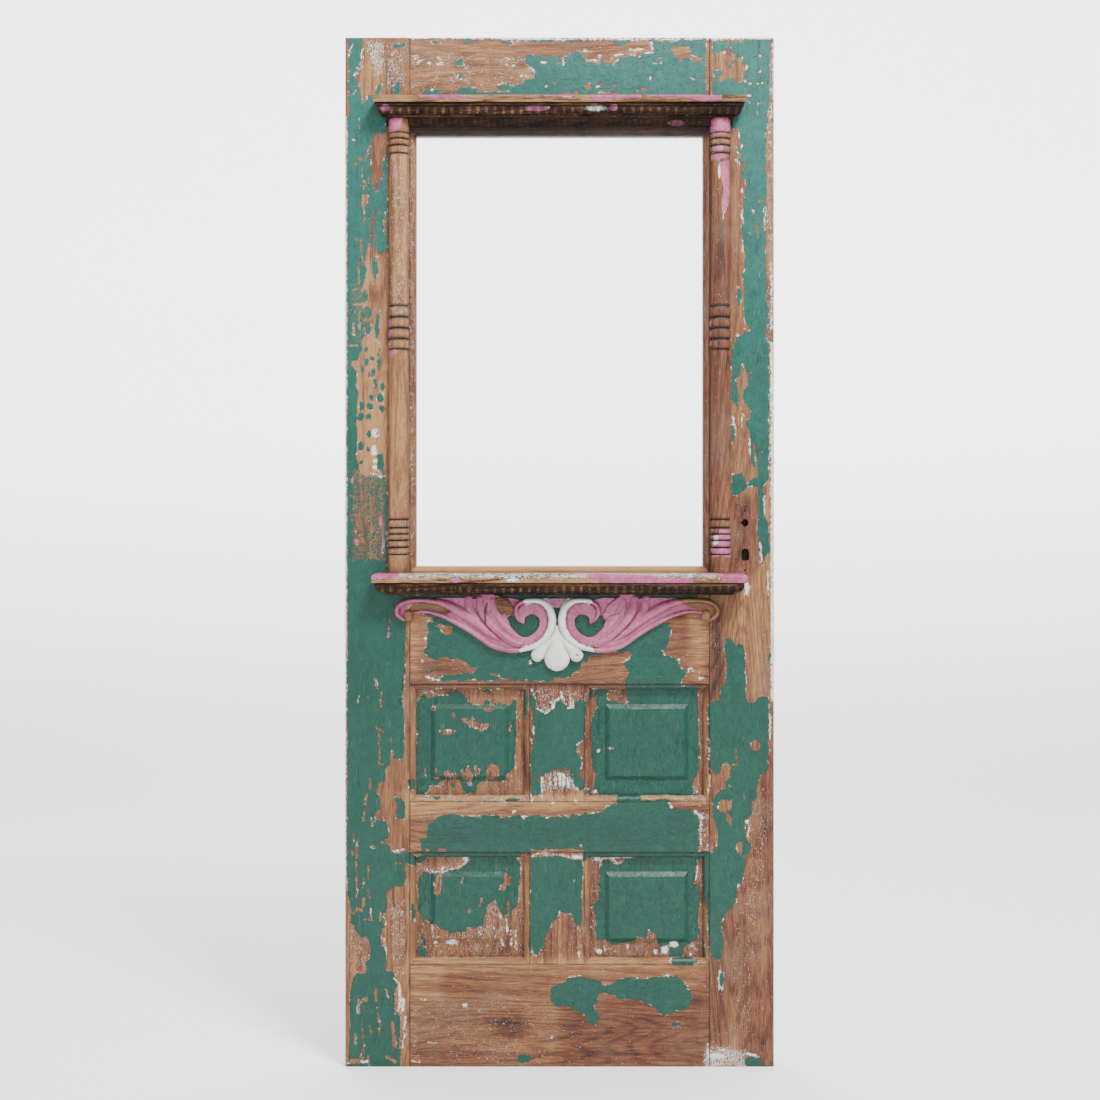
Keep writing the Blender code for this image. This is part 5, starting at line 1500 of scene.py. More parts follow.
@dataclass(frozen=True)
class Sticking:
    """The moulded edge that a member carries round an opening."""

    width: float = 0.012
    quirk: float = 0.0018
    shoulder: float = 0.001
    foot: float = 0.0025
    steps: int = 9
    step: float = 0.004

    def section(self) -> Points:
        """(distance into the opening, depth below the face) down the moulding."""
        turns = np.linspace(0, math.pi / 2, self.steps + 1)
        inward = self.shoulder + (self.width - self.shoulder) * np.sin(turns)
        depth = self.quirk + (LIP_DEPTH - self.foot - self.quirk) * (1 - np.cos(turns))
        curve = np.stack((inward, depth), -1)
        return np.concatenate(([(0.0, self.quirk)], curve, [(self.width, LIP_DEPTH), (0.0, LIP_DEPTH)]))

    def add(self, draft: MeshDraft, rect: Rect, side: Side, face_sign: int) -> None:
        """Adds the moulding along one side.

        Args:
            draft: The member's mesh.
            rect: The opening.
            side: Which side of it.
            face_sign: -1 for the outer face, 1 for the inner one.
        """
        section = self.section()
        upright = side in (Side.LEFT, Side.RIGHT)
        length = rect.top - rect.bottom if upright else rect.right - rect.left
        share = np.linspace(0, 1, max(2, round(length / self.step)))[:, None]
        inward = np.broadcast_to(section[:, 0], (len(share), len(section)))
        y = np.broadcast_to(face_sign * (THICKNESS / 2 - section[:, 1]), inward.shape)
        lattice = mitred_place(rect, side, np.broadcast_to(share, inward.shape), inward, y)
        reverse = (side in (Side.RIGHT, Side.BOTTOM)) != (face_sign < 0)
        numbers = draft.add_lattice(lattice, not reverse)
        draft.add_cap(numbers[0], reverse)
        draft.add_cap(numbers[-1], not reverse)


STICKING = Sticking()


@dataclass(frozen=True)
class Opening:
    """An opening of the frame and the members round it."""

    rect: Rect
    glazed: bool
    members: dict[Side, str]


@dataclass(frozen=True)
class LockHoles:
    """Keyhole, spindle hole and screw holes in the face, and the lock's pocket in the edge."""

    x: float = 0.806
    keyhole_z: float = 0.059
    keyhole: tuple[float, float] = (0.0126, 0.0154)
    keyhole_lobe: float = 0.0055
    spindle_z: float = -0.005
    spindle: tuple[float, float] = (0.0150, 0.0240)
    upper_screw: tuple[float, float] = (0.0835, 0.0032)
    lower_screw: tuple[float, float] = (-0.0368, 0.0042)
    screw_depth: float = 0.014
    pocket: Rect = Rect(0.784, 0.864, -0.027, 0.0767)
    pocket_thickness: float = 0.016
    plate: Rect = Rect(0.784, 0.828, -0.052, 0.096)

    def outlines(self) -> list[tuple[Points, float]]:
        """Each hole's outline on the face and the depth of its wall, in metres."""
        turns = np.linspace(0, 2 * math.pi, 28, endpoint=False)
        circle = np.stack((np.cos(turns), np.sin(turns)), -1)
        keyhole = circle * np.array(self.keyhole) / 2
        towards_lobe = (keyhole[:, 0] < 0) & (np.abs(keyhole[:, 1]) < self.keyhole_lobe / 2)
        keyhole[towards_lobe, 0] -= self.keyhole_lobe * 0.45
        half_width, half_height = self.spindle[0] / 2, self.spindle[1] / 2
        head = np.linspace(0, math.pi, 15)
        dome = np.stack((half_width * np.cos(head), half_height - half_width + half_width * np.sin(head)),
                        -1)
        corner = 0.002
        foot = np.array([(-half_width, corner - half_height), (corner - half_width, -half_height),
                         (half_width - corner, -half_height), (half_width, corner - half_height)])
        through = THICKNESS / 2 - self.pocket_thickness / 2
        found = [(keyhole + (self.x, self.keyhole_z), through),
                 (np.concatenate((dome, foot)) + (self.x, self.spindle_z), through)]
        for z, across in (self.upper_screw, self.lower_screw):
            found.append((circle[::2] * across / 2 + (self.x, z), self.screw_depth))
        return found

    def add(self, draft: MeshDraft, xs: Points, zs: Points) -> np.ndarray:
        """Adds the drilled part of the face, the holes' walls and the pocket.

        Args:
            draft: The stile's mesh.
            xs: Grid lines across the stile's face.
            zs: Grid lines up the stile's face.

        Returns:
            True for each cell of the face that this part takes the place of.
        """
        taken_x = (xs >= self.plate.left - 1e-6) & (xs <= self.plate.right + 1e-6)
        taken_z = (zs >= self.plate.bottom - 1e-6) & (zs <= self.plate.top + 1e-6)
        inner_x, inner_z = xs[taken_x], zs[taken_z]
        grid = [(x, z) for z in inner_z for x in inner_x]
        outlines = self.outlines()
        for outline, _ in outlines:
            across, down = np.array(grid).T
            clear = polygon_distance(outline, across, down) > 0.0009
            border = ((across <= inner_x[0]) | (across >= inner_x[-1])
                      | (down <= inner_z[0]) | (down >= inner_z[-1]))
            grid = [place for place, kept in zip(grid, clear | border) if kept]
        places = [Vector(place) for place in grid]
        edges: list[tuple[int, int]] = []
        for outline, _ in outlines:
            first = len(places)
            places += [Vector(place) for place in outline.tolist()]
            edges += [(first + k, first + (k + 1) % len(outline)) for k in range(len(outline))]
        flat, _, faces, *_ = delaunay_2d_cdt(places, edges, [], 0, 1e-7)
        numbers = draft.add_points(np.array([(place.x, FACE, place.y) for place in flat]))
        for face in faces:
            middle = sum((flat[k] for k in face), Vector((0.0, 0.0))) / len(face)
            here = np.array([middle.x]), np.array([middle.y])
            if all(polygon_distance(outline, *here)[0] > 0 for outline, _ in outlines):
                draft.faces.append(tuple(int(numbers[k]) for k in face))
        for outline, depth in outlines:
            ring = np.concatenate((outline, outline[:1]))
            wall = np.stack([np.stack((ring[:, 0], np.full(len(ring), FACE + share * depth), ring[:, 1]),
                                      -1)
                             for share in (0.0, 0.15, 0.5, 1.0)])
            wall[1:, :, 0] += ripple(wall[1:, :, 1], wall[1:, :, 2], 0.006, 5) * 0.0002
            numbers = draft.add_lattice(wall, True)
            if depth == self.screw_depth:
                draft.add_cap(numbers[-1][:-1])
        self._add_pocket(draft)
        cells_x, cells_z = taken_x[:-1] & taken_x[1:], taken_z[:-1] & taken_z[1:]
        return cells_z[:, None] & cells_x[None, :]

    def _add_pocket(self, draft: MeshDraft) -> None:
        """The mortise that held the lock, open at the stile's edge."""
        half = self.pocket_thickness / 2
        loop = [(-half, self.pocket.bottom), (half, self.pocket.bottom), (half, self.pocket.top),
                (-half, self.pocket.top), (-half, self.pocket.bottom)]
        depths = np.linspace(self.pocket.right, self.pocket.left, 6)
        lattice = np.array([[(x, y, z) for y, z in loop] for x in depths])
        numbers = draft.add_lattice(lattice, False)
        draft.add_cap(numbers[-1][:-1])


@dataclass(frozen=True)
class FrameMember:
    """A stile, rail or muntin: a board with rounded arrises and the mouldings that it carries."""

    name: str
    rect: Rect
    grain: Grain
    outer: tuple[Side, ...] = ()
    holes: LockHoles | None = None
    step: float = 0.0023
    rear_step: float = 0.012

    def radius(self, side: Side) -> float:
        """Rounding of one arris: worn on the leaf's outside, slight at a joint."""
        return OUTER_EASING if side in self.outer else JOINT_EASING

    def drop(self, x: Points, z: Points) -> Points:
        """How far the face lies back from the flat at a place."""
        total = np.zeros(np.broadcast(x, z).shape)
        gaps = {Side.LEFT: x - self.rect.left, Side.RIGHT: self.rect.right - x,
                Side.BOTTOM: z - self.rect.bottom, Side.TOP: self.rect.top - z}
        for side, distance in gaps.items():
            total = np.maximum(total, easing(np.broadcast_to(distance, total.shape), self.radius(side)))
            if side in self.outer:
                near = np.clip(1 - distance / 0.008, 0, 1) * np.clip(distance / 0.0012, 0, 1)
                nick = np.clip(ripple(x * 0.3, z, 0.021, 3) - 0.35, 0,
                               1) + np.clip(ripple(x, z, 0.009, 8) - 0.5, 0, 1)
                total = total + near * nick * 0.0011
        return total

    def lines(self, step: float) -> tuple[Points, Points]:
        """Grid lines across and up the face."""
        stops_x: tuple[float, ...] = ()
        stops_z: tuple[float, ...] = ()
        if self.holes:
            plate, pocket = self.holes.plate, self.holes.pocket
            stops_x = (plate.left, plate.right)
            stops_z = (plate.bottom, plate.top, pocket.bottom, pocket.top)
        rect = self.rect
        xs = edge_lines(rect.left, rect.right, self.radius(Side.LEFT), self.radius(Side.RIGHT), step,
                        *stops_x)
        zs = edge_lines(rect.bottom, rect.top, self.radius(Side.BOTTOM), self.radius(Side.TOP), step,
                        *stops_z)
        return xs, zs

    def sheet(self, xs: Points, zs: Points, face_sign: int) -> Points:
        """The outer or the inner face as places in rows and columns."""
        x, z = np.meshgrid(xs, zs)
        return np.stack((x, face_sign * (THICKNESS / 2 - self.drop(x, z)), z), -1)

    def build(self, openings: Iterable[Opening]) -> bpy.types.Object:
        """Makes the member.

        Args:
            openings: The frame's openings.

        Returns:
            The piece.
        """
        draft = MeshDraft()
        xs, zs = self.lines(self.step)
        dropped = self.holes.add(draft, xs, zs) if self.holes else None
        front = self.sheet(xs, zs, -1)
        draft.add_lattice(front, False, dropped)
        draft.add_lattice(self.sheet(*self.lines(self.rear_step), 1), True)
        rear = front * (1, -1, 1)
        self._add_walls(draft, front, rear, xs, zs)
        for opening in openings:
            for side, member in opening.members.items():
                if member == self.name:
                    STICKING.add(draft, opening.rect, side, -1)
                    if not opening.glazed:
                        STICKING.add(draft, opening.rect, side, 1)
        material = WornPaint(self.name + "_coats", self.grain).build()
        points = draft.points()
        fields = FRAME_WEAR.sample(points)
        self._soil_joints(points, fields)
        self._age_hidden_sides(points, fields)
        return draft.build(self.name + "_worn", material, fields)

    def _soil_joints(self, points: Points, fields: dict[Field, Points]) -> None:
        """Dirt in the lines where boards and mouldings meet."""
        x, z = points[:, 0], points[:, 2]
        gaps = {Side.LEFT: np.abs(x - self.rect.left), Side.RIGHT: np.abs(self.rect.right - x),
                Side.BOTTOM: np.abs(z - self.rect.bottom), Side.TOP: np.abs(self.rect.top - z)}
        for side, distance in gaps.items():
            if side not in self.outer and not (side is Side.BOTTOM and self.rect.bottom < -1.0):
                worn = np.clip(0.75 + ripple(x, z, 0.07, 71) * 0.35, 0.2, 1)
                fields[Field.SOIL_AND_SHADE] = np.maximum(fields[Field.SOIL_AND_SHADE],
                                                np.clip(1 - distance / 0.0013, 0, 1) * worn)

    def _add_walls(self, draft: MeshDraft, front: Points, rear: Points, xs: Points, zs: Points) -> None:
        """The board's four narrow sides."""
        shares = np.array([0.0, 0.12, 0.3181818, 0.6818182, 0.88, 1.0])
        middle = THICKNESS / 2 - self.radius(Side.RIGHT)
        if self.holes:
            half = self.holes.pocket_thickness / 2
            shares = np.array([0.0, 0.3, 0.5 - half / 2 / middle, 0.5 + half / 2 / middle, 0.7, 1.0])
        for side, edge, back, reverse in (
                (Side.LEFT, front[:, 0], rear[:, 0], False),
                (Side.RIGHT, front[:, -1], rear[:, -1], True), (Side.BOTTOM, front[0], rear[0], True),
                (Side.TOP, front[-1], rear[-1], False)):
            wall = edge[:, None] + (back - edge)[:, None] * shares[None, :, None]
            dropped = None
            if self.holes and side is Side.RIGHT:
                pocket = self.holes.pocket
                within = (zs[:-1] >= pocket.bottom - 1e-6) & (zs[1:] <= pocket.top + 1e-6)
                dropped = np.zeros((len(zs) - 1, len(shares) - 1), bool)
                dropped[within, 2] = True
            draft.add_lattice(wall, reverse, dropped)

    def _age_hidden_sides(self, points: Points, fields: dict[Field, Points]) -> None:
        """Plainer wear for what the photograph doesn't show."""
        y, x, z = points[:, 1], points[:, 0], points[:, 2]
        behind = y > 0.001
        patches = 7.0 + ripple(x, z, 0.34, 21) * 5.5 + ripple(x, z, 0.09, 22) * 2.0
        low = np.clip((-0.72 - z) / 0.2, 0, 1) * 5.0
        fields[Field.GREEN][behind] = np.clip(patches - low, -SURE, SURE)[behind]
        fields[Field.CRACKLE][behind] = 0.18
        for name in (Field.PINK, Field.PALE):
            fields[name][behind] = -SURE
        outermost = (x < 0.0004) | (x > DOOR_WIDTH - 0.0004) | (np.abs(z) > DOOR_HEIGHT / 2 - 0.0004)
        edges = (np.abs(y) < 0.0185) & outermost
        fields[Field.GREEN][edges] = (ripple(z, x, 0.2, 31) * 3.0 - 5.0)[edges]
        fields[Field.PALE][edges] = (ripple(z, y, 0.05, 32) * 3.0 - 2.2)[edges]
        fields[Field.PINK][edges] = (ripple(z, y, 0.12, 33) * 3.0 - 4.5)[edges]
        # painted shade inside the lock's holes and pocket
        hidden = (np.abs(x - 0.814) < 0.047) & (np.abs(y) < 0.021) & (z > -0.06) & (z < 0.1)
        hidden &= ~edges & ~behind
        fields[Field.SOIL_AND_SHADE][hidden & (y > FACE + 0.0006)] = 0.9


@dataclass(frozen=True)
class RaisedPanel:
    """A panel with a flat border, a slope and a raised field."""

    name: str
    opening: Rect
    play: float = 0.001
    margin: float = 0.030
    slope: float = 0.009
    rise: float = 0.007
    step: float = 0.0024

    def build(self) -> bpy.types.Object:
        """Makes the panel."""
        rect = Rect(self.opening.left + self.play, self.opening.right - self.play,
                    self.opening.bottom + self.play, self.opening.top - self.play)
        board = GROOVE_WIDTH / 2 - GAP
        foot = STICKING.width + self.margin - self.play
        inset = (foot, foot + self.slope / 3, foot + self.slope * 2 / 3, foot + self.slope,
                 foot + self.slope + 0.0008)
        xs = even_lines(rect.left, rect.right, self.step, *(rect.left + s for s in inset),
                        *(rect.right - s for s in inset))
        zs = even_lines(rect.bottom, rect.top, self.step, *(rect.bottom + s for s in inset),
                        *(rect.top - s for s in inset))

        def rise(x: Points, z: Points) -> Points:
            """Height of the face above the border."""
            near = np.minimum(np.minimum(x - rect.left, rect.right - x),
                              np.minimum(z - rect.bottom, rect.top - z))
            share = np.clip((near - foot) / self.slope, 0, 1)
            return self.rise * share + ripple(x, z, 0.16, 41) * 0.0003 * (share >= 1)

        x, z = np.meshgrid(xs, zs)
        front = np.stack((x, -board - rise(x, z), z), -1)
        creases = crease_cells(xs, zs, rise)
        draft = MeshDraft()
        draft.add_lattice(front, False, None, creases)
        rear = front.copy()
        rear[..., 1] = board
        draft.add_lattice(rear[::4, ::4], True)
        for edge, back, reverse in ((front[:, 0], rear[:, 0], False), (front[:, -1], rear[:, -1], True),
                                    (front[0], rear[0], True), (front[-1], rear[-1], False)):
            draft.add_lattice(np.stack((edge, back), 1), reverse)
        points = draft.points()
        fields = PANEL_MAP.sample(points)
        behind = points[:, 1] > 0
        fields[Field.GREEN][behind] = (8.0 + ripple(points[:, 0], points[:, 2], 0.2, 51) * 6.0)[behind]
        fields[Field.PALE][behind] = -SURE
        material = WornPaint(self.name + "_coats", Grain.UPRIGHT).build()
        return draft.build(self.name + "_worn", material, fields, 20.0)


def crease_cells(xs: Points, zs: Points, rise: Callable[[Points, Points], Points]) -> np.ndarray:
    """Which cells of a grid are creased along a diagonal.

    Args:
        xs: Grid lines across.
        zs: Grid lines up.
        rise: Height of the surface at a place.

    Returns:
        0 for a flat cell, 1 or 2 for the diagonal that follows the surface.
    """
    x, z = np.meshgrid(xs, zs)
    height = rise(x, z)
    middle = rise(*np.meshgrid((xs[:-1] + xs[1:]) / 2, (zs[:-1] + zs[1:]) / 2))
    first = np.abs((height[:-1, :-1] + height[1:, 1:]) / 2 - middle)
    second = np.abs((height[:-1, 1:] + height[1:, :-1]) / 2 - middle)
    flat = np.abs(first - second) < 2e-5
    return np.where(flat, 0, np.where(first < second, 1, 2))


@dataclass(frozen=True)
class JoinedFrame:
    """The stiles, rails, muntins and panels, joined round five openings."""

    stile_width: float = 0.130
    rows: tuple[float, ...] = (0.206, 0.226, 0.102, 0.237, 0.225)
    top_rail: float = 0.184
    muntin_width: float = 0.110
    muntin_shift: float = -0.005

    def levels(self) -> list[float]:
        """Heights of the rails' edges, from the foot to the head."""
        heights = [0.0]
        for row in self.rows:
            heights.append(heights[-1] + row)
        heights += [DOOR_HEIGHT - self.top_rail, DOOR_HEIGHT]
        return [height - DOOR_HEIGHT / 2 for height in heights]

    def muntin_sides(self) -> tuple[float, float]:
        """Left and right edge of the muntins."""
        left = (DOOR_WIDTH - self.muntin_width) / 2 + self.muntin_shift
        return left, left + self.muntin_width

    def openings(self) -> dict[str, Opening]:
        """The glass opening and the four panel openings."""
        z = self.levels()
        inner, outer = self.stile_width, DOOR_WIDTH - self.stile_width
        left, right = self.muntin_sides()
        rows = {"upper": (z[3], z[4], "middle_rail", "lock_rail"),
                "lower": (z[1], z[2], "bottom_rail", "middle_rail")}
        made = {"glass": Opening(Rect(inner, outer, z[5], z[6]), True, {
            Side.LEFT: "hinge_stile", Side.RIGHT: "lock_stile", Side.BOTTOM: "lock_rail",
            Side.TOP: "top_rail"})}
        for row, (bottom, top, below, above) in rows.items():
            muntin = row + "_muntin"
            made[row + "_left"] = Opening(Rect(inner, left, bottom, top), False, {
                Side.LEFT: "hinge_stile", Side.RIGHT: muntin, Side.BOTTOM: below, Side.TOP: above})
            made[row + "_right"] = Opening(Rect(right, outer, bottom, top), False, {
                Side.LEFT: muntin, Side.RIGHT: "lock_stile", Side.BOTTOM: below, Side.TOP: above})
        return made

    def members(self) -> list[FrameMember]:
        """Every board of the frame."""
        z = self.levels()
        inner, outer = self.stile_width, DOOR_WIDTH - self.stile_width
        left, right = self.muntin_sides()
        made = [
            FrameMember("hinge_stile", Rect(0.0, inner, z[0], z[7]), Grain.UPRIGHT,
                        (Side.LEFT, Side.TOP)),
            FrameMember("lock_stile", Rect(outer, DOOR_WIDTH, z[0], z[7]), Grain.UPRIGHT,
                        (Side.RIGHT, Side.TOP),
                        LockHoles()),
        ]
        rails = {"bottom_rail": (z[0], z[1]), "middle_rail": (z[2], z[3]), "lock_rail": (z[4], z[5]),
                 "top_rail": (z[6], z[7])}
        for name, (bottom, top) in rails.items():
            sides = (Side.TOP,) if name == "top_rail" else ()
            made.append(FrameMember(name, Rect(inner + GAP, outer - GAP, bottom, top), Grain.LEVEL,
                                    sides))
        for name, bottom, top in (("lower_muntin", z[1], z[2]), ("upper_muntin", z[3], z[4])):
            made.append(FrameMember(name, Rect(left, right, bottom + GAP, top - GAP), Grain.UPRIGHT))
        return made

    def build(self) -> None:
        """Makes and places every board and panel."""
        openings = self.openings()
        for member in self.members():
            show(member.build(openings.values()), member.name)
        for name, opening in openings.items():
            if not opening.glazed:
                node = "panel_" + name
                show(RaisedPanel(node, opening.rect).build(), node)


# The planted ornament


@dataclass(frozen=True)
class HalfColumn:
    """A half-round turned column, planted on a stile."""

    name: str
    x: float
    bottom: float = -0.0407
    top: float = 0.8722
    radius: float = 0.0217
    groove: float = 0.0174
    shaft_top: float = 0.0194
    shaft_bottom: float = 0.0212
    cap: float = 0.0303
    cap_rings: tuple[float, ...] = (0.0120, 0.0134, 0.0162)
    middle_rings: tuple[float, ...] = (0.0231, 0.0221, 0.0216, 0.0215)
    base_rings: tuple[float, ...] = (0.0170, 0.0124, 0.0126, 0.0144, 0.0150)
    lower_shaft: float = 0.341
    base: float = 0.0348
    sides: int = 28
    ring_steps: int = 11
    shaft_step: float = 0.004

    def _rings(self, top: float, heights: Sequence[float]) -> tuple[list[tuple[float, float]], float]:
        """(radius, height) down a stack of rounded rings, and where it ends."""
        found = []
        for height in heights:
            for k in range(self.ring_steps):
                share = k / self.ring_steps
                swell = (1 - abs(2 * share - 1) ** 2.4) ** 0.7
                found.append((self.groove + (self.radius - self.groove) * swell, top - height * share))
            top -= height
        return found + [(self.groove, top)], top

    def profile(self) -> Points:
        """(radius, height) from the column's head to its foot."""
        upper_shaft = (self.top - self.bottom - self.cap - sum(self.cap_rings) - sum(self.middle_rings)
                       - self.lower_shaft - sum(self.base_rings) - self.base)
        share = upper_shaft / (upper_shaft + self.lower_shaft)
        middle = self.shaft_top + (self.shaft_bottom - self.shaft_top) * share
        found = []
        for k in range(13):
            part = k / 13
            swell = 1 - abs(2 * part - 1) ** 3.2
            neck = self.groove if part > 0.5 else self.shaft_top
            found.append((neck + (self.radius - neck) * swell ** 0.6, self.top - self.cap * part))
        rings, level = self._rings(self.top - self.cap, self.cap_rings)
        found += rings
        for start, end, length, heights in (
                (self.shaft_top, middle, upper_shaft, self.middle_rings),
                (middle, self.shaft_bottom, self.lower_shaft, self.base_rings)):
            steps = round(length / self.shaft_step)
            found.append((start - 0.0003, level - 0.0004))
            found += [(start + (end - start) * k / steps, level - length * k / steps)
                      for k in range(1, steps)]
            rings, level = self._rings(level - length, heights)
            found += rings
        found += [(self.radius - 0.0006, level - 0.0005), (self.radius, level - 0.0016)]
        found += [(self.radius, level - 0.0016 - (self.base - 0.0016) * k / 8) for k in range(1, 9)]
        return np.array(found)

    def build(self, wear: WearMap) -> bpy.types.Object:
        """Makes the column.

        Args:
            wear: Where paint is left.

        Returns:
            The piece.
        """
        profile = self.profile()[::-1]
        turns = np.linspace(math.pi, 0, self.sides + 1)
        radius, z = profile[:, :1], profile[:, 1:]
        radius = radius - np.clip(ripple(turns[None, :] * 0.02, z, 0.05, 61), 0, 1) * 0.0003
        back = FACE - GAP
        lattice = np.stack((self.x + radius * np.cos(turns), back - radius * np.sin(turns),
                            np.broadcast_to(z, radius.shape)), -1)
        draft = MeshDraft()
        numbers = draft.add_lattice(lattice)
        draft.add_cap(numbers[0], True)
        draft.add_cap(numbers[-1])
        draft.add_lattice(lattice[:, ::self.sides], True)
        points = draft.points()
        fields = wear.sample(points)
        reach = np.hypot(points[:, 0] - self.x, points[:, 1] - back)
        # painted shade with dirt: darker in the grooves between the rings
        fields[Field.SOIL_AND_SHADE] = np.clip((0.0214 - reach) / 0.0024, 0,
                                     1) ** 1.1 * 0.97 * self._near_rings(points[:, 2])
        # painted shade on both flanks of the half-round, where it turns away from the light
        side = np.clip((np.abs(points[:, 0] - self.x) - 0.017) / 0.004, 0, 1)
        fields[Field.SOIL_AND_SHADE] = np.maximum(fields[Field.SOIL_AND_SHADE], side * 0.35)
        material = WornPaint(self.name + "_pine", Grain.UPRIGHT, flake=0.6).build()
        return draft.build(self.name + "_turned", material, fields, 50.0)

    def _near_rings(self, z: Points) -> Points:
        """1 where the column has rings, 0 on its shafts."""
        level = self.top - self.cap
        spans = [(level - sum(self.cap_rings), level)]
        foot = self.bottom + self.base
        spans.append((foot, foot + sum(self.base_rings)))
        low = spans[1][1] + self.lower_shaft
        spans.append((low, low + sum(self.middle_rings)))
        found = np.zeros(z.shape)
        for start, end in spans:
            found = np.maximum(found, (z > start - 0.001) & (z < end + 0.001))
        return found


class Ornament(Enum):
    """What is pressed into a level of a moulding."""

    PLAIN = "plain"
    EGGS = "eggs"
    LEAVES = "leaves"


@dataclass(frozen=True)
class Level:
    """One edge of a moulding: how far it stands out to the front and to the side, and its height."""

    front: float
    side: float
    z: float
    ornament: Ornament = Ornament.PLAIN
    share: float = 0.0
    steep: float = 0.0


@dataclass(frozen=True)
class PlantedMoulding:
    """The cornice or the sill: levels swept along the front and round two mitred returns."""

    name: str
    levels: tuple[Level, ...]
    half_length: float = DOOR_WIDTH / 2 - 0.130 + 2 * 0.0217
    pitch: float = 0.0172
    eggs: int = 40
    egg_relief: float = 0.0030
    front_steps: int = 560
    return_steps: int = 30
    housings: bool = False

    def relief(self, along: Points, level: Level) -> Points:
        """How far the pressed pattern stands out along a level."""
        if level.ornament is Ornament.PLAIN:
            return np.zeros(along.shape)
        phase = np.mod(along / self.pitch, 1.0) - 0.5
        rise = math.sin(math.pi * level.share)
        if level.ornament is Ornament.LEAVES:
            half = np.abs(np.mod(along / (self.pitch * 0.75), 1.0) - 0.5)
            vein = np.clip(1 - half / 0.05, 0, 1)
            leaf = np.clip(1 - (half / (0.46 - 0.3 * level.share)) ** 2, 0, 1)
            return rise * (0.0011 * np.sqrt(leaf) - 0.0005 * vein)
        narrow = 0.5 + 0.5 * level.share
        egg = np.clip(1 - (phase / (0.25 * narrow + 0.02)) ** 2, 0, 1)
        shell = np.clip(1 - ((np.abs(phase) - 0.30 * narrow - 0.035) / 0.055) ** 2, 0, 1)
        dart = np.clip(1 - ((0.5 - np.abs(phase)) / 0.07) ** 2, 0, 1)
        return rise * (self.egg_relief * np.sqrt(egg) * 0.9 + 0.0018 * shell + 0.0013 * dart)

    def row(self, level: Level) -> tuple[Points, Points]:
        """Places along one level, and how far the pattern stands out there."""
        half, back, centre = self.half_length + level.side, FACE - GAP, DOOR_WIDTH / 2
        out = np.linspace(0, 1, self.return_steps, endpoint=False)
        front_run = np.linspace(-half, half, self.front_steps + 1)
        shift = self.eggs * self.pitch / 2
        fall = np.array([0.0, 0.0, -math.sin(level.steep)])
        fronts = self.relief(front_run + shift, level)
        edge = np.clip((half - np.abs(front_run)) / 0.004, 0, 1)
        sides = self.relief(out * level.front, level) * np.clip((1 - out) / 0.1, 0, 1)
        push = np.concatenate((sides, fronts * edge, sides[::-1]))
        left = np.stack((np.full(out.shape, centre - half), back - out * level.front,
                         np.full(out.shape, level.z)), -1)
        middle = np.stack((centre + front_run, np.full(front_run.shape, back - level.front),
                           np.full(front_run.shape, level.z)), -1)
        right = left[::-1] * (-1, 1, 1) + (2 * centre, 0, 0)
        outward = np.concatenate([np.tile(way, (len(places), 1)) for way, places in
                                  (((-1.0, 0.0, 0.0), left), ((0.0, -1.0, 0.0), middle),
                                   ((1.0, 0.0, 0.0), right))])
        places = np.concatenate((left, middle, right))
        return places + push[:, None] * (outward * math.cos(level.steep) + fall), push

    def build(self, wear: WearMap) -> bpy.types.Object:
        """Makes the moulding.

        Args:
            wear: Where paint is left.

        Returns:
            The piece.
        """
        rows = [self.row(level) for level in self.levels]
        lattice = np.stack([places for places, _ in rows])
        if self.housings:
            self._house_columns(lattice)
        draft = MeshDraft()
        numbers = draft.add_lattice(lattice)
        draft.add_cap(numbers[0], True)
        draft.add_cap(numbers[-1])
        draft.add_cap([*numbers[:, 0], *numbers[::-1, -1]])
        points = draft.points()
        fields = wear.sample(points)
        self._soil_and_shade(fields, rows)
        material = WornPaint(self.name + "_stain", Grain.LEVEL, STAINED_PINE, flake=0.35,
                             sheen=0.15).build()
        return draft.build(self.name + "_pressed", material, fields, 32.0)

    def _house_columns(self, lattice: Points) -> None:
        """Lifts the underside out of the columns' heads."""
        for x in (0.130 - 0.0217, DOOR_WIDTH - 0.130 + 0.0217):
            inside = np.hypot(lattice[..., 0] - x, lattice[..., 1] - FACE) < 0.0223
            lattice[..., 2] = np.where(inside & (lattice[..., 2] < 0.8725), 0.8725, lattice[..., 2])

    def _soil_and_shade(self, fields: dict[Field, Points], rows: Sequence[tuple[Points, Points]]) -> None:
        """Dirt and painted shade in the hollows, and wear on what stands out."""
        depths = np.array([level.front for level in self.levels])
        smooth = np.convolve(np.pad(depths, 4, mode="edge"), np.ones(9) / 9, mode="valid")
        hollow = np.clip((smooth - depths) / 0.003, -1, 1)
        soil_and_shade, worn = [], []
        for level, depth, (_, push) in zip(self.levels, hollow, rows):
            # painted shade with dirt: levels set back from their neighbours are darker, the pressed bands
            # most of all
            base = 0.22 + 0.5 * depth if level.ornament is Ornament.PLAIN else 0.66 + 0.3 * depth
            standing = np.clip(push / 0.0026, 0, 1)
            soil_and_shade.append(np.clip(base - standing * 0.35, 0, 0.9))
            worn.append(standing)
        fields[Field.SOIL_AND_SHADE] = np.concatenate(soil_and_shade)
        fields[Field.TONE] = np.clip(fields[Field.TONE] - np.concatenate(worn) * 0.3, 0, 1)


def quarter(start: tuple[float, float], end: tuple[float, float], steps: int,
            bulge_first: bool) -> list[tuple[float, float]]:
    """Points of a quarter ellipse from start to end.

    Args:
        start: First point.
        end: Last point.
        steps: How many parts it has.
        bulge_first: Whether it leaves start along its first coordinate.

    Returns:
        The points, with both ends.
    """
    found = []
    for k in range(steps + 1):
        turn = math.pi / 2 * k / steps
        first, second = math.sin(turn), 1 - math.cos(turn)
        if not bulge_first:
            first, second = second, first
        found.append((start[0] + (end[0] - start[0]) * first, start[1] + (end[1] - start[1]) * second))
    return found


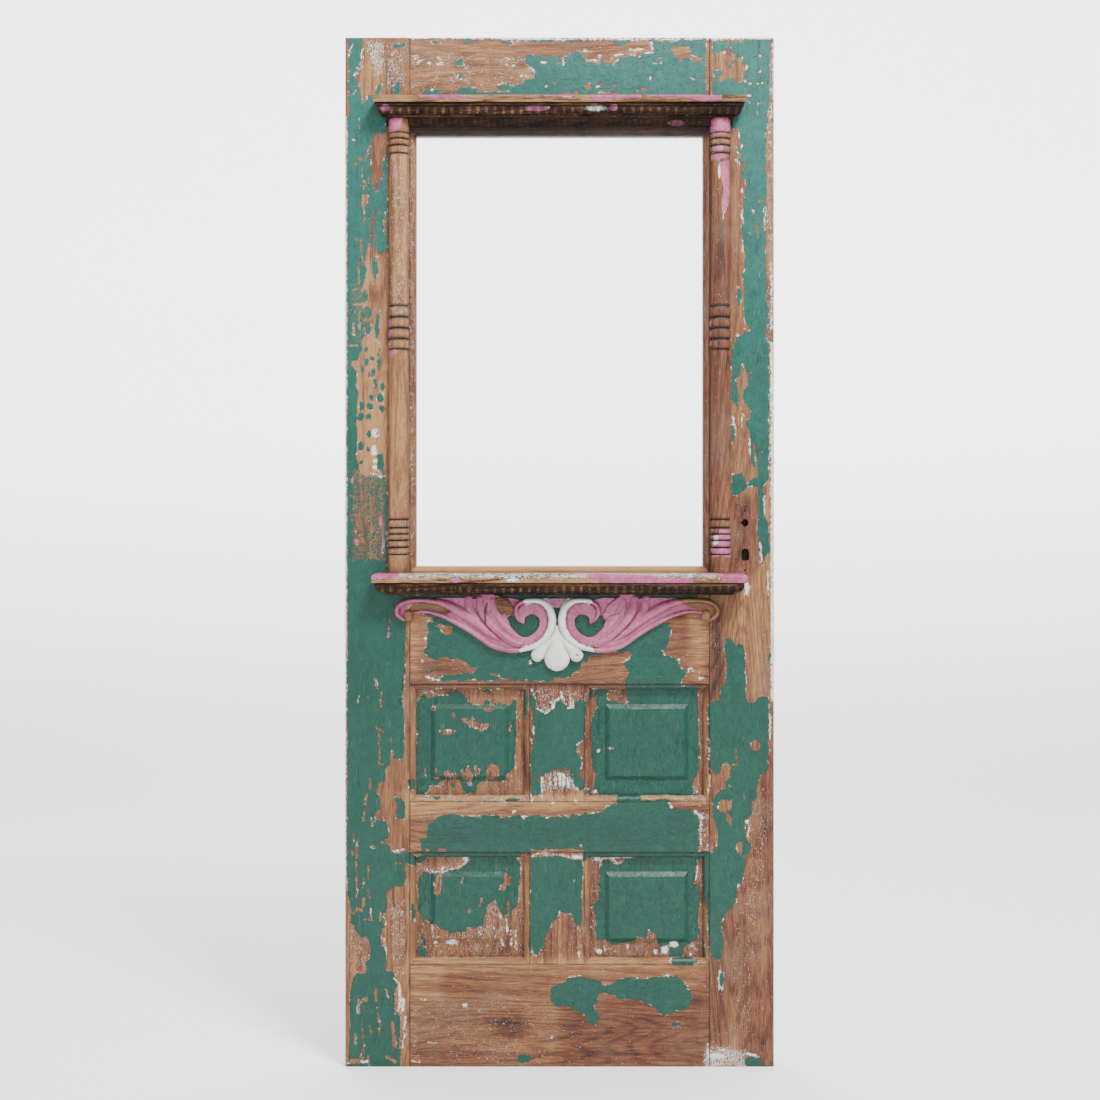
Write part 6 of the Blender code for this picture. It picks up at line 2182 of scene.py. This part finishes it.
def egg_levels(low: tuple[float, float], high: tuple[float, float], z: float,
               height: float) -> list[Level]:
    """The levels of an egg band, from its lower to its upper edge."""
    steps = 12
    found = []
    for k in range(steps + 1):
        turn = math.pi / 2 * k / steps
        out = math.sin(turn)
        found.append(Level(low[0] + (high[0] - low[0]) * out, low[1] + (high[1] - low[1]) * out,
                           z + height * (1 - math.cos(turn)), Ornament.EGGS, k / steps,
                           math.pi / 2 - turn))
    return found


@dataclass(frozen=True)
class Mouldings:
    """The cornice over the glass and the sill under it."""

    cornice_foot: float = 0.856
    sill_top: float = -0.041

    def cornice(self) -> PlantedMoulding:
        """Cove, fillet, egg band, bead and nose, from the foot up."""
        z = self.cornice_foot
        low, high, rise = (0.008, 0.002), (0.019, 0.0045), 0.0155
        levels = []
        steps = 10
        for k, (front, height) in enumerate(quarter((low[0], z), (high[0], z + rise), steps, False)):
            share = (front - low[0]) / (high[0] - low[0])
            levels.append(Level(front, low[1] + (high[1] - low[1]) * share, height, Ornament.LEAVES,
                                k / steps,
                                math.pi / 2 * k / steps))
        z += rise
        levels += [Level(0.0238, 0.0054, z), Level(0.024, 0.0055, z + 0.0003),
                   Level(0.024, 0.0055, z + 0.005)]
        z += 0.005
        levels += egg_levels((0.0255, 0.0064), (0.037, 0.018), z, 0.0145)
        z += 0.0145
        for k in range(7):
            bulge = 0.0015 * math.sin(math.pi * k / 6)
            levels.append(Level(0.039 + bulge, 0.0198 + bulge, z + 0.0048 * k / 6))
        z += 0.0048
        levels += [Level(0.0385, 0.0193, z), Level(0.0385, 0.0193, z + 0.001),
                   Level(0.045, 0.0236, z + 0.001)]
        z += 0.001
        for k in range(1, 7):
            share = k / 6
            out = math.sin(share * math.pi / 2)
            levels.append(Level(0.045 + 0.003 * out, 0.0236 + 0.0032 * out, z + 0.0092 * share))
        levels += [Level(0.048, 0.0268, z + 0.0115), Level(0.0475, 0.0263, z + 0.0127),
                   Level(0.0465, 0.0253, z + 0.0132)]
        return PlantedMoulding("cornice", tuple(levels), housings=True)

    def sill(self) -> PlantedMoulding:
        """Fillet, egg band, quirk, nose and rounded top edge, from the foot up."""
        z = self.sill_top - 0.044
        levels = [Level(0.027, 0.0033, z), Level(0.027, 0.0033, z + 0.005)]
        z += 0.005
        levels += egg_levels((0.0295, 0.0055), (0.0465, 0.0226), z, 0.017)
        z += 0.017
        levels += [Level(0.0445, 0.0206, z + 0.0002), Level(0.0445, 0.0206, z + 0.0025),
                   Level(0.0512, 0.0277, z + 0.0026)]
        z += 0.0025
        levels += [Level(0.052, 0.0285, z + 0.0009), Level(0.052, 0.0285, z + 0.0055)]
        z += 0.0099
        levels += [Level(0.052 - back, 0.0285 - back, height)
                   for back, height in quarter((0.0, z), (0.014, z + 0.0096), 9, False)]
        return PlantedMoulding("sill", tuple(levels))

    def build(self) -> None:
        """Makes and places both mouldings."""
        for moulding in (self.cornice(), self.sill()):
            show(moulding.build(MOULDING_WEAR), moulding.name)


class Section(Enum):
    """The shape across a strand of the carving."""

    ROUND = "round"
    FLAT = "flat"


Strand = Sequence[tuple[float, float, float, float]]

OUTER_RIM: Strand = ((151, 24.5, 1.2, 5.5), (157.4, 20.5, 2.2, 6), (159.8, 14.5, 2.4, 6.5),
                     (156, 8.3, 2.4, 6.5), (148, 5, 2.4, 6.5), (134, 4.2, 2.4, 6.5),
                     (119, 6, 3.4, 6.5), (106, 10.6, 4.6, 6.5), (94, 17.3, 5, 6),
                     (81, 26, 4.5, 6), (69, 36, 3.5, 5.2), (56, 45, 1.4, 3.2))
LOWER_RIM: Strand = ((144, 16.5, 1.2, 5), (134, 15.3, 1.6, 5), (125, 16.5, 1.8, 5), (113, 20.5, 2, 5),
                     (101, 26.5, 2.4, 5), (90, 32.5, 2.6, 5), (78, 40.5, 2.6, 5), (66, 49, 2.6, 5),
                     (53, 53.3, 2.6, 5), (41, 54.4, 2.5, 5.2), (30, 52.8, 1.8, 5))
ARM_FLOOR: Strand = ((153, 18, 5.5, 2.8), (150, 11.5, 6.5, 2.8), (134, 9.5, 5.8, 2.6),
                     (119, 11.5, 6, 2.4), (104, 18, 7, 2.4), (88, 28, 7, 2.4), (72, 40, 6, 2.4),
                     (58, 47.5, 4, 2.4), (44, 50, 3.6, 2.4), (35, 50.4, 3, 2.4))
EYE: Strand = ((148.2, 17.2, 3.4, 6), (148.2, 18.2, 4.6, 7), (148.2, 21, 4.6, 7), (148.2, 22, 3.4, 6))
SCROLL_RIM: Strand = ((33.6, 27.2, 0.8, 5), (38.6, 23, 1.6, 6), (41.2, 16.5, 1.9, 6.5),
                      (39.4, 9.4, 2.2, 6.5), (33, 5.2, 2.4, 7), (24, 4.4, 2.6, 7.5), (15, 5.8, 3.2, 7.5),
                      (8, 12, 4, 7.5), (5, 23, 4.3, 7.5), (6.8, 33, 4.3, 7.5), (12, 42, 4, 7),
                      (21, 49.3, 3.2, 6.5), (33, 53.5, 2, 5.5))
SCROLL_FLOOR: Strand = ((33.4, 26, 1, 4), (35.4, 20.6, 3.8, 3.8), (33.4, 15.4, 5.6, 3.5),
                        (26.4, 12.2, 6, 3.2), (18.4, 14, 6, 2.8), (13.6, 20.5, 4.8, 2.6),
                        (13.2, 28, 4.5, 2.6), (16, 35.5, 4.4, 2.8), (22.6, 42, 4.4, 3), (32, 46, 5, 3.2),
                        (43.5, 43, 6.2, 3.4), (53, 35, 8, 3.4), (60, 24, 10.5, 3.4), (66, 13, 11, 3.2),
                        (70, 4, 9, 3))
LEAF_FLOOR: Strand = ((118, 4, 2.2, 2.2), (104, 7.5, 6, 2.3), (90, 12, 10, 2.4), (78, 16, 13, 2.5),
                      (66, 17, 14, 2.5), (51, 11, 9.5, 2.5), (41, 11, 8, 2.5))
OUTER_RIDGE: Strand = ((88.5, 3, 4.4, 4.2), (87, 12, 4.8, 5), (81.5, 22, 4.2, 5.2), (73.5, 32, 3.2, 5),
                       (63, 41, 1.8, 4))
FIRST_RIDGE: Strand = ((77, 3, 4.4, 4.8), (75, 14, 4.8, 5.8), (68, 26, 4.4, 6), (58, 36.5, 3.8, 5.5),
                       (47, 44, 3, 5), (36, 48, 1.6, 4))
SECOND_RIDGE: Strand = ((65, 4, 3.4, 4.2), (61.5, 15, 4.6, 5.2), (55, 26, 4.2, 5.2), (47, 35, 3.4, 4.8),
                        (38, 41.6, 1.8, 4))
SIDE_LOBE: Strand = ((0.8, 31, 1, 3), (3.2, 39, 2.2, 4.5), (9.5, 47.5, 4, 6), (15.2, 53.6, 6, 7),
                     (18.8, 58, 6.9, 7), (19.6, 59.2, 6.4, 6.6))
MIDDLE_LOBE: Strand = ((0, 30, 1.2, 3), (0, 40, 4.4, 5), (0, 48, 7.6, 6.4), (0, 56, 10.6, 7.4),
                       (0, 61.4, 12.8, 7.6), (0, 63, 11.6, 7))
BRIDGE: Strand = ((-14, 7, 5, 2.4), (14, 7, 5, 2.4))
WHOLE_LOBE: Strand = ((64, 5, 5, 3.4), (57, 13, 7, 4), (50, 19.5, 4.4, 3.8))
BROKEN_LOBE: Strand = ((60, 4, 4.5, 3), (54, 9.5, 6.5, 3), (48, 14.5, 4.6, 2.8))


def smoothed(points: Strand, steps: int = 7) -> Points:
    """A smooth line through a strand's points.

    Args:
        points: The strand's points.
        steps: Parts between two points.

    Returns:
        Rows of across, down, half width and height.
    """
    known = np.array(points, float)
    padded = np.concatenate(([2 * known[0] - known[1]], known, [2 * known[-1] - known[-2]]))
    rows = []
    for before, start, end, after in zip(padded, padded[1:], padded[2:], padded[3:]):
        for t in np.arange(steps) / steps:
            bend = 2 * before - 5 * start + 4 * end - after
            twist = 3 * start - before - 3 * end + after
            rows.append(0.5 * (2 * start + (end - before) * t + bend * t * t + twist * t ** 3))
    return np.array([*rows, known[-1]])


@dataclass(frozen=True)
class ScrollCarving:
    """The carved scrolls, leaves and shell under the sill, as one relief."""

    name: str = "scroll_carving"
    axis: float = DOOR_WIDTH / 2 - 0.005
    top: float = -0.0885
    unit: float = 0.650 / 322
    step: float = 0.5
    reach: float = 166.0
    drop: float = 80.0

    def strands(self) -> list[tuple[Strand, Section, tuple[int, ...]]]:
        """(points, section, sides) of every strand, where side -1 is towards the hinge edge."""
        both = (-1, 1)
        found: list[tuple[Strand, Section, tuple[int, ...]]] = [
            (points, Section.ROUND, both)
            for points in (OUTER_RIM, LOWER_RIM, EYE, SCROLL_RIM, SIDE_LOBE, OUTER_RIDGE, FIRST_RIDGE,
                           SECOND_RIDGE)]
        found += [(points, Section.FLAT, both) for points in (ARM_FLOOR, SCROLL_FLOOR, LEAF_FLOOR)]
        found.append((BROKEN_LOBE, Section.FLAT, (-1,)))
        found.append((MIDDLE_LOBE, Section.ROUND, (1,)))
        return found + [(points, Section.FLAT, (1,)) for points in (BRIDGE, WHOLE_LOBE)]

    def measure(self, across: Points, down: Points) -> tuple[Points, Points]:
        """The relief at places of the carving's grid.

        Args:
            across: Units from the axis, positive towards the lock edge.
            down: Units below the top.

        Returns:
            How far inside the outline each place is, and its height, both in units.
        """
        inside = np.full(across.shape, -9.0)
        height = np.zeros(across.shape)
        for points, section, sides in self.strands():
            line = smoothed(points)
            for side in sides:
                self._add_strand(line * (side, 1, 1, 1), section, across, down, inside, height)
        return inside, height

    @staticmethod
    def _add_strand(line: Points, section: Section, across: Points, down: Points, inside: Points,
                    height: Points) -> None:
        """Raises the relief to one strand."""
        low, high = line[:, :2].min(0) - 14, line[:, :2].max(0) + 14
        near = (across > low[0]) & (across < high[0]) & (down > low[1]) & (down < high[1])
        x, y = across[near], down[near]
        best = np.full(x.shape, -9.0)
        tall = np.zeros(x.shape)
        for start, end in zip(line, line[1:]):
            run = end[:2] - start[:2]
            length = max(float(run @ run), 1e-9)
            share = np.clip(((x - start[0]) * run[0] + (y - start[1]) * run[1]) / length, 0, 1)
            gone = np.hypot(x - start[0] - share * run[0], y - start[1] - share * run[1])
            width = start[2] + (end[2] - start[2]) * share
            rise = start[3] + (end[3] - start[3]) * share
            depth = width - gone
            swell = np.sqrt(np.clip(1 - (gone / width) ** 2, 0, 1))
            here = rise * (0.2 + 0.8 * swell) if section is Section.ROUND else rise
            tall = np.where(depth > 0, np.maximum(tall, here), tall)
            best = np.maximum(best, depth)
        inside[near] = np.maximum(inside[near], best)
        height[near] = np.maximum(height[near], tall)

    def build(self) -> bpy.types.Object:
        """Makes the carving."""
        across = np.arange(-self.reach, self.reach + self.step, self.step)
        down = np.arange(-3.0, self.drop, self.step)
        x, y = np.meshgrid(across, down)
        inside, height = self.measure(x, y)
        x, y, height, used = self._snap(x, y, inside, height)
        numbers = -np.ones(x.shape, int)
        touched = np.zeros(x.shape, bool)
        for rows in (slice(None, -1), slice(1, None)):
            for columns in (slice(None, -1), slice(1, None)):
                touched[rows, columns] |= used
        numbers[touched] = np.arange(touched.sum())
        draft = MeshDraft()
        world = np.stack((self.axis + x * self.unit, FACE - GAP - height * self.unit,
                          self.top - y * self.unit), -1)
        draft.add_points(world[touched])
        cells = np.stack((numbers[:-1, :-1], numbers[1:, :-1], numbers[1:, 1:], numbers[:-1, 1:]),
                         -1)[used]
        draft.faces += [tuple(cell) for cell in cells.tolist()]
        self._add_rim(draft, cells)
        points = draft.points()
        fields = CARVING_WEAR.sample(points)
        hollow = self._hollows(height)[touched]
        fields[Field.SOIL_AND_SHADE][:len(hollow)] = np.maximum(fields[Field.SOIL_AND_SHADE][:len(hollow)], hollow)
        # painted shade on the relief's sides, where they meet the door's face
        fields[Field.SOIL_AND_SHADE][len(hollow):] = 0.7
        material = WornPaint(self.name + "_coats", Grain.LEVEL, flake=0.5).build()
        return draft.build(self.name + "_relief", material, fields, 60.0)

    def _snap(self, x: Points, y: Points, inside: Points,
              height: Points) -> tuple[Points, Points, Points, np.ndarray]:
        """Draws the grid's outer places onto the outline.

        Args:
            x: Places across.
            y: Places down.
            inside: How far inside the outline they are.
            height: Their height.

        Returns:
            The moved places, their heights, and which cells are used.
        """
        solid = inside > 0
        used = solid[:-1, :-1] | solid[1:, :-1] | solid[1:, 1:] | solid[:-1, 1:]
        moved_x, moved_y = x.copy(), y.copy()
        for _ in range(3):
            here, _ = self.measure(moved_x, moved_y)
            ahead, _ = self.measure(moved_x + 0.05, moved_y)
            below, _ = self.measure(moved_x, moved_y + 0.05)
            slope = np.stack(((ahead - here) / 0.05, (below - here) / 0.05))
            steep = np.maximum((slope ** 2).sum(0), 0.2)
            pull = ~solid & (here > -1.6)
            moved_x = np.where(pull, moved_x - here * slope[0] / steep, moved_x)
            moved_y = np.where(pull, moved_y - here * slope[1] / steep, moved_y)
        _, rim = self.measure(moved_x, moved_y)
        around = np.zeros(height.shape)
        for down_shift in (-1, 0, 1):
            for side_shift in (-1, 0, 1):
                around = np.maximum(around, np.roll(height * solid, (down_shift, side_shift),
                                                    (0, 1)) * 0.35)
        return moved_x, moved_y, np.where(solid, height, np.maximum(rim, around)), used

    @staticmethod
    def _hollows(height: Points) -> Points:
        """How much dirt and painted shade lie at each place: most where it is lower than what is round
        it.
        """
        smooth = height.copy()
        for axis in (0, 1):
            smooth = sum(np.roll(smooth, shift, axis) for shift in range(-5, 6)) / 11
        return np.clip((smooth - height) * 0.42 - 0.05, 0, 0.75)

    @staticmethod
    def _add_rim(draft: MeshDraft, cells: np.ndarray) -> None:
        """Carries the relief's outline straight back to the door's face."""
        sides = np.concatenate([cells[:, [k, (k + 1) % 4]] for k in range(4)])
        keys = {(a, b) for a, b in sides.tolist()}
        rim = [(a, b) for a, b in keys if (b, a) not in keys]
        points = draft.points()
        order = sorted({a for pair in rim for a in pair})
        back = points[order].copy()
        back[:, 1] = FACE - GAP
        numbers = dict(zip(order, draft.add_points(back).tolist()))
        for a, b in sorted(rim):
            draft.faces.append((b, a, numbers[a], numbers[b]))


@dataclass(frozen=True)
class Glazing:
    """The pane and the beads that hold it from behind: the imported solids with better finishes."""

    beads: tuple[str, ...] = ("glazing_bead_left", "glazing_bead_right", "glazing_bead_top",
                              "glazing_bead_bottom")

    def dress(self, nodes: dict[str, bpy.types.Object]) -> None:
        """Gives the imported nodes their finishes."""
        for name in self.beads:
            upright = name.endswith(("left", "right"))
            grain = Grain.UPRIGHT if upright else Grain.LEVEL
            self._assign(nodes[name], WornPaint(name + "_coats", grain, mapped=False).build())
        self._assign(nodes["glass_pane"], ClearGlass().build())

    @staticmethod
    def _assign(node: bpy.types.Object, material: bpy.types.Material) -> None:
        """Puts a finish in every slot of a node."""
        node.data.materials.clear()
        node.data.materials.append(material)
        LOG.info("%s: packed solid with %s", node.name, material.name)


@dataclass(frozen=True)
class Studio:
    """A pale floor, soft lights and the camera."""

    eye: tuple[float, float, float] = (0.432, -3.522, 0.063)
    view_width: float = 2.216
    sensor: float = 36.0
    shift: tuple[float, float] = (-0.0087, -0.0266)

    def build(self) -> None:
        """Makes the floor, the lights and the camera."""
        self._floor()
        self._lights()
        self._camera()

    def _floor(self) -> None:
        """A pale floor that sweeps up behind the door without an edge, and glows brighter towards the top
        as painted light on the backdrop.
        """
        draft = MeshDraft()
        low, radius, wall = -DOOR_HEIGHT / 2, 2.4, 5.0
        turns = np.linspace(0, math.pi / 2, 25)
        ys = np.concatenate(([-6.0, 0.0], wall - radius + radius * np.sin(turns), [wall]))
        zs = np.concatenate(([low, low], low + radius * (1 - np.cos(turns)), [6.0]))
        xs = np.linspace(-9.0, 10.0, 3)
        draft.add_lattice(np.stack([np.stack((xs, np.full(3, y), np.full(3, z)), -1) for y,
                                    z in zip(ys, zs)]))
        shop = NodeShop("studio_sweep")
        grit = shop.noise(shop.place(), 60.0, 3.0)
        colour = shop.blend(grit, Colour(232, 232, 232), Colour(238, 238, 238))
        # painted light: the sweep glows, dim at the floor and white higher up
        glow = shop.blend(shop.height().mask(-1.2, 0.6), Colour(70, 70, 70), Colour(255, 255, 255))
        shop.tree.links.new(glow.socket, shop.shader.inputs["Emission Color"])
        material = shop.finish(colour, 0.9, grit, 0.0002, {"Emission Strength": 2.6})
        floor = draft.build("studio_sweep", material, {}, 80.0)
        floor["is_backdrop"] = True

    def _lights(self) -> None:
        """Soft light from above and from the lock side, over a white room."""
        world = bpy.data.worlds.new("studio")
        world.use_nodes = True
        world.node_tree.nodes["Background"].inputs["Color"].default_value = (1.0, 1.0, 1.0, 1.0)
        world.node_tree.nodes["Background"].inputs["Strength"].default_value = 1.25
        bpy.context.scene.world = world
        for name, place, size, power in (("key", (1.7, -2.4, 3.6), 0.9, 400.0),
                                         ("back", (-0.6, 2.8, 2.8), 1.6, 60.0)):
            lamp = bpy.data.lights.new(name, "AREA")
            lamp.energy = power
            lamp.size = size
            made = bpy.data.objects.new(name, lamp)
            made.location = place
            aim = Vector((0.43, 0.0, 0.0)) - Vector(place)
            made.rotation_euler = aim.to_track_quat("-Z", "Y").to_euler()
            bpy.context.scene.collection.objects.link(made)

    def _camera(self) -> None:
        """A level camera before the face, at the photograph's distance."""
        data = bpy.data.cameras.new("camera")
        distance = FACE - self.eye[1]
        data.sensor_width = self.sensor
        data.lens = self.sensor * distance / self.view_width
        data.shift_x, data.shift_y = self.shift
        camera = bpy.data.objects.new("camera", data)
        camera.location = self.eye
        camera.rotation_euler = (math.pi / 2, 0.0, 0.0)
        bpy.context.scene.collection.objects.link(camera)
        bpy.context.scene.camera = camera


def main() -> list[Vector]:
    """Builds and dresses the whole door.

    Returns:
        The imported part's lowest and highest corner.
    """
    logging.basicConfig(level=logging.INFO, format="%(name)s %(message)s")
    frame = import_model()
    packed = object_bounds()
    JoinedFrame().build()
    Glazing().dress(frame["nodes"])
    for name, x in (("left_half_column", 0.1083), ("right_half_column", 0.7557)):
        show(HalfColumn(name, x).build(COLUMN_WEAR), name)
    Mouldings().build()
    show(ScrollCarving().build(), "scroll_carving")
    Studio().build()
    return list(packed)


if __name__ == "__main__":
    cad_box = main()
